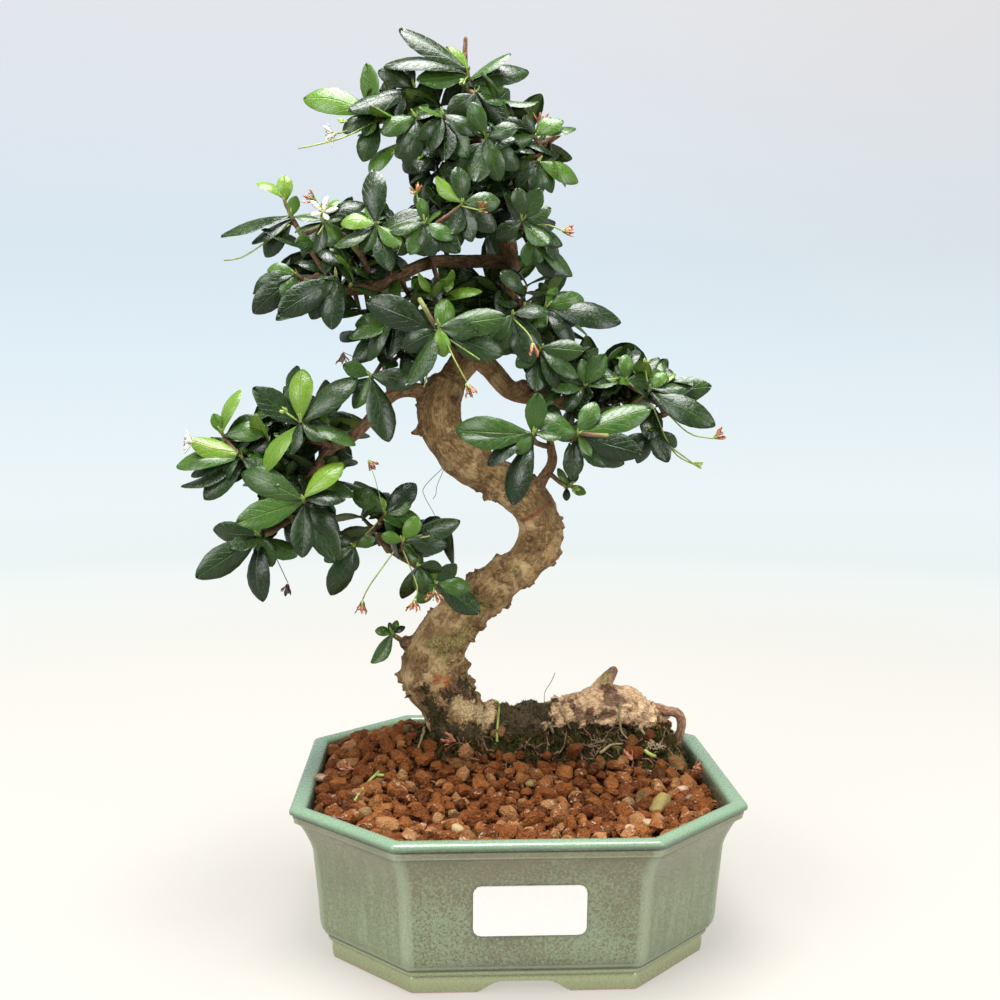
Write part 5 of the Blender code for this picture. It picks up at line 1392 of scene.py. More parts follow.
# Sprays. A stem is a run of (x, y, z, radius) that starts in the wood. A shoot is the place of its
# bud and its leaves, each as (heading, length): 0 degrees points right and 90 up, seen from the
# front. A number in place of the leaves makes a rosette of that many round the bud.
# A stalk is a run of places from a bud to its bloom.
sprays = {
    "spray_crown_top": {
        "stem": [(-17, 5, 350, 1.3), (-20, -1, 354, 1.3), (-21, -4, 359, 1.3)],
        "shoots": [
            ((-21, -5, 362), [(147, 33), (172, 34), (188, 21), (124, 16), (35, 21), (18, 27), (352, 16),
                              (338, 19)]),
            ((-18, -12, 352), [(265, 15), (215, 14), (310, 17), (238, 12), (340, 12)])],
    },
    "spray_crown_left": {
        "stem": [(-13, 6, 336, 1.5), (-32, 3, 338, 1.4), (-46, 0, 341, 1.2), (-57, -4, 343, 1.1)],
        "shoots": [
            ((-59, -5, 344), [(163, 32), (101, 23), (74, 20), (204, 15), (243, 10), (248, 18), (225, 9)]),
            ((-43, -3, 355), [(201, 28), (154, 15), (184, 17), (110, 12), (30, 14)]),
            ((-42, -10, 342), [(261, 22), (238, 16), (205, 15), (290, 14)])],
        "stalks": [[(-60, -6, 343), (-70, -9, 338), (-75, -11, 336)],
                   [(-60, -7, 342), (-72, -14, 334), (-84, -12, 331), (-91, -10, 330)]],
    },
    "spray_crown_middle": {
        "stem": [(-12, 7, 333, 1.5), (-19, -6, 338, 1.4), (-27, -16, 340, 1.2)],
        "shoots": [
            ((-31, -17, 341), [(248, 16), (272, 19), (215, 13), (300, 18), (335, 15), (160, 11)]),
            ((-14, -19, 333), [(285, 18), (255, 20), (320, 17), (225, 17), (20, 13), (120, 14)])],
    },
    "spray_crown_right": {
        "stem": [(6, 2, 333, 1.5), (9, -4, 333, 1.2), (10, -8, 332, 1.1)],
        "shoots": [
            ((7, -8, 336), [(14, 17), (52, 10), (30, 12), (160, 17), (195, 13), (125, 9)]),
            ((8, -11, 325), [(338, 19), (300, 13), (268, 13), (235, 14), (205, 13)])],
        "stalks": [[(8, -7, 338), (10, -4, 340), (9, -2, 342)]],
    },
    "spray_upper_left_tip": {
        "stem": [(-80, -6, 279, 1.4), (-86, -7, 288, 1.3), (-92, -8, 298, 1.2)],
        "shoots": [
            ((-94, -8, 301), [(196, 30), (206, 20), (228, 18), (75, 9), (10, 11)]),
            ((-97, -6, 308), [(140, 14), (92, 12)])],
        "stalks": [[(-95, -10, 299), (-105, -12, 291), (-115, -11, 285), (-122, -10, 284)]],
    },
    "spray_upper_left_low": {
        "stem": [(-74, -4, 272, 1.5), (-82, -12, 274, 1.4), (-89, -15, 276, 1.2)],
        "shoots": [
            ((-91, -16, 277), [(203, 19), (214, 22), (188, 11), (170, 12), (240, 12), (250, 15)]),
            ((-75, -22, 276), [(226, 13), (241, 20), (265, 21), (226, 25), (214, 29), (280, 15)])],
    },
    "spray_upper_left_front": {
        "stem": [(-62, -1, 275, 1.6), (-64, -14, 284, 1.4), (-70, -24, 292, 1.2)],
        "shoots": [
            ((-79, -28, 297), [(28, 18), (60, 10), (320, 11), (200, 12), (255, 14), (170, 11)]),
            ((-58, -31, 295), [(95, 24), (172, 14), (205, 19), (320, 13), (290, 17), (16, 22), (240, 12)])],
        "stalks": [[(-79, -29, 297), (-79, -33, 300)], [(-79, -30, 296), (-81, -34, 292)],
                   [(-76, -26, 299), (-82, -26, 306)]],
    },
    "spray_upper_middle": {
        "stem": [(-36, 6, 287, 1.5), (-38, -12, 292, 1.4), (-38, -24, 295, 1.2)],
        "shoots": [
            ((-39, -32, 296), [(285, 13), (322, 18), (335, 13), (245, 14), (190, 14), (95, 10)]),
            ((-24, -30, 304), [(328, 17), (285, 15), (250, 14), (140, 14), (95, 15), (5, 15)])],
        "stalks": [[(-39, -32, 298), (-42, -33, 308)], [(-24, -32, 304), (-17, -35, 302)]],
    },
    "spray_upper_right": {
        "stem": [(-4, 9, 297, 1.5), (-1, -4, 298, 1.4), (1, -14, 299, 1.2)],
        "shoots": [
            ((1, -18, 300), [(338, 20), (25, 13), (60, 14), (316, 15), (215, 13), (100, 12)]),
            ((6, -16, 294), [(315, 22), (322, 16), (298, 18), (283, 12), (255, 13)])],
        "stalks": [[(4, -17, 299), (12, -18, 299), (17, -18, 297)]],
    },
    "spray_middle_front": {
        "stem": [(-24, 8, 244, 1.7), (-28, -10, 250, 1.5), (-31, -26, 254, 1.3)],
        "shoots": [
            ((-33, -36, 255), [(8, 27), (248, 28), (205, 16), (163, 31), (330, 27), (280, 12), (78, 16),
                               (355, 15)])],
        "stubs": [[(-35, -37, 257), (-41, -37, 267)]],
        "stalks": [[(-34, -38, 252), (-39, -42, 232)],
                   [(-31, -38, 252), (-27, -41, 243), (-22, -41, 234)],
                   [(-29, -38, 251), (-17, -40, 243)]],
    },
    "spray_middle_left": {
        "stem": [(-54, 3, 230, 1.6), (-56, -6, 244, 1.4), (-53, -12, 256, 1.2)],
        "shoots": [
            ((-51, -14, 260), [(233, 21), (262, 17), (214, 20), (222, 24), (172, 16), (290, 13), (140, 12)]),
            ((-61, -21, 236), [(352, 18), (281, 27), (200, 16), (240, 15), (160, 12)])],
    },
    "spray_middle_right": {
        "stem": [(-6, 9, 264, 1.6), (0, -4, 264, 1.4), (5, -14, 262, 1.2)],
        "shoots": [
            ((-3, -26, 261), [(314, 17), (290, 20), (10, 14), (250, 15), (225, 14)]),
            ((11, -16, 265), [(12, 16), (352, 31), (334, 14), (312, 19), (255, 12), (60, 9)]),
            ((8, -26, 248), [(355, 18), (335, 20), (300, 17), (265, 17), (220, 13)])],
        "stalks": [[(-3, -28, 260), (2, -38, 254), (4, -41, 250)]],
    },
    "spray_right_inner": {
        "stem": [(25, 2, 226, 1.5), (27, -8, 229, 1.3), (28, -14, 231, 1.2)],
        "shoots": [
            ((28, -15, 232), [(95, 12), (60, 15), (140, 16), (10, 14), (255, 14), (225, 13), (185, 15)])],
    },
    "spray_right_far": {
        "stem": [(47, -2, 220, 1.5), (50, -10, 226, 1.3), (53, -14, 230, 1.2)],
        "shoots": [
            ((45, -14, 234), [(85, 12), (5, 19), (335, 13), (168, 12), (120, 8), (210, 12)]),
            ((55, -16, 231), [(4, 20), (325, 22), (322, 29), (12, 27), (345, 21), (50, 10)])],
        "stalks": [[(44, -16, 236), (39, -22, 236)], [(57, -18, 228), (72, -14, 214), (84, -10, 211)],
                   [(56, -18, 226), (66, -14, 206), (78, -10, 199)]],
    },
    "spray_right_under": {
        "stem": [(57, -3, 219, 1.4), (57, -7, 215, 1.3), (56, -11, 214, 1.2)],
        "shoots": [((56, -13, 214), [(300, 15), (330, 14), (255, 14), (215, 13)])],
    },
    "spray_low_right_outer": {
        "stem": [(14, -8, 211, 1.3), (17, -20, 213, 1.3), (21, -31, 214, 1.2)],
        "shoots": [
            ((23, -34, 213), [(20, 33), (60, 15), (155, 18), (345, 27), (331, 23), (320, 17), (266, 17),
                              (185, 9), (300, 10)])],
        "stubs": [[(23, -35, 214), (29, -37, 213), (35, -37, 213)]],
    },
    "spray_low_right_inner": {
        "stem": [(15, -5, 207, 1.3), (8, -18, 209, 1.3), (5, -30, 212, 1.2)],
        "shoots": [
            ((5, -36, 213), [(172, 30), (183, 32), (86, 18), (352, 11), (205, 21), (248, 27), (230, 10)])],
    },
    "spray_low_right_twig": {
        "stem": [(14, 2, 196, 1.3), (19, -1, 192, 1.1), (22, -2, 190, 1.0)],
        "shoots": [((23, -2, 190), [(330, 8), (120, 9), (60, 8), (270, 6)])],
    },
    "spray_left_top": {
        "stem": [(-79, -6, 206, 1.5), (-83, -16, 211, 1.4), (-87, -22, 215, 1.2)],
        "shoots": [
            ((-89, -25, 217), [(90, 22), (42, 30), (224, 25), (148, 25), (348, 22), (252, 14), (325, 13)])],
    },
    "spray_left_far": {
        "stem": [(-93, -8, 184, 1.5), (-104, -12, 193, 1.3), (-113, -16, 200, 1.2)],
        "shoots": [
            ((-123, -10, 211), [(75, 20), (12, 19), (40, 17), (110, 9)]),
            ((-114, -18, 202), [(162, 23), (175, 28), (192, 23), (204, 27), (213, 22), (330, 14),
                                (225, 13)])],
        "stalks": [[(-116, -20, 205), (-126, -24, 207), (-132, -24, 209)]],
    },
    "spray_left_middle": {
        "stem": [(-91, -8, 185, 1.5), (-89, -18, 186, 1.4), (-88, -24, 186, 1.2)],
        "shoots": [
            ((-88, -28, 186), [(45, 21), (5, 17), (155, 29), (203, 28), (270, 22), (294, 27), (320, 19),
                               (180, 18)])],
    },
    "spray_left_low": {
        "stem": [(-96, -9, 176, 1.2), (-102, -14, 172, 1.2), (-106, -17, 170, 1.1)],
        "shoots": [
            ((-107, -19, 170), [(175, 19), (219, 30), (268, 26), (331, 17), (100, 14), (200, 13),
                                (292, 14)])],
    },
    "spray_low_left_tip": {
        "stem": [(-60, -1, 170, 1.2), (-58, -7, 175, 1.1)],
        "shoots": [
            ((-56, -9, 178), [(145, 17), (45, 18), (110, 8), (352, 15), (300, 12), (20, 12)]),
            ((-68, -13, 165), [(245, 22), (262, 11), (150, 12), (20, 9), (200, 14)])],
        "stalks": [[(-59, -11, 175), (-64, -14, 170)]],
    },
    "spray_low_left_middle": {
        "stem": [(-50, 4, 160, 1.3), (-49, -7, 163, 1.2), (-48, -13, 166, 1.1)],
        "shoots": [
            ((-48, -15, 167), [(355, 19), (16, 25), (312, 14), (60, 12), (165, 10)]),
            ((-42, -16, 157), [(250, 16), (283, 12), (350, 11)])],
        "stalks": [[(-48, -17, 164), (-42, -20, 149), (-43, -20, 144)], [(-47, -17, 168), (-37, -18, 170)],
                   [(-52, -15, 163), (-62, -16, 149), (-65, -16, 143)]],
    },
    "spray_low_left_inner": {
        "stem": [(-34, 12, 148, 1.3), (-34, -4, 149, 1.2), (-34, -12, 149, 1.1)],
        "shoots": [((-34, -14, 149), [(45, 12), (325, 23), (352, 14), (150, 11), (225, 11), (100, 9)])],
        "stalks": [[(-35, -16, 148), (-35, -21, 147)]],
    },
    "spray_sprout": {
        "stem": [(-48, 17, 118, 1.2), (-51, 15, 120, 1.2), (-53, 13, 122, 1.1)],
        "shoots": [((-53, 13, 122), [(235, 16), (165, 8), (75, 6), (32, 6), (110, 6)])],
    },
    "spray_back_crown": {
        "stem": [(-14, 6, 341, 1.5), (-15, 16, 345, 1.3), (-15, 24, 349, 1.2)],
        "shoots": [((-16, 26, 351), 5), ((-33, 24, 345), 4), ((2, 24, 341), 4)],
    },
    "spray_back_upper": {
        "stem": [(-7, 9, 314, 1.6), (-8, 22, 318, 1.4), (-9, 34, 321, 1.2)],
        "shoots": [((-9, 38, 322), 5), ((-29, 34, 315), 4)],
    },
    "spray_back_upper_left": {
        "stem": [(-50, 5, 280, 1.5), (-54, 18, 286, 1.4), (-60, 30, 291, 1.2)],
        "shoots": [((-62, 33, 292), 5), ((-83, 20, 291), 4)],
    },
    "spray_back_middle": {
        "stem": [(-6, 10, 269, 1.6), (-8, 26, 275, 1.4), (-10, 42, 280, 1.2)],
        "shoots": [((-11, 46, 281), 5), ((-34, 40, 268), 4), ((14, 38, 270), 4)],
    },
    "spray_back_right": {
        "stem": [(30, 2, 224, 1.5), (33, 14, 230, 1.4), (36, 26, 235, 1.2)],
        "shoots": [((37, 30, 236), 5), ((58, 20, 231), 4)],
    },
    "spray_back_left": {
        "stem": [(-73, -3, 209, 1.5), (-78, 10, 213, 1.4), (-84, 20, 215, 1.2)],
        "shoots": [((-86, 23, 215), 5), ((-108, 14, 206), 4)],
    },
    "spray_back_left_low": {
        "stem": [(-94, -8, 179, 1.4), (-97, 4, 181, 1.3), (-100, 14, 180, 1.2)],
        "shoots": [((-101, 16, 179), 4)],
    },
    "spray_back_low_left": {
        "stem": [(-46, 6, 157, 1.3), (-50, 16, 164, 1.2), (-53, 22, 168, 1.1)],
        "shoots": [((-54, 24, 169), 4)],
    },
}
leafLooks = {
    "baseWidth": 5.0,
    "widthRate": 0.25,
    "widest": 13.0,
    "widthShare": 0.6,
    "stagger": 1.25,
    "budAbove": 2.6,
    "budTip": 0.8,
    "roll": 0.55,
    "smallest": 16,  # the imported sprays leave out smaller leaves
    "thick": 0.055,
    "tilt": (0.17, 0.16, -0.10, 0.34),  # lean step, up share, all, spread
    "swings": (0.0, 0.10, -0.10, 0.20, -0.20),
    "backLength": (19.0, 27.0),
    "backLift": (0.05, 0.45),
    "backTurns": (0.0, 0.25, -0.25, 0.5, -0.5),
    "seed": 11,
    "front": (0.0, -0.80, 0.50),
    "back": (0.0, 0.72, 0.55),
}
# How bright the younger leaves are, by spray and heading; the others are dark
leafTints = {
    "spray_crown_top": {124: 0.80, 188: 0.50, 338: 0.55, 35: 0.45, 352: 0.50},
    "spray_crown_left": {163: 0.72, 101: 0.60, 243: 0.50},
    "spray_crown_middle": {160: 0.55},
    "spray_crown_right": {52: 0.60, 30: 0.62, 14: 0.45, 338: 0.58},
    "spray_upper_left_tip": {140: 0.86, 92: 0.86, 75: 0.70, 10: 0.60},
    "spray_upper_left_front": {172: 0.80, 60: 0.70, 320: 0.62},
    "spray_upper_middle": {140: 0.84, 335: 0.50},
    "spray_upper_right": {316: 0.45},
    "spray_middle_front": {8: 0.40, 280: 0.78, 78: 0.62},
    "spray_middle_left": {214: 0.55, 172: 0.50},
    "spray_middle_right": {12: 0.50, 60: 0.66},
    "spray_left_top": {90: 0.84, 224: 0.80, 348: 0.45},
    "spray_left_far": {75: 0.80, 162: 0.84, 12: 0.55, 175: 0.50, 110: 0.70},
    "spray_left_middle": {45: 0.86, 203: 0.50, 155: 0.35},
    "spray_left_low": {100: 0.76, 331: 0.42},
    "spray_low_left_tip": {110: 0.90, 352: 0.48, 145: 0.40},
    "spray_low_left_middle": {60: 0.70, 165: 0.66},
    "spray_low_left_inner": {100: 0.60, 225: 0.55},
    "spray_low_right_outer": {20: 0.48, 60: 0.50, 155: 0.42, 185: 0.50},
    "spray_low_right_inner": {183: 0.42, 86: 0.50, 172: 0.38},
    "spray_low_right_twig": {330: 0.60, 120: 0.60},
    "spray_right_inner": {60: 0.50},
    "spray_right_far": {85: 0.55, 50: 0.62},
    "spray_sprout": {235: 0.45, 75: 0.60},
}
goldenAngle = math.radians(137.5)
goldenShare = 0.618


# Leaf shapes, one unit long and wide: x across, y along, z up
leafOutline = [(0.0, 0.09), (0.05, 0.14), (0.14, 0.34), (0.28, 0.65), (0.44, 0.90), (0.60, 1.0), (0.74, 0.93),
               (0.86, 0.70), (0.935, 0.44), (0.98, 0.20)]
leafKinds = [
    # bend, tip droop, fold, cup, twist, tooth, point
    (0.10, 0.10, 0.30, 0.10, 0.00, 0.06, 0.25),
    (0.18, 0.22, 0.26, 0.08, 0.16, 0.00, 0.05),
    (0.04, 0.04, -0.12, 0.12, -0.14, 0.08, 0.35),
    (0.14, 0.34, 0.24, 0.06, 0.28, 0.00, 0.15),
    (0.08, -0.10, 0.34, 0.12, -0.26, 0.05, 0.30),
    (0.22, 0.28, 0.28, 0.14, 0.06, 0.00, 0.0),
]


def leafShape(name, kind):
    bend, droop, fold, cup, twist, tooth, point = kind
    builder = Builder("leafAcross", "leafAlong", "under")
    verts, across, along, under = [], [], [], []
    thick = leafLooks["thick"]
    rows = len(leafOutline)
    for row, (s, width) in enumerate(leafOutline):
        half = 0.5 * width * (1 - point * max(0.0, s - 0.55))
        if row == 7:
            half *= 1 - tooth
        middle = bend * 4 * s * (1 - s) - droop * max(0.0, s - 0.45) ** 2 * 3.3
        turn = twist * s
        for column, share in enumerate((-1.0, -0.52, 0.0, 0.52, 1.0)):
            x = half * share
            z = -fold * abs(x) - cup * (2 * x) ** 2 * 0.5
            z += (thick * 0.1, thick, -thick * 0.6 if row > 1 else thick)[2 - round(abs(share) * 2)]
            verts.append((x * math.cos(turn) - z * math.sin(turn), s, middle + z * math.cos(turn)
                          + x * math.sin(turn)))
            across.append(0.5 + 0.5 * share * max(0.15, width))
            along.append(s)
            under.append(0.0)
        verts.append((0.0, s, middle - thick * 0.6))
        across.append(0.5)
        along.append(s)
        under.append(1.0)
    tip = -droop * 0.55 ** 2 * 3.3
    verts.append((0.0, 1.0, tip))
    across.append(0.5)
    along.append(1.0)
    under.append(0.3)
    faces = [[0, 1, 2, 3, 4, 5]]
    for row in range(rows - 1):
        a = row * 6
        faces += [[a + k, a + k + 1, a + k + 7, a + k + 6] for k in range(4)]
        faces += [[a, a + 6, a + 11, a + 5], [a + 4, a + 5, a + 11, a + 10]]
    a = (rows - 1) * 6
    last = len(verts) - 1
    faces += [[a + k, a + k + 1, last] for k in range(4)] + [[a, last, a + 5], [a + 4, a + 5, last]]
    builder.add(verts, faces, leafAcross=across, leafAlong=along, under=under)
    return builder.mesh(name, placed=False)


leafShapes = shapeCollection("leaf_shapes", [leafShape("leaf_%d" % k, kind) for k, kind in enumerate(leafKinds)])


def leafWidth(length):
    return min(leafLooks["widest"], leafLooks["widthShare"] * length,
               leafLooks["baseWidth"] + leafLooks["widthRate"] * length)


def leafNormal(axis, chord, roll):
    along = chord.normalized()
    normal = axis - along * axis.dot(along)
    if normal.length < 0.25:
        normal += Vector(leafLooks["front"])
        normal -= along * normal.dot(along)
    normal.normalize()
    return normal * math.cos(roll) + along.cross(normal) * math.sin(roll)


def shootAxis(name, hub, start):
    outward = (hub - start).normalized()
    side = leafLooks["back"] if name.startswith("spray_back") else leafLooks["front"]
    return (Vector(side) + outward * 0.35).normalized()


def wantedLeaves(shoot, axis, draw):
    # Each leaf of a shoot: its heading, and the chords it may have, best first
    leaves = shoot[1]
    wishes = []
    step, upShare, allShare, spread = leafLooks["tilt"]
    if isinstance(leaves, int):
        across = axis.orthogonal().normalized()
        other = axis.cross(across)
        start = draw.uniform(0.0, math.tau)
        for k in range(leaves):
            angle = start + k * goldenAngle
            length = draw.uniform(*leafLooks["backLength"])
            lift = draw.uniform(*leafLooks["backLift"])
            tries = []
            for turn in leafLooks["backTurns"]:
                for rise in leafLooks["backTurns"][:3]:
                    flat = across * math.cos(angle + turn) + other * math.sin(angle + turn)
                    tries.append((flat + axis * (lift + rise)).normalized() * length)
            wishes.append((None, tries))
        return wishes
    grown = [row for row in leaves if row[1] >= leafLooks["smallest"]] or leaves
    for k, (heading, length) in enumerate(grown):
        angle = math.radians(heading)
        share = ((k + 1) * goldenShare + draw.uniform(0.0, 0.3)) % 1.0 - 0.5
        lean = upShare * math.sin(angle) + allShare + spread * share
        tries = []
        for off in (0, 1, -1, 2, -2, 3, -3, 4, -4, 5, -5):
            for swing in leafLooks["swings"]:
                flat = Vector((math.cos(angle + swing), lean + off * step, math.sin(angle + swing)))
                tries.append(flat * length)
        wishes.append((heading, tries))
    return wishes


def packedChord(tree, base, tries):
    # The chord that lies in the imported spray, which kept clear of the wood and the other sprays
    best, found = 0.8, tries[0]
    for chord in tries:
        gap = 0.0
        for s in (0.45, 0.8, 0.97):
            gap = max(gap, tree.find_nearest(base + chord * s)[3])
            if gap >= best:
                break
        if gap < best:
            best, found = gap, chord
            if gap < 0.55:
                break
    return found


leafRows = {name: [] for name in sprays}
twigPaths = []
stalkPaths = []
hubs = []


def addLeaf(name, base, chord, normal, width, tint, shade, draw):
    along = chord.normalized()
    side = along.cross(normal).normalized()
    up = side.cross(along)
    leafRows[name].append((base, (side, along, up), (width, chord.length, width), draw.randrange(len(leafKinds)),
                           tint, shade))


def planSprays():
    draw = random.Random(leafLooks["seed"])
    extra = random.Random(40)
    for name, spray in sprays.items():
        tree = bodyTree(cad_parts[name].data)
        stem = smoothPath(spray["stem"], 3.0)
        clear = [k for k, gap in enumerate(stretches.nearest(np.array([row.xyz[:] for row in stem]))[2])
                 if gap > 0.3]
        start = stem[clear[0]].xyz if clear else stem[0].xyz
        twigPaths.append([(*row.xyz, row.w) for row in stem])
        for shoot in spray["shoots"]:
            hub = Vector(shoot[0])
            axis = shootAxis(name, hub, start)
            wishes = wantedLeaves(shoot, axis, draw)
            low = hub - axis * (leafLooks["stagger"] * (len(wishes) - 1) - leafLooks["budAbove"] + 1.6)
            near = min((row.xyz for row in stem[1:]), key=lambda spot: (spot - low).length)
            twigPaths.append([(*near, 1.05), (*near.lerp(low, 0.5), 0.95), (*low, 0.95),
                              (*(hub + axis * leafLooks["budAbove"]), 0.7)])
            hubs.append((name, hub, axis, near))
            for k, (heading, tries) in enumerate(wishes):
                base = hub + axis * (leafLooks["budAbove"] - leafLooks["budTip"] - leafLooks["stagger"] * k)
                roll = draw.uniform(-leafLooks["roll"], leafLooks["roll"])
                chord = packedChord(tree, base, tries)
                tint = leafTints.get(name, {}).get(heading, extra.uniform(0.0, 0.34))
                addLeaf(name, base, chord, leafNormal(axis, chord, roll), leafWidth(chord.length), tint,
                        extra.random(), extra)
            if isinstance(shoot[1], int):
                continue
            small = [row for row in shoot[1] if row[1] < leafLooks["smallest"]]
            if len(small) == len(shoot[1]):
                continue
            for heading, length in small:
                angle = math.radians(heading)
                flat = Vector((math.cos(angle), extra.uniform(-0.35, 0.05), math.sin(angle)))
                tint = leafTints.get(name, {}).get(heading, extra.uniform(0.1, 0.55))
                chord = flat * length
                addLeaf(name, hub + axis * extra.uniform(0.5, 2.4), chord,
                        leafNormal(axis, chord, extra.uniform(-0.6, 0.6)), leafWidth(length), tint,
                        extra.random(), extra)
        stalkPaths.extend(spray.get("stalks", []))
        for stub in spray.get("stubs", []):
            twigPaths.append([(*place, 1.0) for place in stub])


planSprays()


# Crown filling: rosettes inside the pads of foliage, behind the leaves that were read one by one.
# A pad is its spray, centre, half sizes and number of rosettes.
crownLooks = {
    "pads": [
        ("spray_crown_top", (-20, 2, 351), (15, 12, 13), 7),
        ("spray_crown_left", (-42, 2, 338), (18, 12, 10), 7),
        ("spray_crown_middle", (-18, 0, 330), (20, 14, 14), 10),
        ("spray_crown_right", (0, 0, 326), (11, 12, 12), 6),
        ("spray_upper_left_tip", (-86, 2, 293), (14, 12, 8), 5),
        ("spray_upper_left_low", (-80, -2, 277), (16, 14, 9), 7),
        ("spray_upper_left_front", (-58, -2, 296), (18, 14, 8), 9),
        ("spray_upper_middle", (-30, 2, 304), (20, 16, 10), 9),
        ("spray_upper_right", (2, 2, 304), (14, 14, 10), 7),
        ("spray_middle_front", (-36, -4, 262), (18, 14, 11), 7),
        ("spray_middle_left", (-57, 2, 258), (14, 12, 15), 7),
        ("spray_middle_right", (4, 0, 262), (16, 14, 14), 9),
        ("spray_right_inner", (22, 0, 236), (16, 12, 9), 6),
        ("spray_right_far", (52, -2, 231), (18, 12, 8), 8),
        ("spray_low_right_outer", (24, -10, 214), (14, 10, 7), 4),
        ("spray_left_top", (-88, 0, 218), (14, 12, 10), 7),
        ("spray_left_far", (-112, -2, 204), (14, 12, 10), 7),
        ("spray_left_middle", (-88, -4, 190), (14, 12, 10), 7),
        ("spray_left_low", (-106, -4, 174), (10, 10, 8), 4),
        ("spray_low_left_tip", (-58, 0, 172), (10, 9, 9), 4),
        ("spray_low_left_middle", (-45, -2, 162), (10, 9, 8), 4),
        ("spray_low_left_inner", (-33, -2, 148), (7, 8, 6), 2),
        ("spray_back_crown", (-14, 22, 343), (16, 8, 12), 6),
        ("spray_back_upper", (-18, 28, 312), (20, 9, 14), 8),
        ("spray_back_upper_left", (-66, 22, 284), (22, 9, 10), 6),
        ("spray_back_middle", (-12, 32, 268), (24, 9, 16), 9),
        ("spray_back_right", (42, 20, 230), (22, 9, 9), 7),
        ("spray_back_left", (-92, 16, 206), (20, 8, 12), 7),
        ("spray_back_left_low", (-98, 12, 182), (12, 8, 8), 3),
        ("spray_back_low_left", (-52, 18, 164), (10, 7, 8), 3),
    ],
    "apart": 8.5,
    "leaves": (5, 8),
    "length": (14.0, 25.0),
    "seed": 77,
}


def nearestWood(point):
    # The closest place on the limbs and stems for a new twig to start from
    best, found = 1e9, None
    for path in woodPaths:
        for row in path:
            gap = (Vector(row[:3]) - point).length
            if gap < best:
                best, found = gap, Vector(row[:3])
    return found


woodPaths = [[tuple(row) for row in smoothPath(points, 4.0)] for key, (points, _, _) in limbs.items()
             if key not in ("root", "root_stub", "curled_root")]
woodPaths += [list(path) for path in twigPaths]


def sprayTree():
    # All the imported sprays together, to keep added leaves inside their outline
    verts, faces = [], []
    for name in sprays:
        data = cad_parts[name].data
        first = len(verts)
        verts += [Vector(p) for p in meshPoints(data)]
        faces += [[first + k for k in face.vertices] for face in data.polygons]
    return BVHTree.FromPolygons(verts, faces)


def isHidden(tree, spot):
    # Whether the camera sees packed foliage at this place or near it
    start = Vector(photoView["position"])
    for across, up in ((0, 0), (1.6, 0), (-1.6, 0), (0, 1.6), (0, -1.6)):
        way = spot + viewRight * across + viewUp * up - start
        if tree.ray_cast(start, way.normalized())[0]:
            return True
    return False


def fillCrown(looks):
    draw = random.Random(looks["seed"])
    outline = sprayTree()
    taken = [hub for _, hub, _, _ in hubs]
    for name, centre, half, count in looks["pads"]:
        middle = Vector(centre)
        made = tries = 0
        while made < count and tries < 400:
            tries += 1
            way = Vector([draw.gauss(0, 1) for _ in range(3)]).normalized()
            reach = draw.uniform(0.35, 1.0) ** 0.5
            hub = middle + Vector([way[k] * half[k] * reach for k in range(3)])
            if any((hub - spot).length < looks["apart"] for spot in taken):
                continue
            if stretches.nearest(np.array([hub[:]]))[2][0] < 4.0:
                continue
            made += 1
            taken.append(hub)
            root = nearestWood(hub)
            outward = (hub - middle)
            outward = Vector([outward[k] / half[k] for k in range(3)])
            axis = (outward * 0.8 + Vector((0, -0.12, 0.75)) + (hub - root).normalized() * 0.3).normalized()
            bend = root.lerp(hub, 0.5) + Vector((0, 0, -0.10 * (hub - root).length))
            path = smoothPath([(*root, 1.2), (*bend, 1.0), (*hub, 0.8)], 4.0)
            twigPaths.append([tuple(row) for row in path])
            across = axis.orthogonal().normalized()
            other = axis.cross(across)
            start = draw.uniform(0, math.tau)
            bright = draw.random() < 0.04 and centre[2] > 200
            for k in range(draw.randint(*looks["leaves"])):
                angle = start + k * goldenAngle
                length = draw.uniform(*looks["length"]) * (1 - 0.055 * k)
                lift = 0.05 + 0.17 * k + draw.uniform(-0.1, 0.1)
                flat = across * math.cos(angle) + other * math.sin(angle)
                chord = (flat + axis * lift).normalized() * length
                base = hub - axis * (3.2 - 0.9 * k)
                tint = draw.uniform(0.55, 0.85) if bright or draw.random() < 0.04 else draw.uniform(0.0, 0.40)
                if not (isHidden(outline, base + chord) and isHidden(outline, base + chord * 0.7)):
                    continue
                addLeaf(name, base, chord, leafNormal(axis, chord, draw.uniform(-0.65, 0.65)),
                        leafWidth(length), tint, draw.random(), draw)


fillCrown(crownLooks)


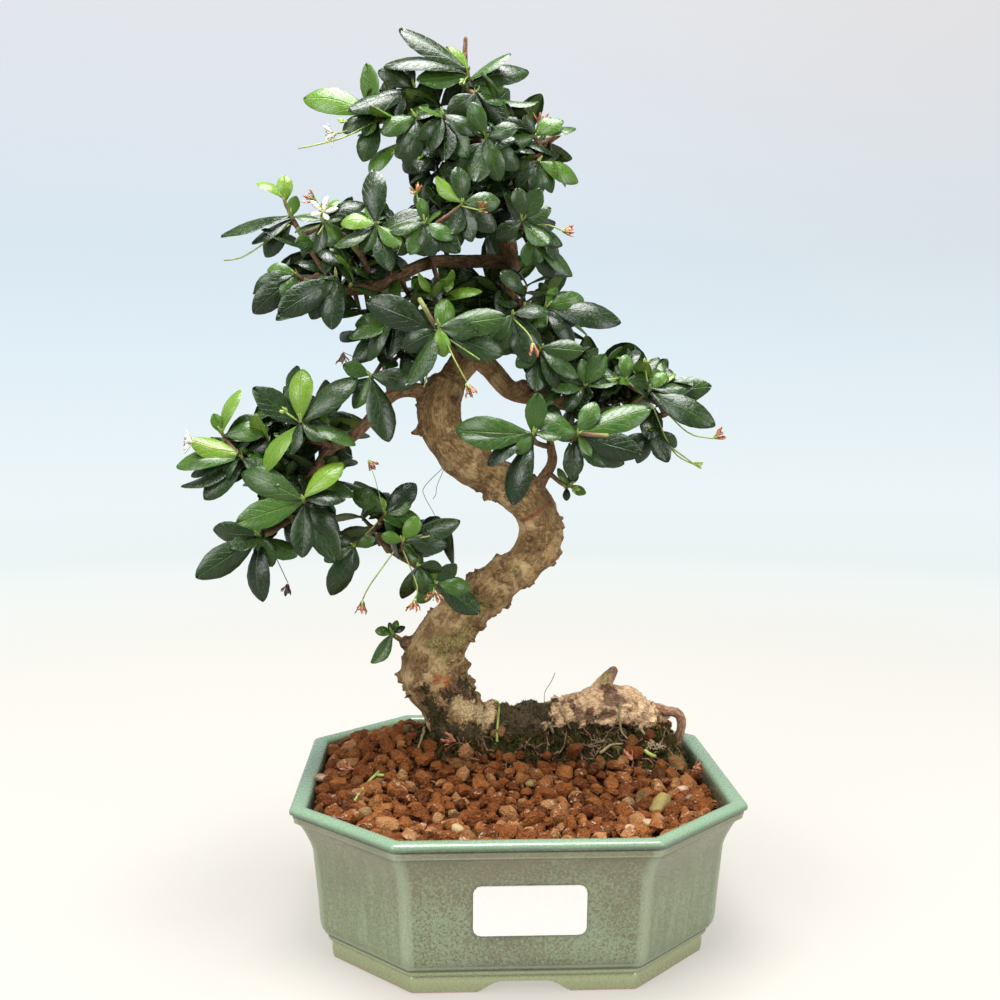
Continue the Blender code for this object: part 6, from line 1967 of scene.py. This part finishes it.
def makeLeafMaterial():
    material, wiring, shader = newMaterial("glossy_leaf")
    at = wiring.position()
    tint = wiring.attribute("tint")
    shade = wiring.attribute("shade")
    across = wiring.attribute("leafAcross")
    along = wiring.attribute("leafAlong")
    under = wiring.band(wiring.attribute("under"), 0.35, 0.65)
    colour = wiring.ramp(tint, [(0.0, (0.007, 0.018, 0.003)), (0.25, (0.011, 0.032, 0.005)),
                                (0.5, (0.029, 0.088, 0.008)), (0.72, (0.080, 0.190, 0.012)),
                                (1.0, (0.205, 0.335, 0.022))])
    cloud = wiring.group(patches, {"Vector": at, "Scale": 130.0, "Level": 0.5, "Softness": 0.2})
    colour = wiring.mix(wiring.math("MULTIPLY", cloud.outputs[0], 0.30), colour,
                        wiring.mix(tint, (0.012, 0.038, 0.008), (0.190, 0.320, 0.045)))
    off = wiring.math("ABSOLUTE", wiring.math("SUBTRACT", across, 0.5))
    rib = wiring.math("MULTIPLY", wiring.band(off, 0.030, 0.006), wiring.band(along, 1.0, 0.75))
    slant = wiring.math("ADD", wiring.math("MULTIPLY", along, 40.0), wiring.math("MULTIPLY", off, -30.0))
    wave = wiring.math("SINE", slant)
    vein = wiring.math("MULTIPLY", wiring.band(wave, 0.86, 1.0), wiring.band(off, 0.02, 0.12))
    pale = wiring.mix(tint, (0.040, 0.085, 0.026), (0.330, 0.440, 0.095))
    colour = wiring.mix(wiring.math("MULTIPLY", rib, 0.55), colour, pale)
    colour = wiring.mix(wiring.math("MULTIPLY", vein, 0.10), colour, pale)
    olive = wiring.mix(tint, (0.060, 0.105, 0.030), (0.220, 0.320, 0.055))
    colour = wiring.mix(under, colour, wiring.mix(wiring.math("MULTIPLY", rib, 0.7), olive, (0.220, 0.290, 0.090)))
    lime = wiring.group(dots, {"Vector": at, "Scale": 1100.0, "Size": 0.20, "Amount": 0.10})
    limed = wiring.math("MULTIPLY", wiring.math("MULTIPLY", lime.outputs[0], wiring.band(shade, 0.35, 0.9)),
                        wiring.math("SUBTRACT", 1.0, under))
    colour = wiring.mix(wiring.math("MULTIPLY", limed, 0.7), colour, (0.55, 0.60, 0.52))
    film = wiring.group(patches, {"Vector": at, "Scale": 700.0, "Level": 0.5, "Softness": 0.2})
    dusty = wiring.math("MULTIPLY", wiring.band(shade, 0.25, 1.0), film.outputs[0])
    dusty = wiring.math("MULTIPLY", dusty, wiring.math("SUBTRACT", 1.0, under))
    colour = wiring.mix(wiring.math("MULTIPLY", dusty, 0.012), colour, (0.30, 0.36, 0.30))
    wiring.put(shader.inputs["Base Color"], colour)
    rough = wiring.math("ADD", wiring.band(film.outputs[1], 0.40, 0.62, 0.20, 0.36), wiring.math("MULTIPLY", under, 0.25))
    wiring.put(shader.inputs["Roughness"], rough)
    shader.inputs["Specular IOR Level"].default_value = 0.42
    shader.inputs["Coat Weight"].default_value = 0.12
    shader.inputs["Coat Roughness"].default_value = 0.14
    relief = wiring.math("SUBTRACT", wiring.math("MULTIPLY", film.outputs[1], 0.45),
                         wiring.math("ADD", wiring.math("MULTIPLY", vein, 0.22), rib))
    addBump(wiring, shader, relief, 0.0006, 0.8)
    return material


leafMaterial = makeLeafMaterial()


def makeLeafPieces():
    total = 0
    for number, (name, rows) in enumerate(leafRows.items()):
        total += len(rows)
        data = scatter(name.replace("spray", "leaves"), rows, leafShapes, leafMaterial, number, 0.04)
        addPiece(name.replace("spray", "leaves"), data, leafMaterial, "foliage", name)
    print("leaves made", total)


makeLeafPieces()


def makeTwigBark():
    material, wiring, shader = newMaterial("young_bark")
    at = wiring.position()
    fresh = wiring.attribute("fresh")
    grit = wiring.group(patches, {"Vector": at, "Scale": 900.0, "Level": 0.5, "Softness": 0.15})
    ring = wiring.group(patches, {"Vector": at, "Scale": 300.0, "Level": 0.5, "Softness": 0.15})
    brown = wiring.mix(grit.outputs[0], (0.085, 0.045, 0.024), (0.25, 0.15, 0.085))
    brown = wiring.mix(wiring.math("MULTIPLY", ring.outputs[0], 0.4), brown, (0.16, 0.07, 0.035))
    green = wiring.mix(ring.outputs[0], (0.20, 0.27, 0.045), (0.38, 0.44, 0.10))
    brown = wiring.mix(wiring.attribute("dry"), brown, wiring.mix(grit.outputs[0], (0.30, 0.21, 0.11), (0.55, 0.44, 0.28)))
    wiring.put(shader.inputs["Base Color"], wiring.mix(fresh, brown, green))
    wiring.put(shader.inputs["Roughness"], wiring.band(fresh, 0.0, 1.0, 0.8, 0.5))
    addBump(wiring, shader, wiring.math("ADD", grit.outputs[1], ring.outputs[1]), 0.0004, 0.7)
    return material


youngBark = makeTwigBark()


def makeTwigs():
    builder = Builder("fresh")
    for path in twigPaths:
        rows = smoothPath(path, 2.5) if len(path) > 2 else [Vector(row) for row in path]
        rows = [Vector((*(row.xyz + noise.noise_vector(row.xyz / 3.0) * 0.25), max(0.45, row.w))) for row in rows]
        fresh = []
        for k, row in enumerate(rows):
            fresh += [smoothStep((k / (len(rows) - 1) - 0.6) / 0.5) * 0.8] * 6
        addTube(builder, [tuple(row) for row in rows], 6, fresh=[0.0] + fresh + [0.9])
    for stalk in stalkPaths:
        rows = smoothPath([(*p, 0.33) for p in stalk], 3.0)
        addTube(builder, [tuple(row) for row in rows], 5, fresh=1.0)
    data = builder.mesh("twigs")
    addPiece("twigs", data, youngBark, "bark")
    print("twigs made", len(twigPaths))


makeTwigs()


# Blooms: place, direction, petal length, petals and how far they open
blooms = {
    "bloom_open_crown": ((-75, -11, 336), (-1.0, -0.4, -0.3), 5.5, 5, 1.1),
    "bloom_open_left": ((-79, -33, 300), (0.1, -1.0, 0.5), 6.0, 5, 1.2),
    "bloom_open_pad": ((-132, -24, 209), (-1.0, -0.3, 0.1), 5.5, 5, 1.0),
    "bloom_spent_top": ((9, -2, 342), (0.1, -0.1, 1.0), 5.0, 4, 0.5),
    "bloom_spent_left": ((-82, -26, 306), (-0.7, -0.4, 0.4), 5.0, 4, 0.7),
    "bloom_spent_upper": ((-42, -33, 308), (-0.2, -0.7, 0.5), 4.5, 4, 0.7),
    "bloom_spent_middle": ((-17, -35, 302), (0.3, -1.0, 0.1), 4.5, 4, 0.7),
    "bloom_spent_right": ((17, -18, 297), (1.0, -0.2, -0.2), 5.0, 4, 0.5),
    "bloom_spent_front": ((-22, -41, 234), (0.4, -0.2, -1.0), 5.5, 4, 0.4),
    "bloom_spent_inner": ((4, -41, 250), (0.1, -0.3, -1.0), 5.0, 4, 0.5),
    "bloom_spent_low": ((-43, -20, 144), (-0.1, -0.2, -1.0), 5.5, 5, 0.6),
    "bloom_spent_low_left": ((-65, -16, 143), (-0.1, -0.1, -1.0), 5.5, 4, 0.35),
    "bloom_spent_low_inner": ((-35, -21, 147), (0.0, -1.0, -0.4), 5.5, 5, 0.8),
    "bloom_spent_far": ((84, -10, 211), (1.0, 0.0, 0.5), 5.5, 5, 0.5),
}
bloomLooks = {
    "off": 0.5,
    "calyx": 2.6,
    "seed": 9,
    "fallen": [(355, 775), (692, 773), (633, 765), (456, 746)],
    # (place, depth, direction, how dark): flowers that hang on threads from the nearest shoot
    "hanging": [((368, 460), -22.0, (0.6, -0.4, -0.7), 0.0), ((288, 583), -14.0, (-0.2, 0.0, -1.0), 1.0),
                ((343, 352), -22.0, (0.0, 0.0, -1.0), 1.0)],
    "buds": [(318, 240), (608, 378), (617, 383), (285, 412), (342, 122), (645, 362), (575, 490), (322, 246),
             (464, 82), (393, 252), (697, 466)],
}
petalOutline = [(0.0, 0.30), (0.2, 0.62), (0.45, 0.95), (0.65, 1.0), (0.85, 0.66)]
sepalOutline = [(0.0, 0.75), (0.3, 1.0), (0.7, 0.55)]


def bladeRows(outline, bend, fold):
    # A closed thin blade, one unit long and wide, as vertices and faces
    verts, faces = [], []
    for s, width in outline:
        half = width / 2
        middle = bend * s * s
        for share in (-1.0, 0.0, 1.0):
            verts.append((half * share, s, middle - fold * abs(half * share) + (0.0 if share else 0.05)))
        verts.append((0.0, s, middle - 0.05))
    verts.append((0.0, 1.0, bend))
    faces.append([0, 1, 2, 3])
    for row in range(len(outline) - 1):
        a = row * 4
        for k, n in ((0, 1), (1, 2), (2, 3), (3, 0)):
            faces.append([a + k, a + n, a + n + 4, a + k + 4])
    a = (len(outline) - 1) * 4
    last = len(verts) - 1
    faces += [[a + k, a + n, last] for k, n in ((0, 1), (1, 2), (2, 3), (3, 0))]
    return verts, faces


def addBlade(builder, base, chord, normal, width, outline, bend, fold, crumple=0.0, **marks):
    verts, faces = bladeRows(outline, bend, fold)
    along = chord.normalized()
    side = along.cross(normal).normalized()
    up = side.cross(along)
    made = []
    for x, y, z in verts:
        spot = base + side * (x * width) + along * (y * chord.length) + up * (z * width)
        if crumple:
            spot += noise.noise_vector(spot / 1.3) * crumple * y
        made.append(spot)
    builder.add(made, faces, **marks)


def addBall(builder, centre, axis, long, wide, **marks):
    # A small closed egg along an axis
    side = axis.orthogonal().normalized()
    up = axis.cross(side)
    verts = [centre - axis * long / 2]
    for s, r in ((-0.28, 0.8), (0.05, 1.0), (0.33, 0.6)):
        for k in range(6):
            angle = k * math.tau / 6
            verts.append(centre + axis * long * s + (side * math.cos(angle) + up * math.sin(angle)) * wide * r / 2)
    verts.append(centre + axis * long / 2)
    faces = []
    for k in range(6):
        n = (k + 1) % 6
        faces += [[0, 1 + n, 1 + k], [19, 13 + k, 13 + n]]
        for row in (0, 1):
            a = 1 + row * 6
            faces.append([a + k, a + n, a + n + 6, a + k + 6])
    builder.add(verts, faces, **marks)


def addBloom(builder, spot, direction, length, count, opening, wilted, draw):
    axis = Vector(direction).normalized()
    base = Vector(spot) + axis * bloomLooks["off"]
    across = axis.orthogonal().normalized()
    other = axis.cross(across)
    start = draw.uniform(0, math.tau)
    calyx = bloomLooks["calyx"]
    addBall(builder, base + axis * 0.7, axis, 2.0, 1.7, green=1.0)
    for k in range(5):
        angle = start + (k + 0.5) * math.tau / 5
        flat = across * math.cos(angle) + other * math.sin(angle)
        chord = (axis + flat * 0.55).normalized() * calyx
        addBlade(builder, base + flat * 0.45 + axis * 0.3, chord, axis - flat, 0.95, sepalOutline, 0.4, 0.3, green=1.0)
    for k in range(count):
        angle = start + k * math.tau / count + (draw.uniform(-0.35, 0.35) if wilted else 0)
        flat = across * math.cos(angle) + other * math.sin(angle)
        spread = opening * (draw.uniform(0.6, 1.3) if wilted else 1.0)
        chord = (axis + flat * spread).normalized() * length * (draw.uniform(0.75, 1.1) if wilted else 1.0)
        addBlade(builder, base + flat * 0.55 + axis * 0.9, chord, (axis - flat * 0.6), 1.5 if wilted else 2.5,
                 petalOutline, -0.5 if not wilted else draw.uniform(-0.6, 0.5), 0.7 if wilted else 0.25,
                 0.9 if wilted else 0.0, green=0.0)
    for k in range(5):
        angle = start + (k + 0.5) * math.tau / 5
        flat = across * math.cos(angle) + other * math.sin(angle)
        tip = base + axis * (length * 0.72) + flat * 1.5
        addTube(builder, [(*(base + axis), 0.13), (*(base + axis * length * 0.4 + flat * 0.7), 0.12), (*tip, 0.10)],
                4, green=0.25)
        addBall(builder, tip, (axis + flat).normalized(), 0.95, 0.5, dark=1.0)


def makePetals(name, wilted):
    material, wiring, shader = newMaterial(name)
    at = wiring.position()
    vein = wiring.group(patches, {"Vector": at, "Scale": 900.0, "Level": 0.5, "Softness": 0.2})
    blotch = wiring.group(patches, {"Vector": at, "Scale": 500.0, "Level": 0.5, "Softness": 0.12})
    if wilted:
        colour = wiring.mix(vein.outputs[0], (0.42, 0.13, 0.05), (0.72, 0.34, 0.18))
        colour = wiring.mix(wiring.math("MULTIPLY", blotch.outputs[0], 0.5), colour, (0.28, 0.08, 0.035))
    else:
        colour = wiring.mix(vein.outputs[0], (0.80, 0.74, 0.58), (0.93, 0.90, 0.80))
    green = wiring.mix(vein.outputs[0], (0.24, 0.36, 0.07), (0.45, 0.55, 0.17))
    colour = wiring.mix(wiring.attribute("green"), colour, green)
    colour = wiring.mix(wiring.attribute("dark"), colour, (0.10, 0.055, 0.03))
    wiring.put(shader.inputs["Base Color"], colour)
    wiring.put(shader.inputs["Roughness"], wiring.band(vein.outputs[0], 0.0, 1.0, 0.5, 0.7))
    addBump(wiring, shader, vein.outputs[1], 0.0002, 0.6)
    return material


creamPetals = makePetals("cream_petals", False)
wiltedPetals = makePetals("wilted_petals", True)


def soilHit(spot):
    # Where the line of sight through a pixel first goes under the soil, if it does so in the pot
    start = Vector(photoView["position"])
    way = sightLine(spot)
    for step in range(270):
        point = start + way * (430.0 + step * 0.6)
        if point.z < soilLevel(point.x, point.y):
            return point
    return None


def surfaceHit(spot):
    # The nearer of the wood and the soil on a line of sight
    start = Vector(photoView["position"])
    ground = soilHit(spot)
    wood = woodTree.ray_cast(start, sightLine(spot))[0]
    if wood and (not ground or (wood - start).length < (ground - start).length + 2):
        return wood
    return ground or atDepth(spot, groundLooks["clearDepth"])


def atDepth(spot, y):
    start = Vector(photoView["position"])
    way = sightLine(spot)
    return start + way * ((y - start.y) / way.y)


def makeBlooms(looks):
    draw = random.Random(looks["seed"])
    for name, (spot, direction, length, count, opening) in blooms.items():
        wilted = "spent" in name
        builder = Builder("green", "dark")
        addBloom(builder, spot, direction, length, count, opening, wilted, draw)
        addPiece(name.replace("bloom", "flower"), builder.mesh(name.replace("bloom", "flower")),
                 wiltedPetals if wilted else creamPetals, "spent_bloom" if wilted else "petal", name)
    fallen = Builder("green", "dark")
    for spot in looks["fallen"]:
        point = soilHit(spot) + Vector((0, 0, 2.2))
        way = Vector((draw.uniform(-1, 1), draw.uniform(-1, 1), 0.25))
        addBloom(fallen, point, way, 5.5, 5, 0.8, True, draw)
    fallen.marks["green"] = [0.0] * len(fallen.verts)  # their cups are dry too
    for spot, y, way, dark in looks["hanging"]:
        middle = atDepth(spot, y)
        near = min(hubs, key=lambda row: (middle - row[1]).length)[1]
        first = len(fallen.verts)
        addTube(fallen, [(*near, 0.25), (*(near.lerp(middle, 0.6) + Vector((0, 0, 2))), 0.2), (*middle, 0.2)], 4,
                green=1.0)
        addBloom(fallen, middle, way, 4.5, 4, 0.45, True, draw)
        if dark:
            fallen.marks["dark"][first:] = [dark] * (len(fallen.verts) - first)
    addPiece("fallen_flowers", fallen.mesh("fallen_flowers"), wiltedPetals, "spent_bloom")
    tips = Builder("green", "dark")
    for name, hub, axis, _ in hubs:
        side = axis.orthogonal().normalized()
        for k in range(3):
            angle = draw.uniform(0, math.tau)
            flat = side * math.cos(angle) + axis.cross(side) * math.sin(angle)
            chord = (axis + flat * 0.5).normalized() * draw.uniform(2.6, 4.6)
            addBlade(tips, hub + axis * 2.2, chord, (axis - flat), 1.3, sepalOutline, 0.5, 0.5, green=1.0)
    for spot in looks["buds"]:
        near = min(hubs, key=lambda row: (atDepth(spot, row[1].y) - row[1]).length)
        middle = atDepth(spot, near[1].y - 3)
        way = (middle - near[1]).normalized()
        addTube(tips, [(*near[1], 0.4), (*near[1].lerp(middle, 0.6), 0.38), (*middle, 0.35)], 5, green=1.0)
        for k in range(6):
            lean = Vector((draw.uniform(-1, 1), draw.uniform(-1, 0.3), draw.uniform(-0.4, 1)))
            addBall(tips, middle + lean * 1.4, (way + lean * 0.8).normalized(), draw.uniform(2.2, 3.6), 1.1, green=1.0)
    addPiece("shoot_tips", tips.mesh("shoot_tips"), creamPetals, "foliage")
    print("blooms made")


makeBlooms(bloomLooks)


# Moss, rootlets, stones and what lies on the soil
groundLooks = {
    "clearDepth": 12.0,  # where a stem stands that crosses neither wood nor soil in the photograph
    "tufts": 6800,
    "tuftSize": (1.0, 2.6),
    "rootlets": 110,
    "seed": 33,
    # (pixel across, pixel down, length, width, tint): olive, pinkish, brown and grey pebbles
    "stones": [(660, 808, 15.0, 8.0, 0.0), (648, 826, 6.5, 5.0, 0.45), (683, 792, 6.5, 5.0, 0.5),
               (322, 781, 8.5, 5.5, 0.6), (458, 832, 6.5, 5.0, 0.35), (530, 786, 5.0, 4.2, 0.05),
               (629, 831, 5.5, 4.5, 0.5), (690, 800, 5.0, 4.0, 0.8)],
    "dryStem": [(355, 802), (361, 793), (369, 783), (376, 776), (381, 771)],
    "dryStemTip": [(376, 776), (384, 777), (390, 776)],
    "greenHook": [(493, 706), (497, 703), (499, 709), (498, 722), (497, 734), (497, 743)],
    "greenBit": [(644, 752), (650, 756), (655, 758)],
    "paleRoots": [[(555, 703), (561, 712), (567, 722), (571, 729)], [(620, 704), (619, 720), (624, 735), (632, 742)],
                  [(425, 728), (421, 740), (417, 752)], [(640, 728), (650, 740), (656, 748)],
                  [(549, 722), (553, 733)], [(600, 752), (612, 745), (622, 744)]],
    "hairs": [[(541, 700), (545, 692), (551, 682), (555, 673)], [(432, 480), (425, 486), (424, 495), (432, 510),
              (437, 518), (447, 523)], [(433, 480), (437, 486), (436, 494), (433, 499)]],
    "hairRadius": 0.17,
    # (place in the photograph, roots, reach, how dry and pale): tangles of fine roots on the heap
    "clumps": [((656, 746), 24, 3.6, 0.8), ((644, 772), 9, 2.6, 0.0), ((455, 692), 16, 3.0, 0.0),
               ((597, 741), 8, 3.5, 0.3), ((530, 748), 8, 4.0, 0.0), ((350, 800), 6, 6.0, 0.1)],
}


def makeMossMaterial():
    material, wiring, shader = newMaterial("damp_moss")
    at = wiring.position()
    tint = wiring.attribute("tint")
    blotch = wiring.group(patches, {"Vector": at, "Scale": 160.0, "Level": 0.5, "Softness": 0.12})
    colour = wiring.ramp(tint, [(0.0, (0.014, 0.011, 0.006)), (0.45, (0.045, 0.048, 0.012)),
                                (0.75, (0.09, 0.12, 0.020)), (1.0, (0.20, 0.28, 0.035))])
    colour = wiring.mix(wiring.math("MULTIPLY", blotch.outputs[0], 0.65), colour, (0.100, 0.058, 0.024))
    wiring.put(shader.inputs["Base Color"], colour)
    wiring.put(shader.inputs["Roughness"], wiring.band(blotch.outputs[0], 0.0, 1.0, 0.75, 0.9))
    shader.inputs["Specular IOR Level"].default_value = 0.08
    return material


def tuftShape(name, seed):
    draw = random.Random(seed)
    builder = Builder()
    for _ in range(6):
        way = Vector((draw.uniform(-0.8, 0.8), draw.uniform(-0.8, 0.8), draw.uniform(0.5, 1.0))).normalized()
        side = way.orthogonal().normalized() * 0.13
        other = way.cross(side).normalized() * 0.13
        foot = Vector((draw.uniform(-0.3, 0.3), draw.uniform(-0.3, 0.3), -0.15))
        tip = foot + way * draw.uniform(0.6, 1.0)
        builder.add([foot + side, foot - side * 0.5 + other, foot - side * 0.5 - other, tip],
                    [[0, 1, 2], [0, 1, 3], [1, 2, 3], [2, 0, 3]])
    return builder.mesh(name, placed=False)


def makeMoss(looks):
    draw = random.Random(looks["seed"])
    points = meshPoints(woodMesh)
    normals = meshNormals(woodMesh)
    moss = np.zeros(len(points))
    woodMesh.attributes["moss"].data.foreach_get("value", moss)
    damp = np.flatnonzero((moss > 0.25) & (points[:, 2] > 60))
    rows = []
    for _ in range(looks["tufts"] // 3):
        k = int(draw.choice(damp))
        if draw.random() > moss[k]:
            continue
        axis = Vector(normals[k])
        side = axis.orthogonal().normalized()
        size = draw.uniform(*looks["tuftSize"]) * 0.8
        tint = min(1.0, max(0.0, draw.gauss(0.35, 0.25)))
        rows.append((Vector(points[k]) - axis * 0.2, (side, axis.cross(side), axis), (size,) * 3,
                     draw.randrange(4), tint, draw.random()))
    while len(rows) < looks["tufts"]:
        x, y = draw.uniform(-50, 80), draw.uniform(-10, 55)
        if not insideSoil(x, y, 2.0) or draw.random() > mossShare(x, y):
            continue
        size = draw.uniform(*looks["tuftSize"])
        tint = min(1.0, max(0.0, draw.gauss(0.30, 0.25)))
        rows.append((Vector((x, y, soilLevel(x, y) - 1.9)), anyTurn(draw, 0.5), (size * 1.3,) * 3,
                     draw.randrange(4), tint, draw.random()))
    shapes = shapeCollection("tuft_shapes", [tuftShape("tuft_%d" % k, 50 + k) for k in range(4)])
    moss = makeMossMaterial()
    addPiece("moss_tufts", scatter("moss_tufts", rows, shapes, moss, 8, 0.2), moss, "soil")


def makeRootlets(looks):
    draw = random.Random(looks["seed"] + 1)
    builder = Builder("fresh", "dry")
    for _ in range(looks["rootlets"]):
        x, y = draw.uniform(-45, 78), draw.uniform(-6, 40)
        heading = draw.uniform(0, math.tau)
        length = draw.uniform(6, 20)
        path = []
        turn = draw.uniform(-0.25, 0.25)
        for k in range(7):
            heading += turn + draw.uniform(-0.35, 0.35)
            x += math.cos(heading) * length / 6
            y += math.sin(heading) * length / 6
            if not insideSoil(x, y, 1.0):
                break
            path.append((x, y, soilLevel(x, y) + draw.uniform(-2.2, 0.2), 0.22 + 0.22 * (1 - k / 6)))
        if len(path) > 3:
            addTube(builder, [tuple(row) for row in smoothPath(path, 1.6)], 5, fresh=0.0)
    for line in looks["paleRoots"]:
        path = [(*(surfaceHit(spot) + Vector((0, -0.4, 0.1))), radius) for spot, radius in zip(line, (0.8, 0.6, 0.5, 0.3))]
        path = [row + Vector((*noise.noise_vector(row.xyz / 2.5), 0)) * 0.5 for row in smoothPath(path, 1.2)]
        addTube(builder, [tuple(row) for row in path], 6, fresh=0.2, dry=0.3)
    for middle, count, reach, dry in looks["clumps"]:
        centre = surfaceHit(middle)
        for _ in range(count):
            way = Vector((draw.uniform(-1, 1), draw.uniform(-0.6, 0.6), draw.uniform(-0.5, 0.5))) * reach
            off = Vector((draw.uniform(-1, 1), draw.uniform(-0.7, 0.7), 0.1)) * reach
            path = [(*(centre + off + way * (k / 2 - 1) + Vector([draw.uniform(-0.8, 0.8) for _ in range(3)])), 0.21)
                    for k in range(4)]
            addTube(builder, [tuple(row) for row in smoothPath(path, 1.2)], 4, dry=dry)
    addPiece("rootlets", builder.mesh("rootlets"), youngBark, "bark")
    litter = Builder("fresh")
    for line, radius in ((looks["dryStem"], 0.6), (looks["dryStemTip"], 0.7), (looks["greenHook"], 0.55),
                         (looks["greenBit"], 0.9)):
        path = [(*(surfaceHit(spot) + Vector((0, -1.0, 1.0))), radius) for spot in line]
        addTube(litter, [tuple(row) for row in smoothPath(path, 1.5)], 7, fresh=1.0)
    for line in looks["hairs"]:
        foot = woodTree.find_nearest(atDepth(line[0], groundLooks["clearDepth"] * 1.8))[0]
        path = [(*foot, looks["hairRadius"])]
        path += [(*atDepth(spot, foot.y - 1), looks["hairRadius"]) for spot in line[1:]]
        addTube(litter, [tuple(row) for row in smoothPath(path, 1.5)], 4, fresh=0.0)
    addPiece("litter", litter.mesh("litter"), youngBark, "bark")


def makeStones(looks):
    draw = random.Random(looks["seed"] + 2)
    material, wiring, shader = newMaterial("river_pebble")
    at = wiring.position()
    blotch = wiring.group(patches, {"Vector": at, "Scale": 240.0, "Level": 0.5, "Softness": 0.15})
    grit = wiring.group(patches, {"Vector": at, "Scale": 1200.0, "Level": 0.5, "Softness": 0.2})
    colour = wiring.ramp(wiring.attribute("tint"), [(0.0, (0.25, 0.19, 0.045)), (0.3, (0.34, 0.25, 0.11)),
                                                    (0.5, (0.48, 0.30, 0.20)), (0.8, (0.20, 0.16, 0.12))])
    colour = wiring.mix(wiring.math("MULTIPLY", blotch.outputs[0], 0.55), colour, (0.13, 0.09, 0.03))
    wiring.put(shader.inputs["Base Color"], colour)
    wiring.put(shader.inputs["Roughness"], wiring.band(grit.outputs[0], 0.0, 1.0, 0.45, 0.7))
    addBump(wiring, shader, wiring.math("ADD", grit.outputs[1], blotch.outputs[1]), 0.0005, 0.7)
    rows = []
    for u, v, length, width, tint in looks["stones"]:
        point = soilHit((u, v)) + Vector((0, 0, width * 0.22))
        side = Vector((math.cos(0.9), math.sin(0.9), 0.35)).normalized() if length > 9 else anyTurn(draw, 0.3)[0]
        axis = (Vector((0, 0, 1)) - side * side.z).normalized()
        rows.append((point, (side, axis.cross(side), axis), (length / 1.2, width, width * 0.85), draw.randrange(4),
                     tint, draw.random()))
    shapes = [lumpShape("pebble_%d" % k, 60 + k, (1.2, 1.0, 0.9), 0.9) for k in range(4)]
    data = scatter("pebbles", rows, shapeCollection("pebble_shapes", shapes), material, 5)
    data = appliedMesh(data, [("SUBSURF", {"levels": 2, "render_levels": 2})])
    data.name = "pebbles"
    addPiece("pebbles", data, material, "soil")


makeMoss(groundLooks)
makeRootlets(groundLooks)
makeStones(groundLooks)
print("ground cover made")
